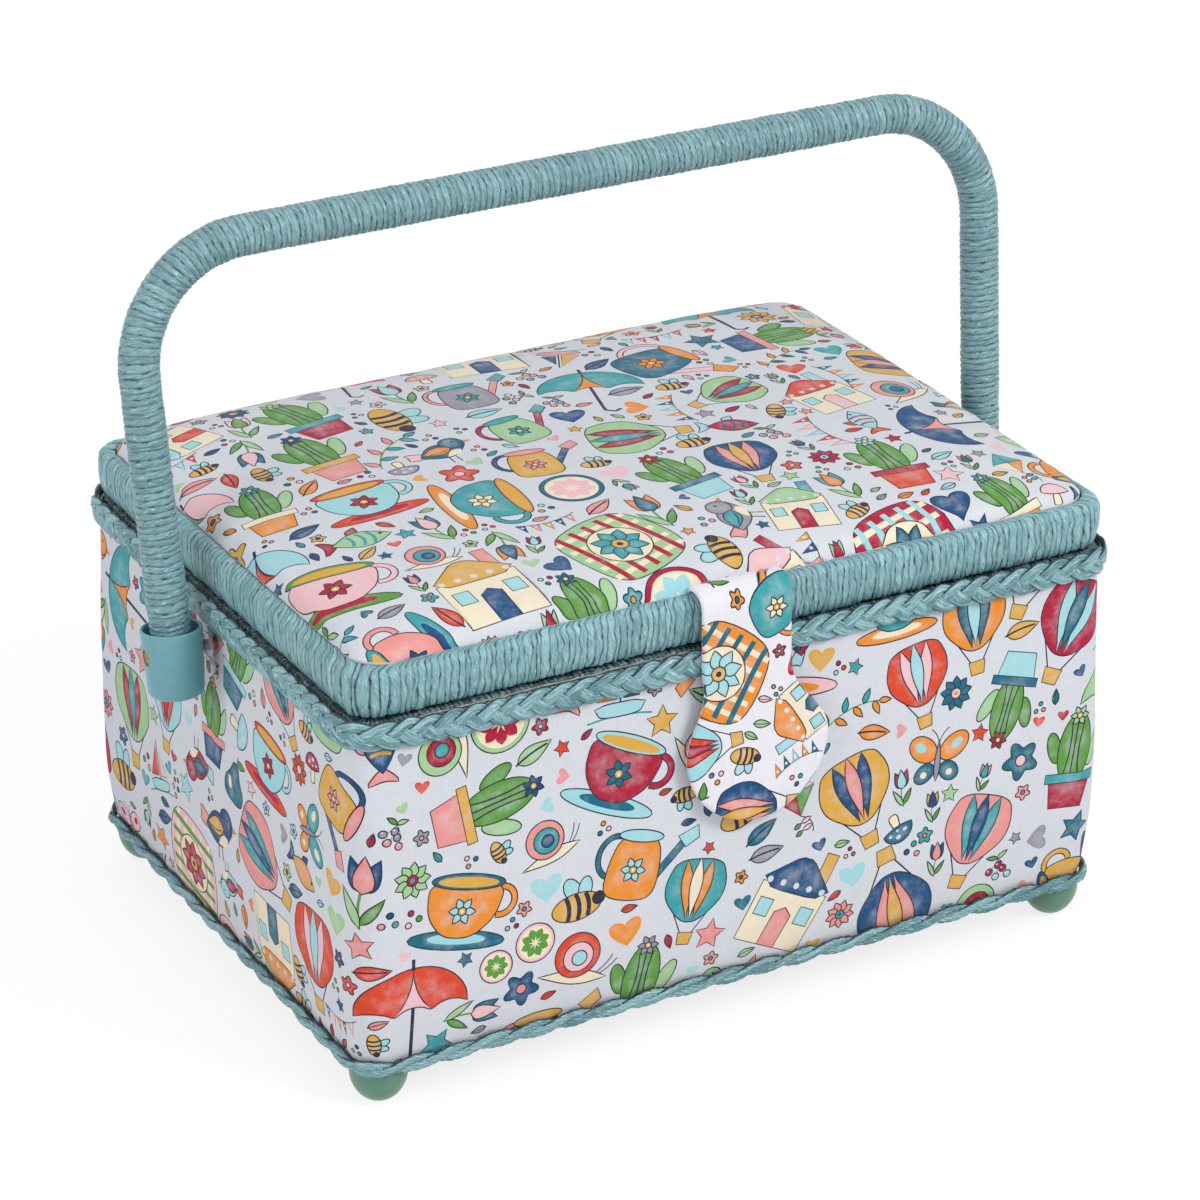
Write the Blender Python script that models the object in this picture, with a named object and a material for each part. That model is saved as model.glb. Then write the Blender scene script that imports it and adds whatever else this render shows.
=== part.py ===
"""A sewing basket: a padded, fabric-covered box with a hinged padded lid, a cord-wound swing handle,
a fabric closing tab, a lift-out tray and four dome feet. Metres, +Z up, front towards -Y."""

import math

import bmesh
import bpy
from mathutils import Matrix, Vector

# Overall sizes of the closed box, over the fabric and over the lid's rim
BOX_WIDTH = 0.2550
BOX_DEPTH = 0.1880
CORNER_RADIUS = 0.0100
BODY_TOP_Z = 0.1262
HALF_WIDTH = BOX_WIDTH / 2
HALF_DEPTH = BOX_DEPTH / 2

# The gap left between pieces that touch on the real basket, and the overrun of every cut
SEAT_GAP = 0.0003
OVERRUN = 0.0010

# Feet
FOOT_RADIUS = 0.0088
FOOT_HEIGHT = 0.0126
FOOT_INSET = 0.0098
FOOT_FLAT_RADIUS = 0.0032
FOOT_NECK_HEIGHT = 0.0030
FOOT_SCREW_RADIUS = 0.0013
FOOT_SCREW_HEAD_RADIUS = 0.0025
FOOT_SCREW_HEAD_HEIGHT = 0.0012
FOOT_SCREW_BITE = 0.0085

# The wall, from outside in: fabric, wadding, board, lining
FABRIC_THICKNESS = 0.0008
WADDING_THICKNESS = 0.0024
BOARD_THICKNESS = 0.0030
LINING_THICKNESS = 0.0008
BOARD_EDGE_RADIUS = 0.0029
BASE_SHEET_THICKNESS = 0.0008

# How far the fabric stands out of the box's outline, at shares of its height from the bottom up
WALL_BULGE = 0.0016
WALL_TUCK = 0.0014
BULGE_SHARES = ((0.12, 0.42), (0.19, 0.86), (0.30, 1.00), (0.48, 0.94), (0.66, 0.70), (0.82, 0.30))
TUCK_HEIGHT = 0.0032
COVER_TOP_GAP = 0.0006

# Braids round the top and the bottom of the body
TOP_BRAID_HEIGHT = 0.0076
TOP_BRAID_THICKNESS = 0.0020
TOP_BRAID_DROP = 0.0010
BOTTOM_BRAID_HEIGHT = 0.0050
BOTTOM_BRAID_OUTSET = 0.0017
BRAID_ROUND_SHARE = 0.35

# Lid rim: a frame whipped with paper cord, and the board in it
RIM_LIFT = 0.0026
RIM_HEIGHT = 0.0144
RIM_ROUND = 0.0040
RIM_TUCK = 0.0021
RIM_TUCK_HEIGHT = 0.0066
RIM_TUCK_POWER = 1.8
WHIPPING_THICKNESS = 0.0012
WHIPPING_RETURN = 0.0056
FRAME_WIDTH = 0.0065
LID_BOARD_THICKNESS = 0.0030

# Lid pad, a crowned cushion whose sides draw in under the rim's edge
PAD_INSET = 0.0045
PAD_CORNER_RADIUS = 0.0105
PAD_SIDE = 0.0009
PAD_CROWN = 0.0100
PAD_POWER_X = 5.5
PAD_POWER_Y = 4.0
PAD_SHOULDER = 0.40
PAD_RING_SHARES = (0.0, 0.012, 0.035, 0.075, 0.13, 0.21, 0.33, 0.50, 0.72, 0.92)

# Inside of the lid
LID_LINING_EDGE = 0.0012
LID_LINING_CROWN = 0.0022
LID_LINING_CLEARANCE = 0.0006
POCKET_DEPTH = 0.0700
POCKET_THICKNESS = 0.0016
POCKET_SIDE_MARGIN = 0.0139
POCKET_BACK_MARGIN = 0.0154
PIN_PAD_RADIUS = 0.0220
PIN_PAD_HEIGHT = 0.0080
PIN_PAD_SIDE_MARGIN = 0.0189
PIN_PAD_BACK_MARGIN = 0.0334
PIN_PAD_TO_POCKET = 0.0110

# Hinges, two small butt hinges between the body's top edge and the lid
HINGE_END_INSET = 0.0525
HINGE_WIDTH = 0.0280
HINGE_LEAF_LENGTH = 0.0080
HINGE_LEAF_THICKNESS = 0.0008
KNUCKLE_RADIUS = 0.0020
KNUCKLE_GAP = 0.0006
LID_KNUCKLE_WIDTH = 0.0092
HINGE_PIN_RADIUS = 0.0008
HINGE_PIN_CLEARANCE = 0.0003
HINGE_PIN_HEAD_RADIUS = 0.0014
HINGE_PIN_HEAD_HEIGHT = 0.0008
HINGE_SIDE_GAP = 0.0004

# Closing tab
TAB_NECK_WIDTH = 0.0300
TAB_PADDLE_WIDTH = 0.0480
TAB_REACH = 0.0740
TAB_FLARE_LENGTH = 0.0300
TAB_THICKNESS = 0.0020
TAB_STANDOFF = 0.0006
TAB_BOTTOM_STANDOFF = 0.0016
TAB_ROUND_SHARE = 0.62
TAB_TIP_SHARES = (0.45, 0.12)
MAGNET_RADIUS = 0.0070
MAGNET_THICKNESS = 0.0012
TAB_MAGNET_THICKNESS = 0.0010

# Handle: a rod wound with cord, in two pivoting cups
PIVOT_DROP = 0.0120
HANDLE_SPLAY = 0.0026
HANDLE_RISE = 0.1214
HANDLE_CORNER_RADIUS = 0.0360
HANDLE_LEAN = math.radians(7.1)
HANDLE_RIBS = 100
WINDING_RADIUS = 0.0062
WINDING_GROOVE = 0.0004
WINDING_START = 0.0040
ROD_RADIUS = 0.0038
ROD_TAIL = 0.0100
CUP_MOUTH_RADIUS = 0.0094
CUP_FOOT_RADIUS = 0.0085
CUP_ABOVE_PIVOT = 0.0080
CUP_BELOW_PIVOT = 0.0134
CUP_WALL = 0.0011
CUP_ROUND = 0.0026
CUP_LIP_ROUND = 0.0006

# Pivots: a screw sunk in the cup, a flanged post from inside the wall, and a clear bead between them
PIVOT_SCREW_RADIUS = 0.0012
PIVOT_HEAD_RADIUS = 0.0023
PIVOT_HEAD_HEIGHT = 0.0011
PIVOT_HEAD_SINK = 0.0024
PIVOT_POST_RADIUS = 0.0019
PIVOT_FLANGE_RADIUS = 0.0050
PIVOT_FLANGE_THICKNESS = 0.0010
SPACER_RADIUS = 0.0040
SPACER_LENGTH = 0.0025
SPACER_END_SHARE = 0.62

# Lift-out tray and the ledges that carry it
TRAY_CLEARANCE = 0.0012
TRAY_HEIGHT = 0.0280
TRAY_TOP_DROP = 0.0050
TRAY_WALL = 0.0016
TRAY_FLOOR = 0.0016
TRAY_CORNER_RADIUS = 0.0080
TRAY_FRONT_SHARE = 0.36
TRAY_BACK_CELLS = 4
LEDGE_WIDTH = 0.0060
LEDGE_HEIGHT = 0.0080
LEDGE_END_GAP = 0.0161

# Faceting
ARC_STEPS = 4
SIDE_STEPS = 8
ROUND_STEPS = 24
SMALL_STEPS = 16
TUBE_SIDES = 8
BEND_STEPS = 8
PROFILE_STEPS = 4
DOME_STEPS = 6
KNUCKLE_STEPS = 14
TAB_STEPS = 20
TUCK_STEPS = 3
BEAD_STEPS = 6
SMOOTH_ANGLE = math.radians(40)

# Heights and insets that follow from the sizes above
BASE_SHEET_Z = FOOT_HEIGHT + SEAT_GAP
BASE_BOARD_Z = BASE_SHEET_Z + BASE_SHEET_THICKNESS + SEAT_GAP
BASE_BOARD_TOP = BASE_BOARD_Z + BOARD_THICKNESS
LINING_FLOOR_Z = BASE_BOARD_TOP + SEAT_GAP
LINING_FLOOR_TOP = LINING_FLOOR_Z + LINING_THICKNESS
WADDING_INSET = FABRIC_THICKNESS + SEAT_GAP
BOARD_INSET = WADDING_INSET + WADDING_THICKNESS + SEAT_GAP
BOARD_INNER_INSET = BOARD_INSET + BOARD_THICKNESS
LINING_INSET = BOARD_INNER_INSET + SEAT_GAP
ROOM_INSET = LINING_INSET + LINING_THICKNESS
COVER_TOP_Z = BODY_TOP_Z - COVER_TOP_GAP
TOP_BRAID_TOP = BODY_TOP_Z - TOP_BRAID_DROP
BRAID_OUTSET = SEAT_GAP + TOP_BRAID_THICKNESS

HINGE_X = HALF_WIDTH - HINGE_END_INSET
HINGE_Z = BODY_TOP_Z + RIM_LIFT / 2
HINGE_Y = HALF_DEPTH + KNUCKLE_GAP + KNUCKLE_RADIUS
RIM_BOTTOM = BODY_TOP_Z + RIM_LIFT
RIM_TOP = RIM_BOTTOM + RIM_HEIGHT
FRAME_INSET = WHIPPING_THICKNESS + SEAT_GAP
FRAME_INNER_INSET = FRAME_INSET + FRAME_WIDTH
FRAME_TOP = RIM_TOP - WHIPPING_THICKNESS - SEAT_GAP
FRAME_BOTTOM = RIM_BOTTOM + WHIPPING_THICKNESS + SEAT_GAP
LID_BOARD_INSET = FRAME_INNER_INSET + SEAT_GAP
LID_BOARD_Z = FRAME_TOP - LID_BOARD_THICKNESS
PAD_Z = FRAME_TOP + SEAT_GAP
LID_LINING_INSET = FRAME_INNER_INSET + LID_LINING_CLEARANCE
LID_LINING_HALF_X = HALF_WIDTH - LID_LINING_INSET
LID_LINING_HALF_Y = HALF_DEPTH - LID_LINING_INSET
LID_LINING_TOP = LID_BOARD_Z - SEAT_GAP
LID_LINING_BOTTOM = LID_LINING_TOP - LID_LINING_EDGE - LID_LINING_CROWN

TAB_AXIS_Y = -(HALF_DEPTH - PAD_INSET + TAB_THICKNESS + TAB_STANDOFF)
TAB_AXIS_Z = RIM_TOP + TAB_STANDOFF
TAB_BACK_Y = -(HALF_DEPTH + BRAID_OUTSET + TAB_STANDOFF)
TAB_FOOT_Y = TAB_BACK_Y - TAB_BOTTOM_STANDOFF
TAB_FRONT_Y = TAB_FOOT_Y - TAB_THICKNESS
MAGNET_Z = RIM_TOP - TAB_REACH + TAB_PADDLE_WIDTH / 2

TRAY_TOP = BODY_TOP_Z - TRAY_TOP_DROP
TRAY_Z = TRAY_TOP - TRAY_HEIGHT
LEDGE_TOP = TRAY_Z - SEAT_GAP
LEDGE_HALF_LENGTH = HALF_DEPTH - ROOM_INSET - LEDGE_END_GAP
PIVOT_Z = BODY_TOP_Z - PIVOT_DROP
WALL_FACE_X = HALF_WIDTH + WALL_BULGE
SPACER_OUTER_X = WALL_FACE_X + SEAT_GAP + SPACER_LENGTH
HANDLE_HALF_SPAN = SPACER_OUTER_X + SEAT_GAP + CUP_MOUTH_RADIUS

# The basket stands with the middle of its reach, from the tab to the hinges, on the origin
CENTRE_SHIFT_Y = (-TAB_FRONT_Y - HINGE_Y - KNUCKLE_RADIUS) / 2

MATERIALS = {
    "printed_fabric": ((0.86, 0.88, 0.90), 0.85, 0.0),
    "wadding": ((0.92, 0.92, 0.90), 0.95, 0.0),
    "board": ((0.55, 0.43, 0.30), 0.80, 0.0),
    "lining_fabric": ((0.30, 0.52, 0.54), 0.55, 0.0),
    "base_sheet": ((0.08, 0.08, 0.09), 0.90, 0.0),
    "paper_cord": ((0.19, 0.37, 0.38), 0.50, 0.0),
    "cup_plastic": ((0.17, 0.42, 0.43), 0.45, 0.0),
    "foot_plastic": ((0.27, 0.60, 0.42), 0.35, 0.0),
    "tray_plastic": ((0.90, 0.91, 0.92), 0.30, 0.0),
    "clear_plastic": ((0.93, 0.95, 0.96), 0.10, 0.0),
    "brass": ((0.62, 0.46, 0.20), 0.35, 1.0),
    "steel": ((0.60, 0.60, 0.62), 0.35, 1.0),
    "magnet": ((0.35, 0.35, 0.37), 0.40, 1.0),
}


def clear_scene():
    """Removes what the scene starts with."""
    for obj in list(bpy.data.objects):
        bpy.data.objects.remove(obj, do_unlink=True)


def material(name):
    """The named Principled material, made on its first use."""
    found = bpy.data.materials.get(name)
    if found:
        return found
    colour, roughness, metallic = MATERIALS[name]
    made = bpy.data.materials.new(name)
    made.use_nodes = True
    shader = made.node_tree.nodes["Principled BSDF"]
    shader.inputs["Base Color"].default_value = (*colour, 1.0)
    shader.inputs["Roughness"].default_value = roughness
    shader.inputs["Metallic"].default_value = metallic
    return made


def empty(name, location, parent=None):
    """An empty on a joint's axis. Its location is the place in the basket's frame."""
    obj = bpy.data.objects.new(name, None)
    bpy.context.scene.collection.objects.link(obj)
    obj.parent = parent
    obj["place"] = location
    start = Vector(parent["place"]) if parent else Vector()
    obj.location = Vector(location) - start
    return obj


def finish_mesh(name, mesh, slot, parent, smooth=False):
    """Turns a bmesh, in the basket's frame, into an object that hangs from its parent empty."""
    bmesh.ops.recalc_face_normals(mesh, faces=mesh.faces)
    data = bpy.data.meshes.new(name)
    mesh.to_mesh(data)
    mesh.free()
    if smooth:
        data.shade_smooth()
        data.set_sharp_from_angle(angle=SMOOTH_ANGLE)
    obj = bpy.data.objects.new(name, data)
    bpy.context.scene.collection.objects.link(obj)
    if slot:
        data.materials.append(material(slot))
    obj.parent = parent
    obj.location = -Vector(parent["place"])
    return obj


def rounded_outline(half_x, half_y, radius, side_steps=1):
    """Corners and sides of a rounded rectangle, anticlockwise from the right-hand side's front end."""
    corners = (
        (half_x - radius, half_y - radius, 0.0),
        (-half_x + radius, half_y - radius, math.pi / 2),
        (-half_x + radius, -half_y + radius, math.pi),
        (half_x - radius, -half_y + radius, 3 * math.pi / 2),
    )
    points = []
    for index, (x, y, start) in enumerate(corners):
        arc = [
            (x + radius * math.cos(angle), y + radius * math.sin(angle))
            for angle in (start + math.pi / 2 * step / ARC_STEPS for step in range(ARC_STEPS + 1))
        ]
        points += arc
        next_x, next_y, next_start = corners[(index + 1) % len(corners)]
        first = (next_x + radius * math.cos(next_start), next_y + radius * math.sin(next_start))
        for step in range(1, side_steps):
            share = step / side_steps
            points.append(tuple(a + (b - a) * share for a, b in zip(arc[-1], first)))
    return points


def box_outline(outset, side_steps=1, radius=None):
    """The box's rounded outline, this far outside (or, below zero, inside) it, with the box's own corners
    or corners of another radius."""
    corner = max(CORNER_RADIUS + outset, SEAT_GAP) if radius is None else radius
    return rounded_outline(HALF_WIDTH + outset, HALF_DEPTH + outset, corner, side_steps)


def loft(name, rings, slot, parent, smooth=False):
    """A closed solid through rings with equal counts of points, capped at both ends."""
    mesh = bmesh.new()
    rows = [[mesh.verts.new(point) for point in ring] for ring in rings]
    count = len(rows[0])
    for low, high in zip(rows, rows[1:]):
        for i in range(count):
            mesh.faces.new((low[i], low[(i + 1) % count], high[(i + 1) % count], high[i]))
    for row in (rows[0], rows[-1]):
        mesh.faces.new(row)
    return finish_mesh(name, mesh, slot, parent, smooth)


def closed_band(name, profile, slot, parent, side_steps=1):
    """A ring round the box: each profile point becomes one outline, and they close up. A point is (outset,
    height), or (outset, height, corner radius) where the corners aren't the box's own."""
    mesh = bmesh.new()
    rows = []
    for outset, z, *radius in profile:
        rows.append([mesh.verts.new((x, y, z)) for x, y in box_outline(outset, side_steps, *radius)])
    count = len(rows[0])
    for index, low in enumerate(rows):
        high = rows[(index + 1) % len(rows)]
        for i in range(count):
            mesh.faces.new((low[i], low[(i + 1) % count], high[(i + 1) % count], high[i]))
    return finish_mesh(name, mesh, slot, parent, smooth=True)


def block(name, low, high, slot, parent):
    """A plain box between two corners."""
    mesh = bmesh.new()
    size = Vector(high) - Vector(low)
    centre = (Vector(high) + Vector(low)) / 2
    bmesh.ops.create_cube(mesh, size=1, matrix=Matrix.Translation(centre) @ Matrix.Diagonal((*size, 1)))
    return finish_mesh(name, mesh, slot, parent)


def turned(name, profile, centre, axis, slot, parent, steps=ROUND_STEPS, closed=False):
    """A turned solid: profile points are (radius, height) along the axis from the centre. A closed
    profile makes a ring, and an open one starts and ends on the axis."""
    mesh = bmesh.new()
    turn = Vector((0, 0, 1)).rotation_difference(Vector(axis)).to_matrix().to_4x4()
    place = Matrix.Translation(centre) @ turn
    rows = []
    for radius, height in profile:
        if radius == 0:
            rows.append([mesh.verts.new(place @ Vector((0, 0, height)))])
            continue
        angles = (math.tau * step / steps for step in range(steps))
        ring = (Vector((radius * math.cos(a), radius * math.sin(a), height)) for a in angles)
        rows.append([mesh.verts.new(place @ point) for point in ring])
    pairs = list(zip(rows, rows[1:] + rows[:1])) if closed else list(zip(rows, rows[1:]))
    for low, high in pairs:
        for i in range(steps):
            j = (i + 1) % steps
            corners = [low[i % len(low)], low[j % len(low)], high[j % len(high)], high[i % len(high)]]
            mesh.faces.new(list(dict.fromkeys(corners)))
    return finish_mesh(name, mesh, slot, parent, smooth=True)


def modify(target, other, operation):
    """Adds an exact Boolean with a helper that isn't part of the model."""
    other.hide_render = True
    other.display_type = "WIRE"
    change = target.modifiers.new(other.name, "BOOLEAN")
    change.solver = "EXACT"
    change.operation = operation
    change.object = other


def cylinder_profile(radius, low, high):
    """The profile of a plain cylinder along its axis."""
    return ((0, low), (radius, low), (radius, high), (0, high))


def quarter(radius, centre, start, steps=PROFILE_STEPS):
    """Points of a quarter circle about (u, v), from this angle, anticlockwise."""
    angles = (start + math.pi / 2 * step / steps for step in range(steps + 1))
    return [(centre[0] + radius * math.cos(a), centre[1] + radius * math.sin(a)) for a in angles]


def wall_profile(inset):
    """(outset, height) up the outer face of the padded wall, this far under the fabric's face."""
    span = COVER_TOP_Z - BASE_BOARD_Z
    points = [(-WALL_TUCK - inset, BASE_BOARD_Z), (-WALL_TUCK / 2 - inset, BASE_BOARD_Z + TUCK_HEIGHT)]
    for share, out_share in BULGE_SHARES:
        points.append((WALL_BULGE * out_share - inset, BASE_BOARD_Z + span * share))
    points.append((-inset, COVER_TOP_Z))
    return points


def side_name(sign):
    """The side's name as seen from the front."""
    return "right" if sign > 0 else "left"


def pivot_cutter(target, sign, radius, parent):
    """A helper along one pivot's axis, through everything between the cup and the inside of the wall."""
    reach = HANDLE_HALF_SPAN + CUP_MOUTH_RADIUS + OVERRUN
    start = HALF_WIDTH - ROOM_INSET - OVERRUN
    return turned(
        f"cut_pivot_{target.name}_{side_name(sign)}",
        cylinder_profile(radius, start, reach),
        (0, 0, PIVOT_Z),
        (sign, 0, 0),
        None,
        parent,
        SMALL_STEPS,
    )


def make_boards(root):
    """Five boards: four walls, of which the front and back cover the side boards' ends, and the base."""
    outer_x = HALF_WIDTH - BOARD_INSET
    outer_y = HALF_DEPTH - BOARD_INSET
    inner_x = HALF_WIDTH - BOARD_INNER_INSET
    inner_y = HALF_DEPTH - BOARD_INNER_INSET
    for name, sign in (("front_board", -1), ("back_board", 1)):
        edge = quarter(BOARD_EDGE_RADIUS, (outer_x - BOARD_EDGE_RADIUS, outer_y - BOARD_EDGE_RADIUS), 0)
        half = [(outer_x, inner_y)] + edge
        outline = half + [(-x, y) for x, y in reversed(half)]
        rings = [[(x, sign * y, z) for x, y in outline] for z in (BASE_BOARD_Z, BODY_TOP_Z)]
        loft(name, rings, "board", root)
    for sign in (-1, 1):
        ends = sorted((sign * inner_x, sign * outer_x))
        reach = inner_y - SEAT_GAP
        low = (ends[0], -reach, BASE_BOARD_Z)
        high = (ends[1], reach, BODY_TOP_Z)
        board = block(f"{side_name(sign)}_board", low, high, "board", root)
        modify(board, pivot_cutter(board, sign, PIVOT_POST_RADIUS + SEAT_GAP, root), "DIFFERENCE")
    reach_x = inner_x - SEAT_GAP
    reach_y = inner_y - SEAT_GAP
    base = block(
        "base_board", (-reach_x, -reach_y, BASE_BOARD_Z), (reach_x, reach_y, BASE_BOARD_TOP), "board", root
    )
    return base


def make_wadding(root):
    """A sheet of wadding on each wall board, swelling as the fabric does."""
    profile = wall_profile(WADDING_INSET)
    back = BOARD_INSET - SEAT_GAP
    for name, along_x, sign in (
        ("front_wadding", True, -1),
        ("back_wadding", True, 1),
        ("left_wadding", False, -1),
        ("right_wadding", False, 1),
    ):
        length = (HALF_WIDTH if along_x else HALF_DEPTH) - CORNER_RADIUS
        face = HALF_DEPTH if along_x else HALF_WIDTH
        rings = []
        for outset, z in profile:
            near, far = face - back, face + outset
            corners = ((-length, near), (length, near), (length, far), (-length, far))
            rings.append([(u, sign * v, z) if along_x else (sign * v, u, z) for u, v in corners])
        sheet = loft(name, rings, "wadding", root)
        if name == "front_wadding":
            ends = (face - back - OVERRUN, face + WALL_BULGE + OVERRUN)
            hole = cylinder_profile(MAGNET_RADIUS + SEAT_GAP, *ends)
            modify(sheet, turned("cut_magnet", hole, (0, 0, MAGNET_Z), (0, -1, 0), None, root), "DIFFERENCE")
        if not along_x:
            modify(sheet, pivot_cutter(sheet, sign, PIVOT_POST_RADIUS + SEAT_GAP, root), "DIFFERENCE")


def make_cover(root):
    """The printed fabric round the walls, one strip that follows the wadding."""
    outside = wall_profile(0)
    inside = wall_profile(FABRIC_THICKNESS)
    cover = closed_band("outer_cover", outside + inside[::-1], "printed_fabric", root)
    for sign in (-1, 1):
        modify(cover, pivot_cutter(cover, sign, PIVOT_POST_RADIUS + SEAT_GAP, root), "DIFFERENCE")


def make_lining(root):
    """The lining, a thin open box against the boards and the base."""
    radius = BOARD_EDGE_RADIUS

    def ring(inset, z):
        outline = rounded_outline(HALF_WIDTH - inset, HALF_DEPTH - inset, radius)
        return [(x, y, z) for x, y in outline]

    rings = [
        ring(LINING_INSET, LINING_FLOOR_Z),
        ring(LINING_INSET, BODY_TOP_Z),
        ring(ROOM_INSET, BODY_TOP_Z),
        ring(ROOM_INSET, LINING_FLOOR_TOP),
    ]
    lining = loft("inner_lining", rings, "lining_fabric", root)
    for sign in (-1, 1):
        modify(lining, pivot_cutter(lining, sign, PIVOT_FLANGE_RADIUS + SEAT_GAP, root), "DIFFERENCE")


def make_base_and_feet(root, base_board):
    """The sheet under the base, the four dome feet and the screws that hold them."""
    reach_x = HALF_WIDTH - BOARD_INSET
    reach_y = HALF_DEPTH - BOARD_INSET
    outline = rounded_outline(reach_x, reach_y, BOARD_EDGE_RADIUS)
    rings = [[(x, y, z) for x, y in outline] for z in (BASE_SHEET_Z, BASE_SHEET_Z + BASE_SHEET_THICKNESS)]
    sheet = loft("base_sheet", rings, "base_sheet", root)
    for sign_x in (-1, 1):
        for sign_y in (-1, 1):
            corner = f"{'front' if sign_y < 0 else 'back'}_{side_name(sign_x)}"
            place = (sign_x * (HALF_WIDTH - FOOT_INSET), sign_y * (HALF_DEPTH - FOOT_INSET), 0)
            make_foot(root, corner, place)
            ends = (FOOT_HEIGHT - OVERRUN, BASE_BOARD_TOP + OVERRUN)
            hole = cylinder_profile(FOOT_SCREW_RADIUS + SEAT_GAP, *ends)
            for target in (sheet, base_board):
                cutter = turned(f"cut_{target.name}_{corner}", hole, place, (0, 0, 1), None, root, SMALL_STEPS)
                modify(target, cutter, "DIFFERENCE")
            ends = (BASE_BOARD_TOP - FOOT_SCREW_HEAD_HEIGHT, BASE_BOARD_TOP + OVERRUN)
            sink = cylinder_profile(FOOT_SCREW_HEAD_RADIUS + SEAT_GAP, *ends)
            cutter = turned(f"cut_head_{corner}", sink, place, (0, 0, 1), None, root, SMALL_STEPS)
            modify(base_board, cutter, "DIFFERENCE")


def make_foot(root, corner, place):
    """One dome foot with a flat underside, bored for its screw, and that screw."""
    dome = FOOT_HEIGHT - FOOT_NECK_HEIGHT
    start = math.asin(FOOT_FLAT_RADIUS / FOOT_RADIUS)
    low = math.cos(start)
    profile = [(0, 0)]
    for step in range(DOME_STEPS + 1):
        angle = start + (math.pi / 2 - start) * step / DOME_STEPS
        profile.append((FOOT_RADIUS * math.sin(angle), dome * (1 - math.cos(angle) / low)))
    bore = FOOT_SCREW_RADIUS + SEAT_GAP
    screw_tip = FOOT_HEIGHT - FOOT_SCREW_BITE
    bore_end = screw_tip - SEAT_GAP
    profile += [(FOOT_RADIUS, FOOT_HEIGHT), (bore, FOOT_HEIGHT), (bore, bore_end), (0, bore_end)]
    turned(f"foot_{corner}", profile, place, (0, 0, 1), "foot_plastic", root)
    head_low = BASE_BOARD_TOP - FOOT_SCREW_HEAD_HEIGHT + SEAT_GAP
    screw = [
        (0, screw_tip),
        (FOOT_SCREW_RADIUS, screw_tip),
        (FOOT_SCREW_RADIUS, head_low),
        (FOOT_SCREW_HEAD_RADIUS, head_low),
        (FOOT_SCREW_HEAD_RADIUS, BASE_BOARD_TOP),
        (0, BASE_BOARD_TOP),
    ]
    turned(f"foot_screw_{corner}", screw, place, (0, 0, 1), "steel", root, SMALL_STEPS)


def make_braids(root):
    """The braids that cover the fabric's top and bottom edges, as rounded bands."""
    for name, inner, outer, low, high in (
        ("top_braid", SEAT_GAP, BRAID_OUTSET, TOP_BRAID_TOP - TOP_BRAID_HEIGHT, TOP_BRAID_TOP),
        (
            "bottom_braid",
            SEAT_GAP - WALL_TUCK / 2,
            BOTTOM_BRAID_OUTSET,
            BASE_BOARD_Z + TUCK_HEIGHT - BOTTOM_BRAID_HEIGHT,
            BASE_BOARD_Z + TUCK_HEIGHT,
        ),
    ):
        soft = (outer - inner) * BRAID_ROUND_SHARE
        below = [(inner, low), (outer - soft, low), (outer, low + soft)]
        above = [(outer, high - soft), (outer - soft, high), (inner, high)]
        closed_band(name, below + above, "paper_cord", root)


def make_ledges(root):
    """Two strips on the side walls that the tray stands on."""
    outer = HALF_WIDTH - ROOM_INSET - SEAT_GAP
    for sign in (-1, 1):
        ends = sorted((sign * (outer - LEDGE_WIDTH), sign * outer))
        low = (ends[0], -LEDGE_HALF_LENGTH, LEDGE_TOP - LEDGE_HEIGHT)
        block(f"{side_name(sign)}_ledge", low, (ends[1], LEDGE_HALF_LENGTH, LEDGE_TOP), "lining_fabric", root)


def make_pivots(root):
    """Each pivot: a flanged post through the wall from inside, a clear bead, and the screw."""
    post_inner = HALF_WIDTH - BOARD_INNER_INSET - SEAT_GAP
    cup_face = HANDLE_HALF_SPAN + CUP_MOUTH_RADIUS
    thread = PIVOT_SCREW_RADIUS + SEAT_GAP
    screw_tip = post_inner + BOARD_THICKNESS / 2
    for sign in (-1, 1):
        side = side_name(sign)
        centre = (0, 0, PIVOT_Z)
        axis = (sign, 0, 0)
        post = [
            (0, post_inner - PIVOT_FLANGE_THICKNESS),
            (PIVOT_FLANGE_RADIUS, post_inner - PIVOT_FLANGE_THICKNESS),
            (PIVOT_FLANGE_RADIUS, post_inner),
            (PIVOT_POST_RADIUS, post_inner),
            (PIVOT_POST_RADIUS, WALL_FACE_X),
            (thread, WALL_FACE_X),
            (thread, screw_tip - SEAT_GAP),
            (0, screw_tip - SEAT_GAP),
        ]
        turned(f"{side}_pivot_post", post, centre, axis, "brass", root, SMALL_STEPS)
        spacer_low = WALL_FACE_X + SEAT_GAP
        spacer = [(thread, spacer_low)]
        for step in range(BEAD_STEPS + 1):
            height = 2 * step / BEAD_STEPS - 1
            radius = SPACER_RADIUS * math.sqrt(1 - (1 - SPACER_END_SHARE**2) * height**2)
            spacer.append((radius, spacer_low + SPACER_LENGTH * step / BEAD_STEPS))
        spacer.append((thread, SPACER_OUTER_X))
        turned(f"{side}_spacer", spacer, centre, axis, "clear_plastic", root, SMALL_STEPS, closed=True)
        head_low = cup_face - PIVOT_HEAD_SINK + SEAT_GAP
        head_top = head_low + PIVOT_HEAD_HEIGHT
        screw = [
            (0, screw_tip),
            (PIVOT_SCREW_RADIUS, screw_tip),
            (PIVOT_SCREW_RADIUS, head_low),
            (PIVOT_HEAD_RADIUS, head_low),
            (PIVOT_HEAD_RADIUS, head_top),
            (0, head_top),
        ]
        turned(f"{side}_pivot_screw", screw, centre, axis, "brass", root, SMALL_STEPS)


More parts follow.
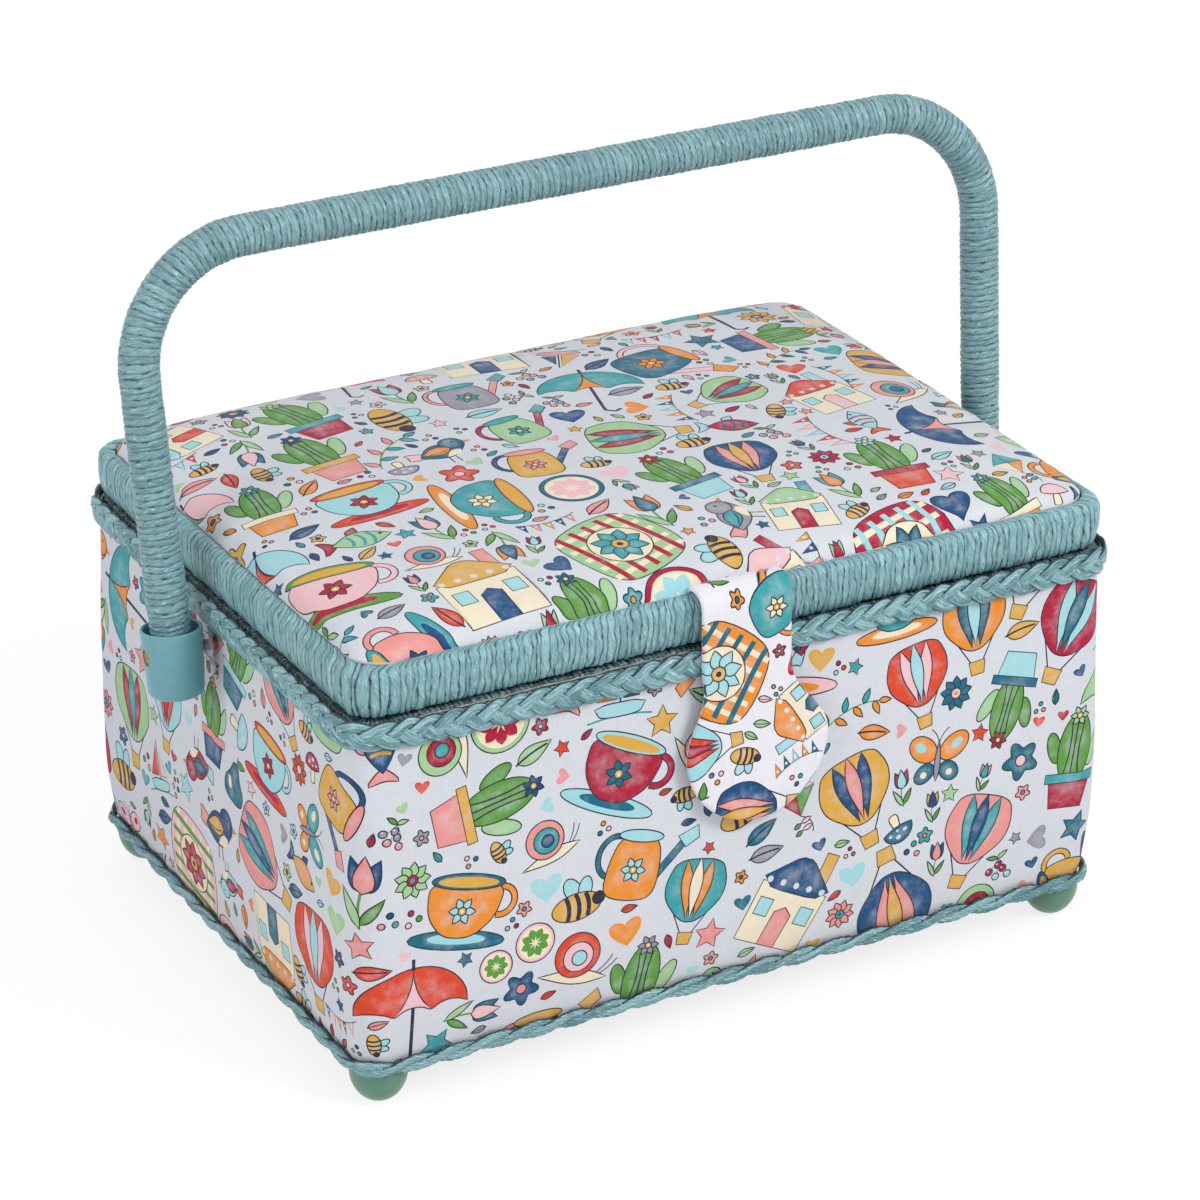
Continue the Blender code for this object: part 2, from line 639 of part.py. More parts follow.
def rim_curve(inset, low, high, inner):
    """(outset, height) of the rim's outer face, this far under it, from its foot to its top, and back to
    the inner side at the given outset."""
    round_top = RIM_ROUND - inset
    points = []
    for step in range(TUCK_STEPS + 1):
        share = step / TUCK_STEPS
        points.append((-RIM_TUCK * (1 - share) ** RIM_TUCK_POWER - inset, low + RIM_TUCK_HEIGHT * share))
    points += quarter(round_top, (-RIM_ROUND, high - round_top), 0)
    return [(inner, low)] + points, high


def make_lid(lid):
    """The rim's frame and its whipping, the board, the crowned pad and the lined inside."""
    inner = -FRAME_INNER_INSET
    frame, top = rim_curve(FRAME_INSET, FRAME_BOTTOM, FRAME_TOP, inner)
    closed_band("lid_frame", frame + [(inner, top)], "board", lid)
    low_end = -WHIPPING_RETURN
    top_end = -PAD_INSET + SEAT_GAP
    outside, _ = rim_curve(0, RIM_BOTTOM, RIM_TOP, low_end)
    wall = WHIPPING_THICKNESS
    inside, _ = rim_curve(wall, RIM_BOTTOM + wall, RIM_TOP - wall, low_end)
    end = [(top_end, RIM_TOP, PAD_CORNER_RADIUS), (top_end, RIM_TOP - wall, PAD_CORNER_RADIUS)]
    closed_band("rim_whipping", outside + end + inside[::-1], "paper_cord", lid, side_steps=2)
    rings = [[(x, y, z) for x, y in box_outline(-LID_BOARD_INSET)] for z in (LID_BOARD_Z, FRAME_TOP)]
    loft("lid_board", rings, "board", lid)
    make_pad(lid)
    make_lid_inside(lid)


def crowned(name, half_x, half_y, radius, edge_z, crown, sign, powers, slot, parent, side=0):
    """A cushion with a flat back at edge_z: its face rises by a short side and then by the crown, times a
    rounded shoulder along X and along Y, towards sign."""
    rings = [[(x, y, edge_z) for x, y in rounded_outline(half_x, half_y, radius, SIDE_STEPS)]]
    for share in PAD_RING_SHARES:
        inset = half_y * share
        corner = max(radius * (1 - share), SEAT_GAP)
        ring = []
        for x, y in rounded_outline(half_x - inset, half_y - inset, corner, SIDE_STEPS):
            rise_x = max(0.0, 1 - (abs(x) / half_x) ** powers[0]) ** PAD_SHOULDER
            rise_y = max(0.0, 1 - (abs(y) / half_y) ** powers[1]) ** PAD_SHOULDER
            ring.append((x, y, edge_z + sign * (side + crown * rise_x * rise_y)))
        rings.append(ring)
    return loft(name, rings, slot, parent, smooth=True)


def make_pad(lid):
    """The padded, printed top, drawn in round its edge inside the rim."""
    crowned(
        "lid_pad",
        HALF_WIDTH - PAD_INSET,
        HALF_DEPTH - PAD_INSET,
        PAD_CORNER_RADIUS,
        PAD_Z,
        PAD_CROWN,
        1,
        (PAD_POWER_X, PAD_POWER_Y),
        "printed_fabric",
        lid,
        PAD_SIDE,
    )


def make_lid_inside(lid):
    """Under the lid: the padded lining, a gathered pocket on it, and a pin cushion."""
    crowned(
        "lid_lining",
        LID_LINING_HALF_X,
        LID_LINING_HALF_Y,
        BOARD_EDGE_RADIUS,
        LID_LINING_TOP,
        LID_LINING_CROWN,
        -1,
        (PAD_POWER_X, PAD_POWER_Y),
        "lining_fabric",
        lid,
        LID_LINING_EDGE,
    )
    pocket_top = LID_LINING_BOTTOM - SEAT_GAP
    pin_x = LID_LINING_HALF_X - PIN_PAD_SIDE_MARGIN - PIN_PAD_RADIUS
    pin_y = LID_LINING_HALF_Y - PIN_PAD_BACK_MARGIN - PIN_PAD_RADIUS
    left = POCKET_SIDE_MARGIN - LID_LINING_HALF_X
    right = pin_x - PIN_PAD_RADIUS - PIN_PAD_TO_POCKET
    back = LID_LINING_HALF_Y - POCKET_BACK_MARGIN
    low = (left, back - POCKET_DEPTH, pocket_top - POCKET_THICKNESS)
    block("lid_pocket", low, (right, back, pocket_top), "lining_fabric", lid)
    profile = [(0, 0), (PIN_PAD_RADIUS, 0)]
    for step in range(1, PROFILE_STEPS + 1):
        angle = math.pi / 2 * step / (PROFILE_STEPS + 1)
        profile.append((PIN_PAD_RADIUS * math.cos(angle) ** PAD_SHOULDER, PIN_PAD_HEIGHT * math.sin(angle)))
    profile.append((0, PIN_PAD_HEIGHT))
    turned("pin_cushion", profile, (pin_x, pin_y, pocket_top), (0, 0, -1), "printed_fabric", lid)


def knuckle_arc(plate_low, plate_top):
    """(y, z) round a knuckle, from the plate's top face over the axis and back to its underside."""
    first = math.pi - math.asin((plate_top - HINGE_Z) / KNUCKLE_RADIUS)
    last = -math.pi - math.asin((plate_low - HINGE_Z) / KNUCKLE_RADIUS)
    angles = (first + (last - first) * step / KNUCKLE_STEPS for step in range(KNUCKLE_STEPS + 1))
    return [(HINGE_Y + KNUCKLE_RADIUS * math.cos(a), HINGE_Z + KNUCKLE_RADIUS * math.sin(a)) for a in angles]


def hinge_leaf(name, parent, x, spans, plate_low):
    """One leaf: a plate along the hinge whose back edge grows into a knuckle on each marked span. A span
    is (start, end, has a knuckle), and the knuckles are bored for the pin."""
    plate_top = plate_low + HINGE_LEAF_THICKNESS
    front = HALF_DEPTH - HINGE_LEAF_LENGTH
    back = HINGE_Y - KNUCKLE_RADIUS - SEAT_GAP
    plate = ((back, plate_low), (front, plate_low), (front, plate_top), (back, plate_top))
    arc = knuckle_arc(plate_low, plate_top)
    mesh = bmesh.new()
    stations = [spans[0][0]] + [end for _, end, _ in spans]
    rows = [[mesh.verts.new((x + at, y, z)) for y, z in plate] for at in stations]
    for (start, end, has_knuckle), low, high in zip(spans, rows, rows[1:]):
        for i in range(len(plate) - 1):
            mesh.faces.new((low[i], low[i + 1], high[i + 1], high[i]))
        if not has_knuckle:
            mesh.faces.new((low[-1], low[0], high[0], high[-1]))
            continue
        near, far = ([mesh.verts.new((x + at, y, z)) for y, z in arc] for at in (start, end))
        near, far = [low[-1], *near, low[0]], [high[-1], *far, high[0]]
        for i in range(len(near) - 1):
            mesh.faces.new((near[i], near[i + 1], far[i + 1], far[i]))
        mesh.faces.new(near)
        mesh.faces.new(far)
    mesh.faces.new(rows[0])
    mesh.faces.new(rows[-1])
    leaf = finish_mesh(name, mesh, "brass", parent, smooth=True)
    ends = (stations[0] - OVERRUN, stations[-1] + OVERRUN)
    bore = cylinder_profile(HINGE_PIN_RADIUS + HINGE_PIN_CLEARANCE, *ends)
    cutter = turned(f"{name}_bore", bore, (x, HINGE_Y, HINGE_Z), (1, 0, 0), None, parent, SMALL_STEPS)
    modify(leaf, cutter, "DIFFERENCE")


def make_hinges(root, lid):
    """Two butt hinges: a leaf on the back board's top edge, a leaf under the lid, and a headed pin."""
    half = HINGE_WIDTH / 2
    middle = LID_KNUCKLE_WIDTH / 2
    outer = middle + HINGE_SIDE_GAP
    body_spans = ((-half, -outer, True), (-outer, outer, False), (outer, half, True))
    lid_spans = ((-half, -middle, False), (-middle, middle, True), (middle, half, False))
    body_plate = BODY_TOP_Z + SEAT_GAP
    lid_plate = RIM_BOTTOM - SEAT_GAP - HINGE_LEAF_THICKNESS
    for sign in (-1, 1):
        side = side_name(sign)
        x = sign * HINGE_X
        hinge_leaf(f"{side}_hinge_body_leaf", root, x, body_spans, body_plate)
        hinge_leaf(f"{side}_hinge_lid_leaf", lid, x, lid_spans, lid_plate)
        head = half + SEAT_GAP
        pin = [
            (0, -half),
            (HINGE_PIN_RADIUS, -half),
            (HINGE_PIN_RADIUS, head),
            (HINGE_PIN_HEAD_RADIUS, head),
            (HINGE_PIN_HEAD_RADIUS, head + HINGE_PIN_HEAD_HEIGHT),
            (0, head + HINGE_PIN_HEAD_HEIGHT),
        ]
        turned(f"{side}_hinge_pin", pin, (x, HINGE_Y, HINGE_Z), (1, 0, 0), "steel", root, SMALL_STEPS)


def tab_half_width(drop):
    """Half the tab's width, this far below the rim's top: a straight neck, a flare and a round end."""
    radius = TAB_PADDLE_WIDTH / 2
    neck = TAB_NECK_WIDTH / 2
    round_start = TAB_REACH - radius
    flare_start = round_start - TAB_FLARE_LENGTH * TAB_ROUND_SHARE
    if drop <= flare_start:
        return neck
    if drop <= round_start:
        share = (drop - flare_start) / (round_start - flare_start)
        return neck + (radius - neck) * (1 - math.cos(math.pi * share)) / 2
    below = min((drop - round_start) / radius, 1)
    return radius * math.sqrt(max(1 - below**2, 0))


def make_tab(tab, root):
    """The closing tab, from its seam inside the rim over the rim's edge and down the front, with a
    magnet in its back and one behind the front's fabric."""
    corner_y = TAB_BACK_Y + RIM_ROUND
    corner_z = TAB_AXIS_Z - RIM_ROUND
    path = [(TAB_AXIS_Y, TAB_AXIS_Z, math.pi / 2)]
    for step in range(PROFILE_STEPS + 1):
        angle = math.pi / 2 + math.pi / 2 * step / PROFILE_STEPS
        path.append((corner_y + RIM_ROUND * math.cos(angle), corner_z + RIM_ROUND * math.sin(angle), angle))
    foot_z = RIM_TOP - TAB_REACH
    straight = [step / TAB_STEPS for step in range(1, TAB_STEPS)]
    straight += [1 - TAB_THICKNESS / TAB_REACH * share for share in TAB_TIP_SHARES]
    for share in straight:
        back_y = TAB_BACK_Y + (TAB_FOOT_Y - TAB_BACK_Y) * share
        path.append((back_y, corner_z + (foot_z - corner_z) * share, math.pi))
    rings = []
    for y, z, angle in path:
        half = tab_half_width(RIM_TOP - z)
        out_y = y + TAB_THICKNESS * math.cos(angle)
        out_z = z + TAB_THICKNESS * math.sin(angle)
        rings.append([(-half, y, z), (half, y, z), (half, out_y, out_z), (-half, out_y, out_z)])
    strap = loft("tab_strap", rings, "printed_fabric", tab)
    share = (corner_z - MAGNET_Z) / (corner_z - foot_z)
    back = -(TAB_BACK_Y + (TAB_FOOT_Y - TAB_BACK_Y) * share)
    lean = (TAB_BACK_Y - TAB_FOOT_Y) * (MAGNET_RADIUS / (corner_z - foot_z))
    floor = back + lean + TAB_MAGNET_THICKNESS
    hole = cylinder_profile(MAGNET_RADIUS + SEAT_GAP, back - OVERRUN, floor + SEAT_GAP)
    modify(strap, turned("cut_tab_magnet", hole, (0, 0, MAGNET_Z), (0, -1, 0), None, tab), "DIFFERENCE")
    disc = cylinder_profile(MAGNET_RADIUS, floor - TAB_MAGNET_THICKNESS, floor)
    turned("tab_magnet", disc, (0, 0, MAGNET_Z), (0, -1, 0), "magnet", tab)
    board_face = HALF_DEPTH - BOARD_INSET + SEAT_GAP
    disc = cylinder_profile(MAGNET_RADIUS, board_face, board_face + MAGNET_THICKNESS)
    turned("body_magnet", disc, (0, 0, MAGNET_Z), (0, -1, 0), "magnet", root)


def handle_path(start):
    """The handle's centre line from the left cup to the right one, from this height above the pivots:
    straight legs that splay a little, round corners and a straight bar. Gives a function from a distance
    to (place, sideways), the whole length, and the distances of the ends and of points round the corners."""
    top = HANDLE_RISE
    radius = HANDLE_CORNER_RADIUS
    half_top = HANDLE_HALF_SPAN + HANDLE_SPLAY
    leg_top = top - radius

    def leg_x(z):
        return HANDLE_HALF_SPAN + HANDLE_SPLAY * z / leg_top

    leg_length = leg_top - start
    corner_length = radius * math.pi / 2
    bar_half = half_top - radius
    total = 2 * (leg_length + corner_length + bar_half)

    def at(distance):
        mirror = distance > total / 2
        run = total - distance if mirror else distance
        if run <= leg_length:
            x, z = leg_x(start + run), start + run
            out = (1.0, 0.0)
        elif run <= leg_length + corner_length:
            angle = (run - leg_length) / radius
            x = half_top - radius + radius * math.cos(angle)
            z = leg_top + radius * math.sin(angle)
            out = (math.cos(angle), math.sin(angle))
        else:
            x, z = half_top - radius - (run - leg_length - corner_length), top
            out = (0.0, 1.0)
        side = 1 if mirror else -1
        return Vector((side * x, 0, z)), Vector((side * out[0], 0, out[1]))

    bend = [leg_length + corner_length * step / BEND_STEPS for step in range(BEND_STEPS + 1)]
    bends = [0.0] + bend + [total - distance for distance in reversed(bend)] + [total]
    return at, total, bends


def ring_at(centre, out, radius):
    """A ring of the tube, square to its path: out points away from the handle's middle."""
    across = Vector((0, 1, 0))
    angles = (math.tau * (step + 0.5) / TUBE_SIDES for step in range(TUBE_SIDES))
    return [centre + out * (radius * math.cos(a)) + across * (radius * math.sin(a)) for a in angles]


def make_handle(handle):
    """The rod, its cord winding as a ribbed tube with the rod's bore, and the two cups. All of it is made
    upright about the pivots and then leans back with its empty."""
    origin = Vector(handle["place"])

    def placed(ring):
        return [point + origin for point in ring]

    bore = ROD_RADIUS + SEAT_GAP
    at, total, bends = handle_path(WINDING_START)
    plain = 2 * WINDING_RADIUS
    pitch = (total - 2 * plain) / HANDLE_RIBS
    stops = [(0.0, WINDING_RADIUS - WINDING_GROOVE)]
    stops += [
        (plain + pitch * (index + part), WINDING_RADIUS - (0 if part else WINDING_GROOVE))
        for index in range(HANDLE_RIBS)
        for part in (0, 0.5)
    ]
    stops += [(total - plain, WINDING_RADIUS - WINDING_GROOVE), (total, WINDING_RADIUS - WINDING_GROOVE)]
    outside = [placed(ring_at(*at(distance), radius)) for distance, radius in stops]
    inside = [placed(ring_at(*at(distance), bore)) for distance in reversed(bends)]
    mesh = bmesh.new()
    rows = [[mesh.verts.new(point) for point in ring] for ring in outside + inside]
    for low, high in zip(rows, rows[1:] + rows[:1]):
        for i in range(TUBE_SIDES):
            j = (i + 1) % TUBE_SIDES
            mesh.faces.new((low[i], low[j], high[j], high[i]))
    finish_mesh("handle_winding", mesh, "paper_cord", handle, smooth=True)
    at, total, bends = handle_path(-ROD_TAIL)
    rings = [placed(ring_at(*at(distance), ROD_RADIUS)) for distance in bends]
    rod = loft("handle_rod", rings, "steel", handle, smooth=True)
    reach = HANDLE_HALF_SPAN + CUP_MOUTH_RADIUS + OVERRUN
    for sign in (-1, 1):
        cup = make_cup(handle, origin, sign)
        near = HANDLE_HALF_SPAN - CUP_MOUTH_RADIUS - OVERRUN
        hole = cylinder_profile(PIVOT_SCREW_RADIUS + SEAT_GAP, near, reach)
        cutter = turned(f"cut_cross_{side_name(sign)}", hole, origin, (sign, 0, 0), None, handle, SMALL_STEPS)
        modify(cup, cutter, "DIFFERENCE")
        modify(rod, cutter, "DIFFERENCE")
        sink_start = HANDLE_HALF_SPAN + CUP_MOUTH_RADIUS - PIVOT_HEAD_SINK
        sink = cylinder_profile(PIVOT_HEAD_RADIUS + SEAT_GAP, sink_start, reach)
        cutter = turned(f"cut_sink_{side_name(sign)}", sink, origin, (sign, 0, 0), None, handle, SMALL_STEPS)
        modify(cup, cutter, "DIFFERENCE")


def make_cup(handle, origin, sign):
    """One cup: tapered, with a rounded foot, a thin mouth round the winding and a narrower bore for the
    rod."""
    wide = CUP_MOUTH_RADIUS - CUP_WALL
    narrow = ROD_RADIUS + SEAT_GAP + HANDLE_SPLAY * ROD_TAIL / HANDLE_RISE
    step_z = WINDING_START - SEAT_GAP
    profile = [(0, -CUP_BELOW_PIVOT)]
    foot_centre = (CUP_FOOT_RADIUS - CUP_ROUND, -CUP_BELOW_PIVOT + CUP_ROUND)
    profile += quarter(CUP_ROUND, foot_centre, -math.pi / 2)
    profile += [
        (CUP_MOUTH_RADIUS, CUP_ABOVE_PIVOT - CUP_LIP_ROUND),
        (CUP_MOUTH_RADIUS - CUP_LIP_ROUND, CUP_ABOVE_PIVOT),
        (wide, CUP_ABOVE_PIVOT),
        (wide, step_z),
        (narrow, step_z),
        (narrow, -ROD_TAIL - SEAT_GAP),
        (0, -ROD_TAIL - SEAT_GAP),
    ]
    place = origin + Vector((sign * HANDLE_HALF_SPAN, 0, 0))
    return turned(f"{side_name(sign)}_cup", profile, place, (0, 0, 1), "cup_plastic", handle)


def make_tray(tray):
    """The lift-out tray: a moulded shell with one long cell in front and a row of small ones behind."""
    half_x = HALF_WIDTH - ROOM_INSET - TRAY_CLEARANCE
    half_y = HALF_DEPTH - ROOM_INSET - TRAY_CLEARANCE
    outline = rounded_outline(half_x, half_y, TRAY_CORNER_RADIUS)
    rings = [[(x, y, z) for x, y in outline] for z in (TRAY_Z, TRAY_TOP)]
    shell = loft("tray", rings, "tray_plastic", tray)
    inner_x = half_x - TRAY_WALL
    inner_y = half_y - TRAY_WALL
    split = -inner_y + 2 * inner_y * TRAY_FRONT_SHARE
    cells = [((-inner_x, -inner_y), (inner_x, split - TRAY_WALL / 2))]
    cell_width = (2 * inner_x - TRAY_WALL * (TRAY_BACK_CELLS - 1)) / TRAY_BACK_CELLS
    for index in range(TRAY_BACK_CELLS):
        left = -inner_x + index * (cell_width + TRAY_WALL)
        cells.append(((left, split + TRAY_WALL / 2), (left + cell_width, inner_y)))
    for index, (low, high) in enumerate(cells):
        centre = [(a + b) / 2 for a, b in zip(low, high)]
        radius = TRAY_CORNER_RADIUS - TRAY_WALL
        half = [(b - a) / 2 for a, b in zip(low, high)]
        cell = rounded_outline(half[0], half[1], radius)
        levels = (TRAY_Z + TRAY_FLOOR, TRAY_TOP + OVERRUN)
        rings = [[(centre[0] + x, centre[1] + y, z) for x, y in cell] for z in levels]
        modify(shell, loft(f"cut_cell_{index}", rings, None, tray), "DIFFERENCE")


def main():
    """Builds the basket in one frame, each moving group under an empty on its joint's axis."""
    clear_scene()
    root = empty("basket", (0, 0, 0))
    lid = empty("lid_axis", (0, HINGE_Y, HINGE_Z), root)
    tab = empty("tab_axis", (0, TAB_AXIS_Y, TAB_AXIS_Z), lid)
    handle = empty("handle_axis", (0, 0, PIVOT_Z), root)
    tray = empty("tray_seat", (0, 0, TRAY_Z), root)
    base_board = make_boards(root)
    make_wadding(root)
    make_cover(root)
    make_lining(root)
    make_base_and_feet(root, base_board)
    make_braids(root)
    make_ledges(root)
    make_pivots(root)
    make_lid(lid)
    make_hinges(root, lid)
    make_tab(tab, root)
    make_handle(handle)
    make_tray(tray)
    handle.rotation_euler.x = -HANDLE_LEAN
    root.location.y = CENTRE_SHIFT_Y


if __name__ == "__main__":
    main()
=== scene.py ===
"""The sewing basket as it looks: printed padded cloth, a whipped lid rim, plaits, a closing tab, a
cord-wound handle and a lined inside, each built over the fixed frame. Metres, +Z up, front towards -Y."""

import logging
import math
from collections.abc import Callable, Sequence
from dataclasses import dataclass, field
from enum import Enum
from functools import partial

import bpy
import numpy as np
from mathutils import Matrix, Vector
from mathutils.geometry import delaunay_2d_cdt


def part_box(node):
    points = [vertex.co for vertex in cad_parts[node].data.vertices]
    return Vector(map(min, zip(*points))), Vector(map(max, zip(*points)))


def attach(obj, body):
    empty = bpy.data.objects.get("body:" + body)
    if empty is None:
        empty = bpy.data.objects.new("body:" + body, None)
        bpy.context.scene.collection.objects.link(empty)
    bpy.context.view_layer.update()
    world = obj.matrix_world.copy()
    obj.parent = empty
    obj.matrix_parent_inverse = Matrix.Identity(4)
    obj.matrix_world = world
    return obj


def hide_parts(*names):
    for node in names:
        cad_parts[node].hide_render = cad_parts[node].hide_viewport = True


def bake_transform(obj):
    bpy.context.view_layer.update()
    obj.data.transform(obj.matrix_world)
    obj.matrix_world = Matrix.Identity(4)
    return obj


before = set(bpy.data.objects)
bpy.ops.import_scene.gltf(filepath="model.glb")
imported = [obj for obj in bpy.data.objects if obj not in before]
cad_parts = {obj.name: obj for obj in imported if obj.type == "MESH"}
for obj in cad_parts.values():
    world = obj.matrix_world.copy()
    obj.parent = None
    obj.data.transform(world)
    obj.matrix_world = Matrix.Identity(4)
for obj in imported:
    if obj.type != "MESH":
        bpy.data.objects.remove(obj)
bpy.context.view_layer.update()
LOG = logging.getLogger("basket")

Array = np.ndarray
Arrays = tuple[Array, ...]
Floats = Sequence[float]
Pair = tuple[float, float]
Colour = tuple[int, int, int]
Piece = bpy.types.Object

INK_LINE = 0.00042
RASTER_CELL = 0.00075
RASTER_MARGIN = 10
FOOTPRINT_CELLS = 44
BROAD_FILL = 0.0032
SEAM_BLANK = 0.0035
QUARTER_TURNS = (0.7, 0.12, 0.06, 0.12)


class Body(Enum):
    """The frame's bodies that pieces ride on."""

    BOX = "body"
    LID = "lid"
    TAB = "tab"
    HANDLE = "handle"


class Slot(Enum):
    """The record's material slots."""

    PRINT = "printed_fabric"
    WADDING = "wadding"
    BOARD = "board"
    LINING = "lining_fabric"
    BASE = "base_sheet"
    CORD = "paper_cord"
    CUP = "cup_plastic"
    FOOT = "foot_plastic"
    TRAY = "tray_plastic"
    CLEAR = "clear_plastic"
    BRASS = "brass"
    STEEL = "steel"
    MAGNET = "magnet"


class Ink(Enum):
    """Colours of the print, as 8-bit sRGB."""

    CLOTH = (212, 215, 221)
    LINE = (40, 42, 60)
    NAVY = (14, 76, 124)
    PETROL = (18, 104, 128)
    TEAL = (54, 158, 164)
    AQUA = (158, 214, 220)
    CORAL = (232, 148, 142)
    CRIMSON = (176, 22, 56)
    RED = (218, 70, 36)
    ORANGE = (234, 142, 44)
    MUSTARD = (220, 168, 66)
    GREEN = (92, 152, 60)
    LEAF = (160, 202, 146)
    GREY = (152, 148, 160)
    CREAM = (240, 226, 196)
    PINK = (240, 190, 196)


Hue = Ink | int


@dataclass(frozen=True)
class BoxSizes:
    """Sizes of the closed box that its pieces share, in metres, from the model.

    The box stands off the middle of the frame by centre_y, because the frame's middle is that of the whole
    reach from the tab to the hinges.
    """

    half_x: float = 0.1275
    half_y: float = 0.0940
    corner: float = 0.0100
    centre_y: float = 0.00095
    body_top: float = 0.1262
    cover_low: float = 0.0140
    cover_top: float = 0.1256
    bulge: float = 0.0016
    rim_low: float = 0.1288
    rim_top: float = 0.1432
    pad_z: float = 0.1420
    pad_inset: float = 0.0045
    pad_corner: float = 0.0105
    pivot_z: float = 0.1142
    pivot_x: float = 0.1416


BOX = BoxSizes()


def linear(colour: Floats) -> tuple[float, float, float, float]:
    """Turns an 8-bit sRGB colour into linear RGBA.

    Args:
        colour: Red, green and blue from 0 to 255.

    Returns:
        Linear red, green and blue from 0 to 1, and an alpha of 1.
    """
    shares = np.asarray(colour, float) / 255
    values = np.where(shares <= 0.04045, shares / 12.92, ((shares + 0.055) / 1.055) ** 2.4)
    return (*map(float, values), 1.0)


def smooth(values: Array | float, low: float, high: float) -> Array:
    """Rises from 0 at low to 1 at high with level ends: t squared times (3 - 2t).

    Args:
        values: Numbers to map.
        low: Where the rise starts.
        high: Where it ends.

    Returns:
        The eased shares.
    """
    t = np.clip((np.asarray(values, float) - low) / (high - low), 0, 1)
    return t * t * (3 - 2 * t)


def hermite(at: Array, xs: Floats, ys: Floats) -> Array:
    """A smooth curve through points: cubic Hermite pieces whose slopes are the neighbours' mean slope.

    Args:
        at: Where the curve is wanted.
        xs: The points' places, rising.
        ys: The points' values.

    Returns:
        The curve's values.
    """
    xs, ys = np.asarray(xs, float), np.asarray(ys, float)
    slopes = np.gradient(ys, xs)
    at = np.clip(at, xs[0], xs[-1])
    index = np.clip(np.searchsorted(xs, at) - 1, 0, len(xs) - 2)
    span = xs[index + 1] - xs[index]
    t = (at - xs[index]) / span
    rise = ys[index + 1] - ys[index]
    start = slopes[index] * span - rise
    end = rise - slopes[index + 1] * span
    return ys[index] + rise * t + t * (1 - t) * (start * (1 - t) + end * t)


class Wobble:
    """Seeded smooth noise from -1 to 1: random values on a lattice, eased between neighbours."""

    COUNT = 4093

    def __init__(self, seed: int) -> None:
        """Draws the lattice's values from this seed."""
        self.values = np.random.default_rng(seed).uniform(-1, 1, self.COUNT)

    def line(self, t: Array) -> Array:
        """Noise along a line, one lattice value for each whole number."""
        base = np.floor(t).astype(int)
        share = smooth(t - base, 0, 1)
        low = self.values[base % self.COUNT]
        return low + (self.values[(base + 1) % self.COUNT] - low) * share

    def loop(self, share: Array, cells: int) -> Array:
        """Noise that meets itself after a share of 1, with this many lattice values in the round."""
        t = np.asarray(share) * cells
        base = np.floor(t).astype(int)
        low = self.values[base % cells]
        return low + (self.values[(base + 1) % cells] - low) * smooth(t - base, 0, 1)

    def plane(self, u: Array, v: Array) -> Array:
        """Noise over a plane, one lattice value for each pair of whole numbers."""
        base_u, base_v = np.floor(u).astype(int), np.floor(v).astype(int)
        share_u, share_v = smooth(u - base_u, 0, 1), smooth(v - base_v, 0, 1)

        def lattice(i: Array, j: Array) -> Array:
            """The lattice value of a pair."""
            return self.values[(i * 157 + j * 1013) % self.COUNT]

        low = lattice(base_u, base_v) * (1 - share_u) + lattice(base_u + 1, base_v) * share_u
        high = lattice(base_u, base_v + 1) * (1 - share_u) + lattice(base_u + 1, base_v + 1) * share_u
        return low * (1 - share_v) + high * share_v


@dataclass(frozen=True)
class RoundedRect:
    """A rounded rectangle walked anticlockwise, seen from above, from the middle of its back side."""

    half_x: float = BOX.half_x
    half_y: float = BOX.half_y
    radius: float = BOX.corner
    centre_y: float = BOX.centre_y

    @property
    def breaks(self) -> Array:
        """Distances of the ends of its sides and corners."""
        flat_x, flat_y = self.half_x - self.radius, self.half_y - self.radius
        arc = self.radius * math.pi / 2
        spans = [0, flat_x, arc, 2 * flat_y, arc, 2 * flat_x, arc, 2 * flat_y, arc, flat_x]
        return np.cumsum(spans)

    @property
    def length(self) -> float:
        """The whole way round."""
        return float(self.breaks[-1])

    def at(
        self, distance: Array, outset: Array | float = 0.0, radius: Array | None = None
    ) -> Arrays:
        """Places along the outline, moved outwards: a corner's centre plus the radius times its direction.

        Args:
            distance: Distances along the outline; they wrap.
            outset: How far outside it.
            radius: The corner radius there, where it isn't the outline's own plus the outset.

        Returns:
            X and Y.
        """
        run = np.mod(distance, self.length)
        sign_x = np.interp(run, self.breaks, (0, -1, -1, -1, -1, 1, 1, 1, 1, 0))
        sign_y = np.interp(run, self.breaks, (1, 1, 1, -1, -1, -1, -1, 1, 1, 1))
        turns = np.array((90, 90, 180, 180, 270, 270, 360, 360, 450, 450))
        angle = np.radians(np.interp(run, self.breaks, turns))
        corner = self.radius + outset if radius is None else radius
        x = sign_x * (self.half_x + outset - corner) + corner * np.cos(angle)
        y = sign_y * (self.half_y + outset - corner) + corner * np.sin(angle)
        return x, y + self.centre_y

    def cornering(self, distance: Array, margin: float = 0.004) -> Array:
        """How much a distance is in a corner: 1 on its arc, easing to 0 this far along the sides."""
        run = np.mod(distance, self.length)
        share = np.zeros_like(run)
        for start, end in zip(self.breaks[1:-1:2], self.breaks[2:-1:2]):
            near = smooth(run, start - margin, start) * (1 - smooth(run, end, end + margin))
            share = np.maximum(share, near)
        return share

    def columns(self, step: float, corner_step: float) -> Array:
        """Distances from 0 to the whole length, close together on the corners."""
        pieces = []
        for index, (start, end) in enumerate(zip(self.breaks, self.breaks[1:])):
            count = max(2, round((end - start) / (corner_step if index % 2 else step)))
            pieces.append(np.linspace(start, end, count, endpoint=False))
        return np.append(np.concatenate(pieces), self.length)


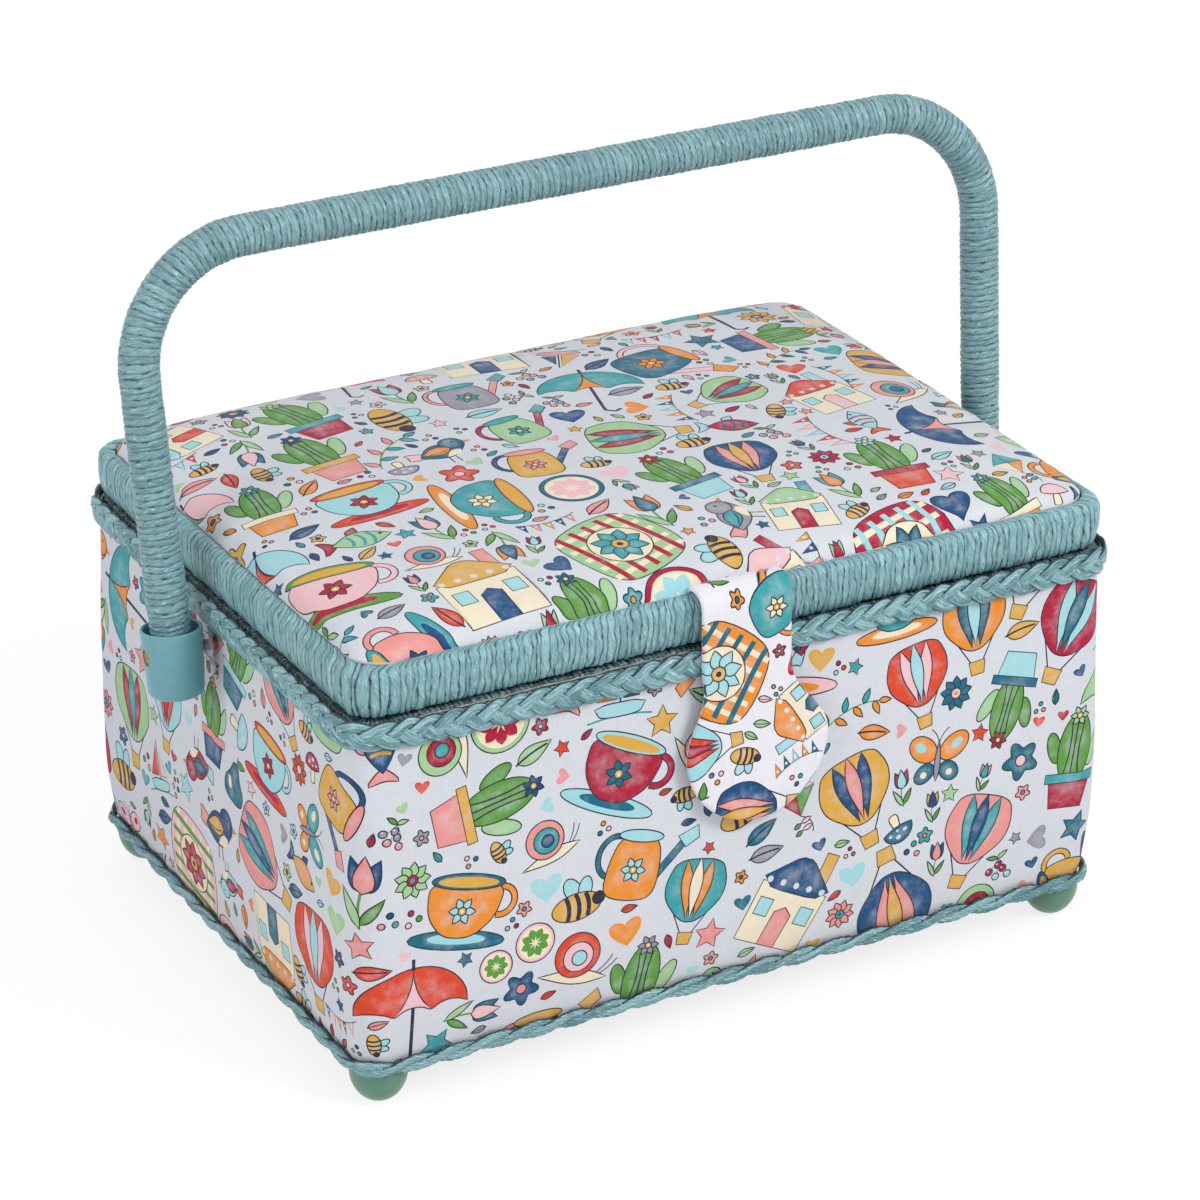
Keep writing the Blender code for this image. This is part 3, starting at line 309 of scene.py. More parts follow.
def grid(n_u: int, n_v: int, wrap_u: bool = False, wrap_v: bool = False) -> Arrays:
    """Faces of a grid of points stored row by row, u outermost.

    With u along a path and v up an outward face's left-hand side, the faces point outwards.

    Args:
        n_u: Points along u.
        n_v: Points along v.
        wrap_u: Whether the last row joins the first.
        wrap_v: Whether the last column joins the first.

    Returns:
        The faces, and for each of their corners its index in a table of (n_u + 1) by (n_v + 1) places.
    """
    u, v = np.meshgrid(
        np.arange(n_u if wrap_u else n_u - 1), np.arange(n_v if wrap_v else n_v - 1), indexing="ij"
    )
    corners = ((u, v), (u + 1, v), (u + 1, v + 1), (u, v + 1))
    faces = np.stack([(a % n_u) * n_v + b % n_v for a, b in corners], -1).reshape(-1, 4)
    spots = np.stack([a * (n_v + 1) + b for a, b in corners], -1).reshape(-1)
    return faces, spots


def table(u: Array, v: Array) -> Array:
    """Pairs (u, v) for every place of a grid's table, as rows of two."""
    both = np.broadcast_arrays(u[:, None], v[None, :])
    return np.stack(both, -1).reshape(-1, 2)


def mesh_piece(
    name: str,
    points: Array,
    faces: Array | list[Array],
    uv: Array | None = None,
    colours: Array | None = None,
    strand: Array | None = None,
    sharp: float | None = None,
) -> Piece:
    """Puts arrays into a mesh object at the origin.

    Args:
        name: The piece's name.
        points: Places, as rows of three.
        faces: Index rows of three or four, or a list of such arrays.
        uv: One pair for each face corner, in metres on the cloth or along and across a strand.
        colours: One RGBA row for each face corner, for the print.
        strand: One RGBA row for each point: height over the groove, tint, and turn of the twist.
        sharp: Angle in degrees above which an edge stays sharp, or None for none.

    Returns:
        The object, linked to the scene.
    """
    groups = faces if isinstance(faces, list) else [faces]
    corners = np.concatenate([group.ravel() for group in groups]).astype(np.int32)
    totals = np.concatenate([np.full(len(group), group.shape[1]) for group in groups])
    starts = np.concatenate([[0], np.cumsum(totals)[:-1]]).astype(np.int32)
    data = bpy.data.meshes.new(name)
    data.vertices.add(points.reshape(-1, 3).shape[0])
    data.vertices.foreach_set("co", points.reshape(-1).astype(np.float32))
    data.loops.add(len(corners))
    data.loops.foreach_set("vertex_index", corners)
    data.polygons.add(len(totals))
    data.polygons.foreach_set("loop_start", starts)
    data.update(calc_edges=True)
    if uv is not None:
        data.uv_layers.new(name="Lay").uv.foreach_set("vector", uv.reshape(-1).astype(np.float32))
    if colours is not None:
        made = data.attributes.new("Print", "FLOAT_COLOR", "CORNER")
        made.data.foreach_set("color", colours.reshape(-1).astype(np.float32))
    if strand is not None:
        made = data.attributes.new("Strand", "FLOAT_COLOR", "POINT")
        made.data.foreach_set("color", strand.reshape(-1).astype(np.float32))
    data.shade_smooth()
    if sharp is not None:
        data.set_sharp_from_angle(angle=math.radians(sharp))
    made = bpy.data.objects.new(name, data)
    bpy.context.scene.collection.objects.link(made)
    return made


def baked(target: Piece, sharp: float | None = None) -> Piece:
    """Applies a piece's modifiers and removes its helpers.

    Args:
        target: The piece.
        sharp: Angle in degrees above which an edge stays sharp.

    Returns:
        The same object with its final mesh.
    """
    helpers = [change.object for change in target.modifiers if change.type == "BOOLEAN"]
    graph = bpy.context.evaluated_depsgraph_get()
    data = bpy.data.meshes.new_from_object(target.evaluated_get(graph))
    target.modifiers.clear()
    target.data = data
    for helper in helpers:
        bpy.data.objects.remove(helper, do_unlink=True)
    data.shade_smooth()
    if sharp is not None:
        data.set_sharp_from_angle(angle=math.radians(sharp))
    return target


def lathe(
    profile: Array, centre: Floats, axis: Floats, steps: int = 48, closed: bool = False
) -> tuple[Array, list[Array]]:
    """Turns a profile round an axis: each (radius, height) becomes a ring, and a radius of 0 one point.

    Args:
        profile: Rows of radius and height, anticlockwise with the axis on the left of the page.
        centre: Where height 0 is.
        axis: The axis's direction.
        steps: Points round each ring.
        closed: Whether the profile's end joins its start.

    Returns:
        The points and the groups of faces.
    """
    profile = np.asarray(profile, float)
    turn = Vector((0, 0, 1)).rotation_difference(Vector(axis)).to_matrix()
    angle = math.tau * np.arange(steps) / steps
    points, rings, count = [], [], 0
    for radius, height in profile:
        if radius < 1e-9:
            points.append(np.array([[0, 0, height]]))
            rings.append(np.full(steps, count))
            count += 1
            continue
        points.append(np.stack([radius * np.cos(angle), radius * np.sin(angle), np.full(steps, height)], -1))
        rings.append(count + np.arange(steps))
        count += steps
    quads, tris = [], []
    pairs = list(zip(rings, rings[1:] + rings[:1])) if closed else list(zip(rings, rings[1:]))
    for low, high in pairs:
        low_next, high_next = np.roll(low, -1), np.roll(high, -1)
        if low[0] == low[1]:
            tris.append(np.stack([low, high_next, high], -1))
        elif high[0] == high[1]:
            tris.append(np.stack([low, low_next, high], -1))
        else:
            quads.append(np.stack([low, low_next, high_next, high], -1))
    placed = np.concatenate(points) @ np.array(turn).T + np.asarray(centre, float)
    groups = [np.concatenate(group) for group in (quads, tris) if group]
    return placed, groups


def arc(radius: float, centre: Floats, start: float, end: float, steps: int) -> list[Pair]:
    """Points of a circle's arc about (u, v) between two angles in degrees."""
    angles = np.radians(np.linspace(start, end, steps + 1))
    return [(centre[0] + radius * math.cos(a), centre[1] + radius * math.sin(a)) for a in angles]


class Wire:
    """A shader socket that carries a number: Python's operators on it add Math nodes."""

    def __init__(self, tree: "Tree", socket: bpy.types.NodeSocket) -> None:
        """Wraps a socket of this tree."""
        self.tree = tree
        self.socket = socket

    def __add__(self, other: "Wire | float") -> "Wire":
        """Adds."""
        return self.tree.maths("ADD", self, other)

    __radd__ = __add__

    def __sub__(self, other: "Wire | float") -> "Wire":
        """Subtracts."""
        return self.tree.maths("SUBTRACT", self, other)

    def __rsub__(self, other: float) -> "Wire":
        """Subtracts from a number."""
        return self.tree.maths("SUBTRACT", other, self)

    def __mul__(self, other: "Wire | float") -> "Wire":
        """Multiplies."""
        return self.tree.maths("MULTIPLY", self, other)

    __rmul__ = __mul__

    def __gt__(self, other: float) -> "Wire":
        """Is 1 where it is greater, and 0 elsewhere."""
        return self.tree.maths("GREATER_THAN", self, other)


class Tree:
    """The nodes of a new material or world, added by one method."""

    def __init__(self, name: str, world: bool = False) -> None:
        """Starts an empty material of this name, or a world."""
        self.owner = (bpy.data.worlds if world else bpy.data.materials).new(name)
        self.owner.use_nodes = True
        self.nodes, self.links = self.owner.node_tree.nodes, self.owner.node_tree.links
        self.nodes.clear()
        self.output = self.nodes.new("ShaderNodeOutputWorld" if world else "ShaderNodeOutputMaterial")

    def node(
        self, kind: str, settings: dict | None = None, inputs: dict | None = None, output: int | str = 0
    ) -> Wire:
        """Adds a node.

        Args:
            kind: The node's type.
            settings: Its properties, set first.
            inputs: Values or wires for its sockets, by name or index.
            output: The socket that is wanted.

        Returns:
            That output.
        """
        made = self.nodes.new(kind)
        for key, value in (settings or {}).items():
            setattr(made, key, value)
        for key, value in (inputs or {}).items():
            if isinstance(value, Wire):
                self.links.new(value.socket, made.inputs[key])
            else:
                made.inputs[key].default_value = value
        return Wire(self, made.outputs[output])

    def maths(self, operation: str, *operands: Wire | float) -> Wire:
        """Adds one Math node with these operands."""
        return self.node("ShaderNodeMath", {"operation": operation}, dict(enumerate(operands)))

    def mix(self, share: Wire | float, first: object, second: object, blend: str = "MIX") -> Wire:
        """Mixes two colours."""
        settings = {"data_type": "RGBA", "blend_type": blend}
        return self.node("ShaderNodeMix", settings, {0: share, 6: first, 7: second}, 2)

    def grey(self, value: Wire) -> Wire:
        """A number as a grey colour, for a Mix that multiplies."""
        return self.node("ShaderNodeCombineColor", {}, {0: value, 1: value, 2: value})

    def ease(self, value: Wire, low: float, high: float, start: float = 0.0, end: float = 1.0) -> Wire:
        """Maps a number smoothly from one span to another."""
        settings = {"interpolation_type": "SMOOTHSTEP"}
        return self.node("ShaderNodeMapRange", settings, {0: value, 1: low, 2: high, 3: start, 4: end})

    def stretched(self, vector: Wire, scale: Floats) -> Wire:
        """A vector times a scale for each axis."""
        return self.node("ShaderNodeVectorMath", {"operation": "MULTIPLY"}, {0: vector, 1: scale})

    def noise(self, vector: Wire, scale: float, detail: float = 2.0, rough: float = 0.5) -> Wire:
        """A noise texture's number."""
        inputs = {"Vector": vector, "Scale": scale, "Detail": detail, "Roughness": rough}
        return self.node("ShaderNodeTexNoise", {}, inputs, "Fac")

    def lay(self) -> Wire:
        """The piece's own UV map."""
        return self.node("ShaderNodeUVMap", {"uv_map": "Lay"})

    def place(self) -> Wire:
        """Object coordinates."""
        return self.node("ShaderNodeTexCoord", {}, {}, "Object")

    def attribute(self, name: str, output: str) -> Wire:
        """One output of a mesh attribute."""
        settings = {"attribute_type": "GEOMETRY", "attribute_name": name}
        return self.node("ShaderNodeAttribute", settings, {}, output)

    def bump(self, height: Wire, distance: float, strength: float = 1.0) -> Wire:
        """A normal from a height."""
        inputs = {"Height": height, "Distance": distance, "Strength": strength}
        return self.node("ShaderNodeBump", {}, inputs)

    def white_seen(self) -> Wire:
        """1 for rays that see the backdrop's white: the camera's, and those off metal and through glass."""
        rays = ("Is Camera Ray", "Is Glossy Ray", "Is Transmission Ray")
        camera, glossy, clear = (self.node("ShaderNodeLightPath", output=ray) for ray in rays)
        return self.maths("MAXIMUM", self.maths("MAXIMUM", camera, glossy), clear)

    def close(self, shader: Wire) -> bpy.types.Material | bpy.types.World:
        """Ends the tree in this shader."""
        self.links.new(shader.socket, self.output.inputs["Surface"])
        return self.owner

    def surface(self, **inputs: object) -> bpy.types.Material:
        """Ends the tree in one Principled shader; underscores in a socket's name stand for spaces."""
        named = {key.replace("_", " "): value for key, value in inputs.items()}
        return self.close(self.node("ShaderNodeBsdfPrincipled", {}, named))


@dataclass(frozen=True)
class PrintedCloth:
    """Plain-woven cotton with a printed design: watery fills from the print attribute, uneven yarns both
    ways, and a matt face."""

    name: str = "printed cotton"
    yarn: float = 0.00042
    slub: float = 0.0070
    yarn_contrast: float = 0.17
    wash: float = 0.34
    white: Colour = Ink.CLOTH.value

    def material(self) -> bpy.types.Material:
        """Builds the cloth: alpha is how near a fill's edge is, 0 off the print and 1 at the edge."""
        tree = Tree(self.name)
        lay = tree.lay()
        ink = tree.attribute("Print", "Color")
        edge = tree.attribute("Print", "Alpha")
        inked = edge > 0.02
        blotch = tree.noise(lay, 210.0, 3.0, 0.55)
        fine = tree.noise(lay, 900.0, 2.0)
        pale = inked * ((1 - edge) * self.wash + (blotch - 0.47) * 0.95 + (fine - 0.5) * 0.22)
        pale = tree.ease(pale, 0.0, 0.85, 0.0, 0.66)
        colour = tree.mix(inked, linear(self.white), tree.mix(pale, ink, linear(self.white)))
        along = tree.noise(tree.stretched(lay, (1 / self.slub, 1 / self.yarn, 1)), 1.0, 2.0, 0.6)
        across = tree.noise(tree.stretched(lay, (1 / self.yarn, 1 / self.slub, 1)), 1.0, 2.0, 0.6)
        yarns = (along + across) * 0.5
        soft = tree.noise(lay, 28.0, 2.0)
        tone = 1 + (yarns - 0.5) * (2 * self.yarn_contrast) + (soft - 0.5) * 0.05
        colour = tree.mix(1.0, colour, tree.grey(tone), "MULTIPLY")
        normal = tree.bump(yarns, 0.00022, 0.65)
        return tree.surface(
            Base_Color=colour, Roughness=0.88, Normal=normal, Sheen_Weight=0.12, Specular_IOR_Level=0.25
        )


@dataclass(frozen=True)
class PaperCord:
    """Twisted paper cord: a waxy, fibrous strand, with painted shade in its grooves and slits and painted
    highlights on its ridges.
    """

    name: str
    light: Colour
    deep: Colour
    # Painted shade: seam darkens each groove and groove darkens the slits between strands; glint is a painted
    # highlight.
    groove: Colour = (20, 36, 42)
    seam: Colour = (82, 116, 122)
    slit_along: float = 360.0
    slit_across: float = 640.0
    fibre_along: float = 110.0
    fibre_across: float = 4200.0
    groove_end: float = 0.24
    slit: float = 1.9
    slit_from: float = 0.55
    glint: Colour = (204, 230, 234)
    contrast: float = 0.80
    crease_turn: float = 0.42
    shine_from: float = 0.62
    ply_rate: float = 128.0
    roughness: float = 0.40

    def material(self) -> bpy.types.Material:
        """Builds the cord from the strand attribute: red is the height over the groove, which places the
        painted shade and highlights, green the tint and blue the turn of the twist. A strand's two plies part
        where the sine of the turn is near 0."""
        tree = Tree(self.name)
        lay = tree.lay()
        parts = tree.attribute("Strand", "Color")
        ridge, tint, turn = (tree.node("ShaderNodeSeparateColor", {}, {0: parts}, part) for part in range(3))
        fibre = tree.noise(tree.stretched(lay, (self.fibre_along, self.fibre_across, 1)), 1.0, 3.0, 0.6)
        fleck = tree.noise(tree.stretched(lay, (300.0, 1500.0, 1)), 1.0, 2.0, 0.5)
        gaps = tree.noise(tree.stretched(lay, (self.slit_along, self.slit_across, 1)), 1.0, 1.0, 0.5)
        along = tree.node("ShaderNodeSeparateXYZ", {}, {0: lay}, 0)
        phase = turn * 2 + along * self.ply_rate
        ply = tree.maths("ABSOLUTE", tree.maths("SINE", phase * math.pi))
        split = tree.ease(ply + (gaps - 0.5) * 1.2, 0.04, 0.50)
        height = ridge * (split * 0.62 + 0.38)
        turned = tree.node(
            "ShaderNodeVectorRotate", {"rotation_type": "Z_AXIS"}, {"Vector": lay, "Angle": self.crease_turn}
        )
        crease = tree.noise(tree.stretched(turned, (430.0, 2100.0, 1)), 1.0, 2.0, 0.5)
        share = tree.ease(tint + (fleck - 0.5) * 0.9, 0.1, 0.9)
        body = tree.mix(share, linear(self.deep), linear(self.light))
        tone = 1 + (fibre - 0.5) * self.contrast + (fleck - 0.5) * 0.35 + (crease - 0.5) * 0.75
        body = tree.mix(1.0, body, tree.grey(tone), "MULTIPLY")
        # Painted highlight: glints on the ridges, mixed towards the glint colour.
        shine = tree.noise(tree.stretched(lay, (330.0, 1250.0, 1)), 1.0, 1.0, 0.5)
        shine = shine * 0.5 + crease * 0.5 + height * 0.10
        shine = tree.ease(shine, self.shine_from, self.shine_from + 0.14, 0.0, 0.6)
        body = tree.mix(shine, body, linear(self.glint))
        # Painted shade: the seam colour in the grooves, then the groove colour in the slits between strands.
        body = tree.mix(tree.ease(height, 0.0, self.groove_end), linear(self.seam), body)
        open_share = tree.ease(height - (gaps - self.slit_from) * self.slit, -0.10, 0.22)
        colour = tree.mix(open_share, linear(self.groove), body)
        normal = tree.bump(fibre * 0.6 + crease * 1.0 + fleck * 0.4 + split * 0.7, 0.00032, 0.9)
        rough = tree.ease(fibre, 0.25, 0.8, self.roughness - 0.14, self.roughness + 0.14)
        return tree.surface(Base_Color=colour, Roughness=rough, Normal=normal, Specular_IOR_Level=0.60)


@dataclass(frozen=True)
class Grained:
    """A plain stuff with its own grain: two close colours under a noise, a roughness span and a bump."""

    name: str
    first: Colour
    second: Colour
    scale: float = 300.0
    stretch: tuple[float, float, float] = (1.0, 1.0, 1.0)
    detail: float = 3.0
    rough: Pair = (0.4, 0.5)
    depth: float = 0.00003
    metallic: float = 0.0
    coat: float = 0.0
    sheen: float = 0.0

    def material(self) -> bpy.types.Material:
        """Builds the stuff on Object coordinates."""
        tree = Tree(self.name)
        at = tree.stretched(tree.place(), self.stretch)
        grain = tree.noise(at, self.scale, self.detail, 0.6)
        broad = tree.noise(tree.place(), 22.0, 2.0)
        share = tree.ease(grain * 0.7 + broad * 0.3, 0.3, 0.7)
        colour = tree.mix(share, linear(self.first), linear(self.second))
        rough = tree.ease(grain, 0.3, 0.7, *self.rough)
        return tree.surface(
            Base_Color=colour,
            Roughness=rough,
            Normal=tree.bump(grain, self.depth, 0.6),
            Metallic=self.metallic,
            Coat_Weight=self.coat,
            Sheen_Weight=self.sheen,
        )


@dataclass(frozen=True)
class Satin:
    """A satin lining on its own UV: fine floats across the cloth and soft creases."""

    name: str
    light: Colour
    deep: Colour

    def material(self) -> bpy.types.Material:
        """Builds the lining."""
        tree = Tree(self.name)
        lay = tree.lay()
        floats = tree.noise(tree.stretched(lay, (240.0, 3200.0, 1)), 1.0, 2.0, 0.6)
        soft = tree.noise(lay, 40.0, 3.0)
        share = tree.ease(soft * 0.6 + floats * 0.4, 0.3, 0.7)
        colour = tree.mix(share, linear(self.deep), linear(self.light))
        rough = tree.ease(floats, 0.3, 0.7, 0.42, 0.56)
        normal = tree.bump(floats * 0.35 + soft * 0.65, 0.0003, 0.5)
        return tree.surface(Base_Color=colour, Roughness=rough, Normal=normal, Sheen_Weight=0.25)


@dataclass(frozen=True)
class ClearBead:
    """A clear moulded bead, a little cloudy, that shows what is behind it."""

    name: str = "clear bead"

    def material(self) -> bpy.types.Material:
        """Builds the bead."""
        tree = Tree(self.name)
        cloud = tree.noise(tree.place(), 700.0, 2.0)
        colour = tree.mix(cloud, linear((226, 220, 228)), linear((196, 190, 204)))
        return tree.surface(
            Base_Color=colour, Roughness=0.07, IOR=1.49, Transmission_Weight=0.66, Coat_Weight=0.7
        )


@dataclass
class Finishes:
    """Every finish of the basket with its material slot, each made a material on its first use."""

    made: dict[str, bpy.types.Material] = field(default_factory=dict)

    PLASTIC = {"scale": 900.0, "depth": 0.00001}
    METAL = {"scale": 1500.0, "stretch": (0.3, 1, 1), "depth": 0.00001, "metallic": 1.0}
    # groove and seam are each cord's painted shade colours for its slits and its grooves.
    PALE = {"groove": (40, 52, 56), "seam": (96, 104, 104), "ply_rate": 0.0}
    SHADE = {"groove": (10, 17, 20), "seam": (24, 38, 42)}
    SHADED = {**SHADE, "slit_from": 0.46, "shine_from": 0.54, "ply_rate": 0.0}
    BRAID = {"groove": (22, 40, 46), "seam": (60, 92, 98), "contrast": 1.5, "slit_from": 0.52}
    HANDLE = {"groove": (58, 84, 90), "seam": (92, 127, 134)}
    RIM = {"groove": (54, 80, 86), "seam": (100, 137, 143)}
    STUFFS = {
        "cloth": (PrintedCloth(), Slot.PRINT),
        # The tab's cotton is the same print on a lighter white: painted light for the tab standing out
        # towards the lamps.
        "tab cloth": (PrintedCloth("tab cotton", white=(231, 229, 235)), Slot.PRINT),
        "handle cord": (PaperCord("handle cord", (137, 178, 185), (102, 145, 153), **HANDLE), Slot.CORD),
        "rim cord": (PaperCord("rim cord", (149, 194, 200), (110, 158, 165), **RIM), Slot.CORD),
        "braid cord": (PaperCord("braid cord", (142, 186, 192), (92, 139, 147), **BRAID), Slot.CORD),
        # The shaded cord is a darker copy of the cord: painted shade for the dark gap under the rim.
        "shaded cord": (PaperCord("shaded cord", (98, 134, 140), (50, 73, 79), **SHADED), Slot.CORD),
        "thread": (PaperCord("pale thread", (198, 202, 200), (128, 140, 142), **PALE), Slot.CORD),
        "lining": (Satin("lining satin", (120, 176, 182), (86, 148, 156)), Slot.LINING),
        "cup": (
            Grained(
                "cup plastic", (111, 166, 177), (103, 157, 169), rough=(0.36, 0.46), coat=0.08, **PLASTIC
            ),
            Slot.CUP,
        ),
        "foot": (
            Grained("foot plastic", (90, 138, 116), (84, 131, 109), rough=(0.30, 0.40), coat=0.12, **PLASTIC),
            Slot.FOOT,
        ),
        "tray": (
            Grained(
                "tray plastic", (226, 230, 234), (218, 223, 228), 800.0, rough=(0.26, 0.36), depth=0.00001
            ),
            Slot.TRAY,
        ),
        "clear": (ClearBead(), Slot.CLEAR),
        "wadding": (
            Grained(
                "polyester wadding", (240, 240, 236), (222, 222, 218), 1400.0, (1, 1, 0.3), 5.0,
                rough=(0.9, 1.0), depth=0.0006,
            ),
            Slot.WADDING,
        ),
        # Grey board in its own grey-brown, darkened as painted shade for the gap under the rim where its
        # edges show.
        "board": (
            Grained("grey board", (92, 84, 74), (70, 64, 58), 1100.0, (1, 1, 0.25), 5.0, (0.78, 0.9), 0.0001),
            Slot.BOARD,
        ),
        "base": (
            Grained(
                "base felt", (34, 34, 38), (20, 20, 24), 1800.0, detail=4.0, rough=(0.88, 0.98), depth=0.0002,
                sheen=0.2,
            ),
            Slot.BASE,
        ),
        "brass": (
            Grained("aged brass", (176, 136, 82), (140, 104, 58), rough=(0.26, 0.4), **METAL),
            Slot.BRASS,
        ),
        "steel": (
            Grained("plain steel", (196, 196, 200), (168, 168, 174), rough=(0.28, 0.42), **METAL),
            Slot.STEEL,
        ),
        "magnet": (
            Grained(
                "nickel magnet", (176, 176, 182), (146, 146, 154), rough=(0.3, 0.45), metallic=1.0, **PLASTIC
            ),
            Slot.MAGNET,
        ),
    }

    def get(self, name: str) -> bpy.types.Material:
        """The named finish's material."""
        if name not in self.made:
            self.made[name] = self.STUFFS[name][0].material()
        return self.made[name]

    def dress(self, target: Piece, name: str) -> None:
        """Gives a piece the named finish."""
        target.data.materials.clear()
        target.data.materials.append(self.get(name))


FINISHES = Finishes()


def finish_piece(target: Piece, finish: str, body: Body, *nodes: str, fill: float | None = None) -> Piece:
    """Dresses a piece, hangs it on its body and hides the CAD nodes it stands for.

    Args:
        target: The piece.
        finish: Its finish.
        body: The body it rides on.
        nodes: The CAD nodes it stands for.
        fill: How firmly it is filled, where it is padded; not used.

    Returns:
        The piece.
    """
    FINISHES.dress(target, finish)
    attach(target, body.value)
    if nodes:
        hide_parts(*nodes)
    data = target.data
    LOG.info("%s: %d points, %d faces, %s", target.name, len(data.vertices), len(data.polygons), finish)
    return target


@dataclass(frozen=True)
class Patch:
    """One shape of a motif: a closed outline, its ink or its hue's number, and whether it has a line."""

    outline: Array
    ink: Hue
    lined: bool = True


def oval(x: float, y: float, rx: float, ry: float | None = None, turn: float = 0.0, count: int = 22) -> Array:
    """An ellipse about (x, y), turned by this many degrees."""
    angle = math.tau * np.arange(count) / count
    u, v = rx * np.cos(angle), (rx if ry is None else ry) * np.sin(angle)
    cos, sin = math.cos(math.radians(turn)), math.sin(math.radians(turn))
    return np.stack([x + u * cos - v * sin, y + u * sin + v * cos], -1)


def petal(start: Floats, end: Floats, width: float, belly: float = 0.75, count: int = 9) -> Array:
    """A petal or leaf between two points: its half-width is the width times the sine of a bent share."""
    share = np.linspace(0, 1, count)
    half = 0.5 * width * np.sin(math.pi * share**belly)
    first, last = np.asarray(start, float), np.asarray(end, float)
    axis = last - first
    across = np.array([-axis[1], axis[0]]) / np.hypot(*axis)
    middle = first + share[:, None] * axis
    left, right = middle + half[:, None] * across, middle - half[:, None] * across
    return np.concatenate([right, left[-2:0:-1]])


def strip(points: Sequence[Floats], width: float) -> Array:
    """A band of even width along a line of points, with its ends cut square."""
    line = np.asarray(points, float)
    tangent = np.gradient(line, axis=0)
    tangent /= np.hypot(tangent[:, 0], tangent[:, 1])[:, None]
    across = np.stack([-tangent[:, 1], tangent[:, 0]], -1) * width / 2
    return np.concatenate([line - across, (line + across)[::-1]])


def bow(start: Floats, end: Floats, sag: float, count: int = 9) -> Array:
    """Points of a curved line between two points: the straight line plus the sag times a parabola."""
    share = np.linspace(0, 1, count)
    first, last = np.asarray(start, float), np.asarray(end, float)
    axis = last - first
    across = np.array([-axis[1], axis[0]])
    return first + share[:, None] * axis + (4 * share * (1 - share) * sag)[:, None] * across


def bend(x: float, y: float, rx: float, ry: float, start: float, end: float, count: int) -> Array:
    """Points of an ellipse about (x, y) between two angles in radians."""
    return np.array([(x + rx * math.cos(a), y + ry * math.sin(a)) for a in np.linspace(start, end, count)])


def disc(ink: Hue, *values: float, count: int = 22) -> Patch:
    """An oval with a line round it."""
    return Patch(oval(*values, count=count), ink)


def spot(ink: Hue, *values: float, count: int = 22) -> Patch:
    """An oval without a line."""
    return Patch(oval(*values, count=count), ink, False)


def leaf(ink: Hue, *values: Floats | float) -> Patch:
    """A petal with a line round it."""
    return Patch(petal(*values), ink)


def stem(points: Sequence[Floats], width: float, ink: Hue = Ink.LINE) -> Patch:
    """A band without a line."""
    return Patch(strip(points, width), ink, False)


def bent(
    start: Floats, end: Floats, sag: float, width: float, count: int = 9, ink: Hue = Ink.LINE
) -> Patch:
    """A curved band without a line."""
    return stem(bow(start, end, sag, count), width, ink)


def flat(ink: Hue, *points: Floats, rounds: int = 0) -> Patch:
    """A polygon whose corners are cut this often, each time at 22 hundredths of both sides."""
    outline = np.asarray(points, float)
    for _ in range(rounds):
        following = np.roll(outline, -1, axis=0)
        both = np.stack([outline * 0.78 + following * 0.22, outline * 0.22 + following * 0.78], 1)
        outline = both.reshape(-1, 2)
    return Patch(outline, ink)


def blossom(x: float, y: float, size: float, count: int, *inks: Hue) -> list[Patch]:
    """A flower of single petals round a two-ring eye."""
    made = []
    for angle in (math.tau * index / count for index in range(count)):
        reach = np.array([math.cos(angle), math.sin(angle)])
        made.append(leaf(inks[0], reach * 0.1 * size + (x, y), reach * 0.5 * size + (x, y), 0.27 * size))
    return [*made, disc(inks[1], x, y, 0.15 * size, count=14), spot(inks[2], x, y, 0.06 * size, count=10)]


def sprig() -> list[Patch]:
    """A bent stem with leaves on both sides."""
    line = bow((-0.42, -0.28), (0.44, 0.3), 0.12, 13)
    made = [stem(line, 0.022, Ink.GREEN)]
    for index, side in zip(range(1, 12, 2), (1, -1) * 3):
        along = line[index + 1] - line[index]
        across = np.array([-along[1], along[0]]) * side
        tip = line[index] + (along * 0.9 + across * 1.6) / np.hypot(*along) * 0.14
        made.append(leaf(0 if side > 0 else 1, line[index], tip, 0.11))
    return [*made, leaf(1, line[-1], line[-1] + (line[-1] - line[-2]) * 2.4, 0.1)]


def bunting() -> list[Patch]:
    """Five flags on a sagging line."""
    line = bow((-0.5, 0.14), (0.5, 0.14), -0.12, 16)
    made = [stem(line, 0.018)]
    for index in range(5):
        left, right = line[index * 3], line[index * 3 + 2]
        middle = (left + right) / 2
        made.append(flat(index % 3, left, middle + (0.0, -0.26), right))
        made.append(spot(Ink.CLOTH, *(middle + (0, -0.08)), 0.028, count=8))
    return made


def umbrella() -> list[Patch]:
    """An open umbrella in three gores."""
    starts = [-0.47 + 0.3133 * index for index in range(3)]
    ends = [-0.1567 + 0.3133 * index for index in range(3)]
    low = np.concatenate([bow((a, 0.02), (b, 0.02), 0.16, 6)[:-1] for a, b in zip(starts, ends)])
    gore = [bow((0.157, 0.02), (0, 0.42), 0.1, 6), bow((0, 0.42), (-0.157, 0.02), 0.1, 6)[1:]]
    scallop = bow((-0.157, 0.02), (0.157, 0.02), 0.16, 6)[1:-1]
    return [
        stem([(0.0, 0.1), (0.0, -0.38), (0.02, -0.45), (0.08, -0.48), (0.14, -0.44)], 0.03),
        Patch(np.concatenate([bend(0, 0.02, 0.47, 0.4, 0, math.pi, 17), low[1:]]), 0),
        Patch(np.concatenate([*gore, scallop]), 1),
        stem([(0, 0.4), (0, 0.5)], 0.03),
    ]


def citrus() -> list[Patch]:
    """A slice of fruit."""
    made = [disc(0, 0, 0, 0.5, count=28), spot(Ink.CREAM, 0, 0, 0.42, count=24)]
    for angle in (math.tau * index / 8 for index in range(8)):
        reach = np.array([math.cos(angle), math.sin(angle)])
        made.append(Patch(petal(reach * 0.05, reach * 0.38, 0.20, 1.35, 11), 1, False))
    return made


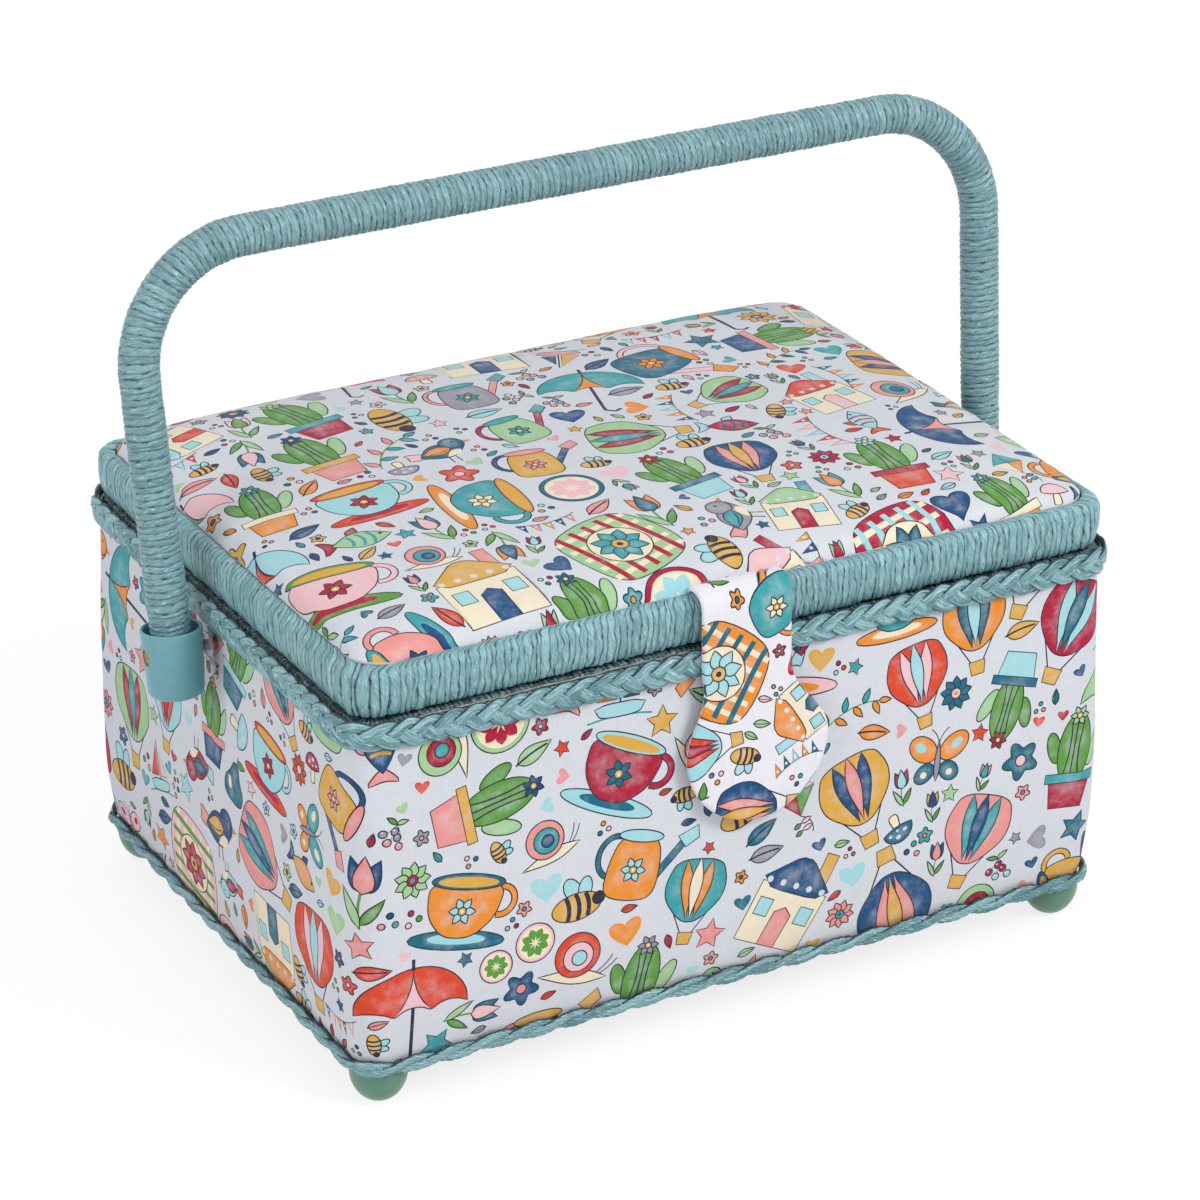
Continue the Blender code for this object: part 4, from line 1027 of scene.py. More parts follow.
def small_shapes() -> dict[str, list[Patch]]:
    """A five-pointed star, a heart and a five-lobed flower with an eye, each from its formula in polar or
    plain places."""
    angle = math.pi / 2 + math.tau * np.arange(10) / 10
    reach = np.where(np.arange(10) % 2, 0.24, 0.5)
    star = np.stack([reach * np.cos(angle), reach * np.sin(angle)], -1)
    angle = math.tau * np.arange(20) / 20
    y = 0.39 * np.cos(angle) - 0.15 * np.cos(2 * angle) - 0.06 * np.cos(3 * angle)
    heart = np.stack([0.48 * np.sin(angle) ** 3, y], -1)[::-1]
    angle = math.tau * np.arange(40) / 40
    reach = 0.4 * (1 + 0.24 * np.cos(5 * angle))
    lobed = np.stack([reach * np.cos(angle), reach * np.sin(angle)], -1)
    flower = [Patch(lobed, 0), disc(1, 0, 0, 0.14, count=10)]
    return {"star": [Patch(star, 0)], "heart": [Patch(heart, 0)], "small flower": flower}


SIDES = (-1, 1)
CHECKS = [-0.34 + index * 0.17 for index in range(5)]
MOTIFS: dict[str, list[Patch]] = {
    "daisy": blossom(0, 0, 1.0, 9, 0, 1, 2),
    "sprig": sprig(),
    "bunting": bunting(),
    "umbrella": umbrella(),
    "citrus": citrus(),
    **small_shapes(),
    "tulip": [
        bent((0, -0.5), (0, 0.08), 0.06, 0.035, ink=Ink.GREEN),
        leaf(Ink.LEAF, (0, -0.48), (-0.26, 0.02), 0.13),
        leaf(Ink.GREEN, (0, -0.44), (0.25, -0.06), 0.13),
        leaf(0, (0, 0.0), (-0.17, 0.46), 0.24, 0.62),
        leaf(0, (0, 0.0), (0.17, 0.46), 0.24, 0.62),
        leaf(1, (0, -0.02), (0, 0.5), 0.25, 0.6),
    ],
    "berries": [
        leaf(Ink.GREEN, (0, 0.3), (-0.36, 0.42), 0.15),
        leaf(Ink.LEAF, (0, 0.3), (0.34, 0.46), 0.15),
        *(
            patch
            for hue, x, y in (
                (0, -0.28, -0.08), (1, -0.08, -0.3), (0, 0.16, -0.1), (1, 0.3, -0.34), (0, 0.02, 0.06)
            )
            for patch in (
                bent((0, 0.3), (x, y), 0.1, 0.018, 6),
                disc(hue, x, y, 0.115, count=16),
                spot(Ink.CLOTH, x - 0.035, y + 0.04, 0.03, count=8),
            )
        ),
    ],
    "bird": [
        stem([(-0.02, -0.2), (-0.04, -0.4)], 0.02),
        stem([(0.08, -0.2), (0.08, -0.4)], 0.02),
        flat(1, (-0.2, 0.02), (-0.52, 0.16), (-0.5, 0.02), (-0.54, -0.08), (-0.2, -0.12), rounds=1),
        flat(Ink.ORANGE, (0.36, 0.2), (0.52, 0.12), (0.36, 0.08)),
        leaf(0, (-0.36, -0.06), (0.4, 0.06), 0.44, 0.95, 13),
        disc(0, 0.24, 0.16, 0.17),
        Patch(petal((0.26, -0.06), (-0.02, -0.2), 0.14), Ink.CREAM, False),
        leaf(2, (0.16, 0.04), (-0.3, 0.0), 0.24, 0.8),
        bent((0.08, 0.0), (-0.2, -0.02), 0.1, 0.016, 6),
        spot(Ink.LINE, 0.28, 0.2, 0.024, count=8),
    ],
    "butterfly": [
        *(
            patch
            for side in SIDES
            for patch in (
                disc(0, side * 0.24, 0.16, 0.25, 0.17, side * 38),
                disc(1, side * 0.19, -0.2, 0.17, 0.13, -side * 40),
                spot(2, side * 0.28, 0.19, 0.1, 0.06, side * 38, count=12),
                spot(Ink.CREAM, side * 0.2, -0.22, 0.05, count=10),
                bent((0, 0.22), (side * 0.14, 0.44), side * 0.1, 0.015, 6),
            )
        ),
        leaf(Ink.GREY, (0, -0.34), (0, 0.28), 0.09),
    ],
    "toadstool": [
        flat(Ink.CREAM, (-0.1, 0.0), (-0.16, -0.46), (0.16, -0.46), (0.1, 0.0), rounds=2),
        Patch(
            np.concatenate([
                bend(0, 0.02, 0.46, 0.42, 0, math.pi, 15),
                bow((-0.46, 0.02), (0.46, 0.02), -0.09)[1:-1],
            ]),
            0,
        ),
        spot(Ink.CLOTH, -0.2, 0.14, 0.07, 0.07 * 0.8, count=12),
        spot(Ink.CLOTH, 0.06, 0.26, 0.08, 0.08 * 0.8, count=12),
        spot(Ink.CLOTH, 0.27, 0.12, 0.055, 0.055 * 0.8, count=12),
        spot(Ink.CLOTH, 0.02, 0.06, 0.045, 0.045 * 0.8, count=12),
    ],
    "pear": [
        bent((0.0, 0.26), (0.06, 0.48), -0.1, 0.03, 5),
        flat(
            0, (-0.08, 0.32), (0.1, 0.32), (0.16, 0.1), (0.36, -0.12), (0.3, -0.42), (-0.3, -0.42),
            (-0.36, -0.12), (-0.16, 0.1), rounds=3,
        ),
        leaf(Ink.GREEN, (0.04, 0.36), (0.34, 0.42), 0.14),
        spot(Ink.CREAM, -0.14, -0.12, 0.06, 0.12, 20, count=12),
    ],
    "cup and saucer": [
        disc(1, 0, -0.34, 0.46, 0.09),
        spot(2, 0, -0.33, 0.28, 0.05, count=18),
        Patch(strip(bend(0.34, 0.02, 0.13, 0.13, -1.7, 1.9, 12), 0.055), 0),
        flat(
            0, (-0.36, 0.2), (-0.33, -0.12), (-0.14, -0.32), (0.14, -0.32), (0.33, -0.12), (0.36, 0.2),
            rounds=2,
        ),
        disc(1, 0, 0.19, 0.35, 0.075),
        spot(Ink.MUSTARD, 0, 0.185, 0.29, 0.05, count=18),
        *blossom(0.0, -0.08, 0.26, 6, 2, Ink.MUSTARD, Ink.CREAM),
    ],
    "cottage": [
        flat(2, (0.16, 0.2), (0.16, 0.46), (0.28, 0.46), (0.28, 0.1)),
        flat(Ink.CREAM, (-0.34, -0.45), (0.34, -0.45), (0.34, 0.1), (-0.34, 0.1)),
        flat(0, (-0.44, 0.06), (0.44, 0.06), (0.0, 0.42), rounds=1),
        flat(1, (-0.09, -0.45), (0.09, -0.45), (0.09, -0.14), (0.0, -0.08), (-0.09, -0.14)),
        *(
            flat(Ink.AQUA, (x - 0.07, -0.2), (x + 0.07, -0.2), (x + 0.07, -0.04), (x - 0.07, -0.04))
            for x in (-0.22, 0.22)
        ),
        *(spot(Ink.CLOTH, -0.28 + index * 0.14, 0.12, 0.03, count=8) for index in range(5)),
    ],
    "sailboat": [
        bent((-0.5, -0.42), (0.5, -0.42), 0.05, 0.03, ink=Ink.TEAL),
        stem([(0.0, -0.2), (0.0, 0.5)], 0.028),
        flat(0, (-0.05, -0.12), (-0.05, 0.44), (-0.36, -0.12)),
        flat(1, (0.05, -0.12), (0.3, -0.12), (0.05, 0.34)),
        flat(2, (-0.42, -0.18), (-0.3, -0.38), (0.3, -0.38), (0.42, -0.18), rounds=1),
    ],
    "potted cactus": [
        disc(Ink.GREEN, -0.22, 0.1, 0.07, 0.16, 20, count=14),
        disc(Ink.LEAF, 0.23, 0.06, 0.07, 0.18, -22, count=14),
        disc(Ink.GREEN, 0, 0.08, 0.17, 0.34),
        *(bent((x, -0.18), (x * 0.8, 0.34), x * 0.6, 0.014, 7) for x in (-0.08, 0.0, 0.08)),
        *blossom(0.0, 0.4, 0.2, 6, 0, Ink.MUSTARD, Ink.CREAM),
        flat(1, (-0.22, -0.22), (0.22, -0.22), (0.17, -0.5), (-0.17, -0.5)),
        flat(2, (-0.26, -0.16), (0.26, -0.16), (0.26, -0.25), (-0.26, -0.25)),
    ],
    "bee": [
        disc(Ink.AQUA, -0.04, 0.24, 0.13, 0.22, 24),
        disc(Ink.AQUA, 0.16, 0.22, 0.11, 0.19, -14),
        disc(Ink.MUSTARD, 0, -0.04, 0.4, 0.22),
        *(
            bent((x, -0.04 - half), (x, -0.04 + half), -0.1, 0.07, 6)
            for x, half in ((-0.16, 0.19), (0.0, 0.21), (0.16, 0.19))
        ),
        spot(Ink.LINE, 0.36, 0.0, 0.11, count=14),
    ],
    "flower tile": [
        flat(0, (-0.47, -0.47), (0.47, -0.47), (0.47, 0.47), (-0.47, 0.47), rounds=1),
        *(stem([(-0.44, at), (0.44, at)], 0.06, Ink.CREAM) for at in CHECKS),
        *(stem([(at, -0.44), (at, 0.44)], 0.06, 1) for at in CHECKS),
        disc(Ink.CREAM, 0, 0, 0.29),
        *blossom(0, 0, 0.52, 8, 2, Ink.MUSTARD, Ink.LINE),
    ],
    "balloon": [
        *(stem([(side * 0.22, -0.1), (side * 0.07, -0.36)], 0.014) for side in SIDES),
        flat(
            0, (0.26, 0.45), (-0.26, 0.45), (-0.36, 0.2), (-0.33, 0.0), (-0.1, -0.24), (0.1, -0.24),
            (0.33, 0.0), (0.36, 0.2), rounds=2,
        ),
        *(leaf(1, (side * 0.04, -0.22), (side * 0.15, 0.44), 0.14, 1.3) for side in SIDES),
        leaf(2, (0, -0.22), (0, 0.46), 0.14, 1.3),
        flat(Ink.MUSTARD, (-0.09, -0.36), (0.09, -0.36), (0.07, -0.5), (-0.07, -0.5)),
    ],
    "snail": [
        bent((0.3, -0.16), (0.42, 0.1), -0.06, 0.016, 5),
        bent((0.34, -0.18), (0.5, 0.06), -0.06, 0.016, 5),
        leaf(Ink.CREAM, (-0.5, -0.34), (0.46, -0.2), 0.2, 1.2, 13),
        disc(0, -0.06, 0.02, 0.3),
        disc(1, -0.04, 0.0, 0.2, count=18),
        disc(2, -0.02, -0.01, 0.1, count=14),
    ],
    "fish": [
        flat(1, (-0.22, 0.0), (-0.5, 0.24), (-0.42, 0.0), (-0.5, -0.24), rounds=1),
        leaf(1, (-0.02, 0.14), (0.12, 0.36), 0.16),
        leaf(0, (-0.32, 0.0), (0.5, 0.0), 0.42, 1.0, 13),
        *(
            bent((x, -half), (x, half), -0.16, 0.045, 6, 2)
            for x, half in ((-0.08, 0.13), (0.06, 0.17), (0.2, 0.17))
        ),
        spot(Ink.LINE, 0.36, 0.05, 0.03, count=8),
    ],
    "kite": [
        bent((0, -0.2), (0.12, -0.5), 0.2, 0.016, 8),
        flat(0, (0, 0.5), (0, 0.16), (0.28, 0.16)),
        flat(1, (0.28, 0.16), (0, 0.16), (0, -0.2)),
        flat(2, (0, -0.2), (0, 0.16), (-0.28, 0.16)),
        flat(0, (-0.28, 0.16), (0, 0.16), (0, 0.5)),
        *(
            patch
            for y in (-0.3, -0.41)
            for patch in (
                leaf(0, (-0.02, y), (0.14, y + 0.03), 0.07, 1.0, 6),
                leaf(1, (-0.02, y), (-0.13, y - 0.04), 0.07, 1.0, 6),
            )
        ),
    ],
    "watering can": [
        Patch(strip(bend(-0.3, 0.0, 0.17, 0.2, 1.4, 4.7, 12), 0.05), 1),
        Patch(strip([(0.14, -0.2), (0.4, 0.22)], 0.075), 1),
        flat(2, (0.3, 0.22), (0.48, 0.34), (0.52, 0.22), (0.4, 0.12)),
        flat(0, (-0.3, 0.2), (0.14, 0.2), (0.2, -0.4), (-0.36, -0.4), rounds=1),
        disc(2, -0.08, 0.21, 0.23, 0.06, count=18),
        *blossom(-0.08, -0.12, 0.26, 6, 2, Ink.MUSTARD, Ink.CREAM),
    ],
    "leaflet": [
        leaf(0, (-0.46, -0.1), (0.46, 0.12), 0.42),
        bent((-0.5, -0.12), (0.34, 0.08), 0.04, 0.05, 6),
    ],
    "dots": [
        disc(hue, x, y, 0.15, count=10) for hue, x, y in ((0, -0.3, -0.2), (1, 0.26, -0.14), (2, 0, 0.3))
    ],
}


class Motif(Enum):
    """The print's motifs, by how large they are drawn."""

    LARGE = (
        "flower tile", "balloon", "cottage", "cup and saucer", "umbrella", "potted cactus", "watering can"
    )
    MIDDLE = (
        "bird", "butterfly", "tulip", "pear", "sailboat", "toadstool", "citrus", "fish", "kite", "snail",
        "daisy", "bunting", "sprig", "bee",
    )
    SMALL = (
        "daisy", "berries", "star", "heart", "leaflet", "small flower", "toadstool", "bee", "tulip", "citrus"
    )
    TINY = ("dots", "star", "heart", "leaflet", "small flower")


HUES = tuple(
    tuple(Ink[name] for name in row.split())
    for row in (
        "NAVY CORAL MUSTARD",
        "TEAL ORANGE CREAM",
        "CRIMSON AQUA PETROL",
        "CORAL TEAL NAVY",
        "RED PINK AQUA",
        "AQUA RED CRIMSON",
        "MUSTARD NAVY CORAL",
        "PETROL PINK ORANGE",
        "LEAF CRIMSON TEAL",
        "ORANGE PETROL AQUA",
        "GREY CORAL TEAL",
        "PINK GREEN CRIMSON",
    )
)


def grown(outline: Array, width: float) -> Array:
    """An outline moved outwards along the mean of each corner's two side normals."""
    ahead = np.roll(outline, -1, axis=0) - outline
    ahead /= np.maximum(np.hypot(ahead[:, 0], ahead[:, 1]), 1e-12)[:, None]
    normal = np.stack([ahead[:, 1], -ahead[:, 0]], -1)
    both = normal + np.roll(normal, 1, axis=0)
    size = np.maximum(np.hypot(both[:, 0], both[:, 1]), 0.7)
    return outline + both / size[:, None] * width


def eased(outline: Array) -> Array:
    """An outline with a point added on each long side between two gentle corners, on the curve that the
    four nearest points suggest."""
    for _ in range(2):
        before, after = np.roll(outline, 1, axis=0), np.roll(outline, -1, axis=0)
        arrive, leave = outline - before, after - outline
        turn = arrive[:, 0] * leave[:, 1] - arrive[:, 1] * leave[:, 0]
        turn = np.abs(np.arctan2(turn, (arrive * leave).sum(1)))
        gentle = (turn < 0.96) & (turn > 0.02)
        added = (outline + after) * 9 / 16 - (before + np.roll(outline, -2, axis=0)) / 16
        wanted = gentle & np.roll(gentle, -1) & (np.hypot(*leave.T) > 0.0009)
        both = np.stack([outline, added], 1).reshape(-1, 2)
        outline = both[np.stack([np.ones(len(outline), bool), wanted], 1).reshape(-1)]
    return outline


def area_of(outline: Array) -> float:
    """Signed area of a closed outline, positive when it runs anticlockwise."""
    x, y = outline[:, 0], outline[:, 1]
    return float(np.sum(x * np.roll(y, -1) - np.roll(x, -1) * y) / 2)


def covers(outline: Array, points: Array) -> Array:
    """Which points lie inside an outline, by the parity of the sides crossed on the way to the right."""
    x, y = points[:, 0, None], points[:, 1, None]
    x0, y0 = outline[:, 0], outline[:, 1]
    x1, y1 = np.roll(x0, -1), np.roll(y0, -1)
    spans = (y0 > y) != (y1 > y)
    level = np.where(y1 == y0, 1.0, y1 - y0)
    cross = x0 + (y - y0) * (x1 - x0) / level
    return (np.sum(spans & (x < cross), axis=1) % 2).astype(bool)


@dataclass
class PrintPanel:
    """One panel of the print: motifs thrown on a flat piece of cloth, largest first, none touching.

    The panel spans from low to high, in metres on the cloth. A motif keeps off marked cells of a raster.
    """

    low: Pair
    high: Pair
    seed: int
    throws: tuple[int, int, int, int] = (420, 2600, 7000, 9000)
    sizes: tuple[Pair, ...] = (
        (0.029, 0.039), (0.0180, 0.0255), (0.0095, 0.0140), (0.0046, 0.0070)
    )
    blank_ends: float = 0.0
    patches: list[Patch] = field(default_factory=list)

    @staticmethod
    def footprint(motif: str) -> Array:
        """Points of a raster that a motif covers, over the unit square and a tenth more each way."""
        line = (np.arange(FOOTPRINT_CELLS) + 0.5) / FOOTPRINT_CELLS * 1.2 - 0.6
        spots = np.stack(np.meshgrid(line, line), -1).reshape(-1, 2)
        hit = np.zeros(len(spots), bool)
        for patch in MOTIFS[motif]:
            hit |= covers(patch.outline, spots)
        return spots[hit]

    def fill(self) -> "PrintPanel":
        """Throws the motifs and keeps the patches of those that fit."""
        rng = np.random.default_rng(self.seed)
        low, high = np.array(self.low), np.array(self.high)
        shape = tuple(np.ceil((high - low) / RASTER_CELL).astype(int) + 2 * RASTER_MARGIN)
        taken = np.zeros(shape, bool)
        prints: dict[str, Array] = {}
        for family, throws, (least, most) in zip(Motif, self.throws, self.sizes):
            for _ in range(throws):
                motif = family.value[rng.integers(len(family.value))]
                size = rng.uniform(least, most)
                turn = rng.normal(0, 0.24) + math.pi / 2 * rng.choice(4, p=QUARTER_TURNS)
                at = rng.uniform(low - 0.004, high + 0.004)
                hues = HUES[rng.integers(len(HUES))]
                if motif not in prints:
                    prints[motif] = self.footprint(motif)
                cos, sin = math.cos(turn), math.sin(turn)
                matrix = size * np.array(((cos, -sin), (sin, cos)))
                spots = prints[motif] @ matrix.T + at
                room = min(at[0] - low[0], high[0] - at[0]) - size * 0.6
                if self.blank_ends and room < self.blank_ends:
                    continue
                cells = np.floor((spots - low) / RASTER_CELL).astype(int) + RASTER_MARGIN
                cells = cells[((cells >= 1) & (cells < np.array(shape) - 1)).all(1)]
                if not len(cells) or taken[cells[:, 0], cells[:, 1]].any():
                    continue
                for step in np.ndindex(3, 3):
                    taken[cells[:, 0] + step[0] - 1, cells[:, 1] + step[1] - 1] = True
                for patch in MOTIFS[motif]:
                    ink = hues[patch.ink] if isinstance(patch.ink, int) else patch.ink
                    self.patches.append(Patch(eased(patch.outline @ matrix.T + at), ink, patch.lined))
        LOG.info("print panel %d: %d shapes", self.seed, len(self.patches))
        return self

    @staticmethod
    def thinned(outline: Array) -> Array:
        """An outline without the points that stand closer than a third of a millimetre."""
        around = np.hypot(*(np.roll(outline, -1, axis=0) - outline).T).sum()
        step = int(max(1, min(len(outline) // 6, 0.0003 * len(outline) / max(around, 1e-6))))
        return outline[::step]

    def cut(self, border: Array, inner: Array) -> Arrays:
        """Triangulates the panel so that every edge of the print is an edge of the mesh.

        Args:
            border: The cloth's outline, anticlockwise.
            inner: Points inside it that the cloth's shape needs.

        Returns:
            Flat places, triangles, and one RGBA row for each triangle corner.
        """
        outlines: list[Array] = [border]
        inks: list[tuple[Ink, bool]] = [(Ink.CLOTH, False)]
        extra: list[Array] = [inner]
        for patch in self.patches:
            outline = self.thinned(patch.outline)
            outline = outline if area_of(outline) > 0 else outline[::-1]
            if patch.lined:
                outlines.append(grown(outline, INK_LINE / 2))
                inks.append((Ink.LINE, False))
                outline = grown(outline, -INK_LINE / 2)
            outlines.append(outline)
            broad = patch.lined and float(np.ptp(outline, axis=0).min()) > BROAD_FILL
            inks.append((patch.ink, broad))
            if broad:
                extra.append(outline.mean(0) + (outline[::2] - outline.mean(0)) * 0.56)
        counts = [len(outline) for outline in outlines]
        starts = np.concatenate([[0], np.cumsum(counts)[:-1]])
        flat = np.concatenate(outlines + extra) * 1000
        rings = [list(range(start, start + count)) for start, count in zip(starts, counts)]
        vectors = [Vector(place) for place in flat]
        places, _, triangles, _, _, owners = delaunay_2d_cdt(vectors, [], rings, 0, 1e-4, True)
        kept = [(t, max(own)) for t, own in zip(triangles, owners) if own and 0 in own]
        faces = np.array([t for t, _ in kept])
        top = np.array([own for _, own in kept])
        flat = np.array([tuple(p) for p in places]) / 1000
        sides = flat[faces[:, 1:]] - flat[faces[:, :1]]
        turned = sides[:, 0, 0] * sides[:, 1, 1] - sides[:, 0, 1] * sides[:, 1, 0]
        faces[turned < 0] = faces[turned < 0][:, ::-1]
        keep = np.abs(turned) > 1e-13
        faces, top = faces[keep], top[keep]
        used, inverse = np.unique(faces, return_inverse=True)
        flat, faces = flat[used], inverse.reshape(faces.shape)
        lut = np.array([linear(ink.value)[:3] for ink, _ in inks])
        colours = np.ones((len(faces), 3, 4))
        colours[:, :, :3] = lut[top][:, None, :]
        blank = np.array([ink is Ink.CLOTH for ink, _ in inks])
        colours[:, :, 3] = np.where(blank[top], 0.0, 1.0)[:, None]
        order = np.argsort(top, kind="stable")
        groups = np.split(order, np.flatnonzero(np.diff(top[order])) + 1)
        for group in groups:
            owner = int(top[group[0]])
            if not inks[owner][1]:
                continue
            outline = outlines[owner]
            centre = outline.mean(0)
            spokes = outline - centre
            angle = np.arctan2(spokes[:, 1], spokes[:, 0])
            ring = np.argsort(angle)
            points = flat[faces[group]] - centre
            turn = np.arctan2(points[..., 1], points[..., 0])
            reach = np.interp(turn, angle[ring], np.hypot(*spokes[ring].T), period=math.tau)
            share = np.hypot(points[..., 0], points[..., 1]) / np.maximum(reach, 1e-6)
            colours[group, :, 3] = 0.30 + 0.70 * smooth(share, 0.5, 1.0)
        return flat, faces, colours.reshape(-1, 4)


Close = Callable[[Array, Array, Array], tuple[Array, list[Array], Array]]


def cloth_piece(
    name: str, panel: PrintPanel, border: Array, inner: Array, lift: Callable[[Array], Array], close: Close
) -> Piece:
    """Cuts a print panel and lifts it into space.

    Args:
        name: The piece's name.
        panel: The filled print panel.
        border: The cloth's flat outline.
        inner: Flat points that the shape needs.
        lift: Gives a place in space for each flat place.
        close: Gives all points, all groups of faces and the added faces' flat places, from the lifted
            points, the faces and the flat places.

    Returns:
        The object.
    """
    flat_places, faces, colours = panel.cut(border, inner)
    uv = flat_places[faces].reshape(-1, 2)
    points, groups, more = close(lift(flat_places), faces, flat_places)
    colours = np.concatenate([colours, unprinted(len(more))])
    return mesh_piece(name, points, groups, np.concatenate([uv, more]), colours)


def unprinted(count: int) -> Array:
    """Colour rows of the bare cloth."""
    return np.tile((*linear(Ink.CLOTH.value)[:3], 0.0), (count, 1))


def turned(rows: Array, corners: int = 3) -> Array:
    """Corner rows in the order of faces turned round, for faces of this many corners."""
    return rows.reshape(-1, corners, rows.shape[-1])[:, ::-1].reshape(-1, rows.shape[-1])


def border_edges(faces: Array) -> Array:
    """The edges that one triangle alone has, in that triangle's direction."""
    edges = np.concatenate([faces[:, [0, 1]], faces[:, [1, 2]], faces[:, [2, 0]]])
    key = np.sort(edges, axis=1)
    _, index, counts = np.unique(key, axis=0, return_index=True, return_counts=True)
    return edges[index[counts == 1]]


def skirt(edges: Array, count: int) -> Array:
    """Quads from a border's edges to their copies, which stand this many points further on."""
    return np.stack([edges[:, 1], edges[:, 0], edges[:, 0] + count, edges[:, 1] + count], -1)


def face_out(piece: Piece) -> None:
    """Recalculates a closed piece's normals outwards, after a mirror."""
    bpy.context.view_layer.objects.active = piece
    piece.select_set(True)
    bpy.ops.object.mode_set(mode="EDIT")
    bpy.ops.mesh.select_all(action="SELECT")
    bpy.ops.mesh.normals_make_consistent(inside=False)
    bpy.ops.object.mode_set(mode="OBJECT")
    piece.select_set(False)


def slab(name: str, low: Array, high: Array, spans: Arrays, sharp: float, mirrored: bool) -> Piece:
    """A closed slab of two sheets of grid points, joined round their edge.

    Args:
        name: The piece's name.
        low: Points of the sheet that faces down.
        high: Points of the sheet that faces up.
        spans: Flat places along both ways of the grid.
        sharp: Angle in degrees above which an edge stays sharp.
        mirrored: Whether the lower sheet's flat places run the other way round its faces.

    Returns:
        The object.
    """
    n_u, n_v = low.shape[:2]
    quads, spots = grid(n_u, n_v)
    size = n_u * n_v
    rim = border_edges(np.concatenate([quads[:, [0, 1, 2]], quads[:, [0, 2, 3]]]))
    sides = np.stack([rim[:, 1] + size, rim[:, 0] + size, rim[:, 0], rim[:, 1]], -1)
    points = np.concatenate([low.reshape(-1, 3), high.reshape(-1, 3)])
    places = table(np.append(spans[0], 0), np.append(spans[1], 0))[spots]
    uv = [turned(places, 4) if mirrored else places, places, points[sides].reshape(-1, 3)[:, :2]]
    piece = mesh_piece(name, points, [quads[:, ::-1], quads + size, sides], np.concatenate(uv), sharp=sharp)
    face_out(piece)
    return piece


@dataclass
class StrandBand:
    """Twisted or plaited cord round the box, in a frame of distance, outset and height."""

    rect: RoundedRect = RoundedRect()
    hinge_x: float = 0.0750
    hinge_half: float = 0.0205

    def hinges(self, distance: Array) -> Array:
        """1 where a hinge stands on the back wall, 0 elsewhere."""
        x, y = self.rect.at(distance, 0 * distance)
        return (y > 0.05) * smooth(self.hinge_half - np.abs(np.abs(x) - self.hinge_x), 0, 0.0035)

    def strand(
        self,
        steps: int,
        centre: Callable[[Array], Arrays],
        half_width: float,
        half_depth: float,
        humps: int,
        sides: int,
        twist: float,
        seed: int,
    ) -> Arrays:
        """One flattened strand made of fine cords side by side.

        Across the strand its depth is that of an ellipse, cut by a groove between each two fine cords; with
        twist the grooves turn round it as it runs.

        Args:
            steps: Rings along the whole way round.
            centre: Gives (outset, height) of the strand's middle at each share of the way.
            half_width: Half its width, in the plane of the wall.
            half_depth: Half its depth.
            humps: Fine cords across it, or round it when it twists.
            sides: Points round it.
            twist: Turns of the grooves in the whole way.
            seed: Of its unevenness.

        Returns:
            Points, the strand attribute, and the flat places of its table.
        """
        share = np.arange(steps) / steps
        outset, height = centre(share)
        run = share * self.rect.length
        ahead, behind = np.roll(height, -1), np.roll(height, 1)
        slope = np.arctan2(ahead - behind, 2 * self.rect.length / steps)[:, None]
        seen = max(sides - 6, sides // 2)
        angle = np.arange(seen) / seen if twist else np.arccos(1 - 2 * np.arange(seen) / seen) / math.pi
        angle = np.append(angle, 1 + np.arange(sides - seen) / (sides - seen))[None, :] * math.pi
        noise = Wobble(seed)
        thick = 1 + 0.10 * noise.loop(share, round(self.rect.length / 0.009))[:, None]
        across = -np.cos(angle) * half_width * thick
        if twist:
            groove = np.abs(np.sin(humps / 2 * (angle + math.tau * twist * share[:, None]))) ** 0.8
            reach = 0.74 + 0.26 * groove
            across = across * reach
            depth = np.sin(angle) * half_depth * thick * reach
        else:
            groove = np.abs(np.sin(math.pi * humps / 2 * (1 - np.cos(angle)))) ** 0.8
            groove = np.broadcast_to(groove, (steps, sides))
            depth = np.sin(angle) * half_depth * thick * (0.72 + 0.28 * groove)
        rough = noise.plane(run[:, None] / 0.0018, angle * 3.0) * 0.00009
        x, y = self.rect.at(run[:, None] - across * np.sin(slope), outset[:, None] + depth + rough)
        points = np.stack([x, y, height[:, None] + across * np.cos(slope)], -1)
        tint = 0.5 + 0.5 * noise.plane(run[:, None] / 0.02, angle * 1.4 + 40)
        # Painted shade: the strand attribute's height falls at the strand's edges and in its grooves, which
        # darkens the cord there.
        edge = smooth(np.sin(angle), 0.38, 0.78)
        strand = strand_rows((0.55 + 0.45 * groove) * edge, tint, angle * humps / math.tau)
        around = np.append(angle[0], math.tau) * (half_width + half_depth) / 2
        return points, strand, table(np.append(share, 1.0) * self.rect.length, around)


def strand_rows(height: Array, tint: Array, turn: Array | float) -> Array:
    """The strand attribute's rows: height over the groove, tint and turn of the twist."""
    return np.stack(np.broadcast_arrays(height, tint, turn, 1.0), -1)


def joined_strands(name: str, strands: Sequence[Arrays]) -> Piece:
    """Makes one piece of strands that each run round and close up."""
    points, faces, uvs, attributes, count = [], [], [], [], 0
    for places, strand, flat in strands:
        steps, sides = places.shape[:2]
        quads, spots = grid(steps, sides, True, True)
        points.append(places.reshape(-1, 3))
        attributes.append(strand.reshape(-1, 4))
        faces.append(quads + count)
        uvs.append(flat[spots])
        count += steps * sides
    points, faces, uvs, attributes = (np.concatenate(rows) for rows in (points, faces, uvs, attributes))
    return mesh_piece(name, points, faces, uvs, None, attributes)


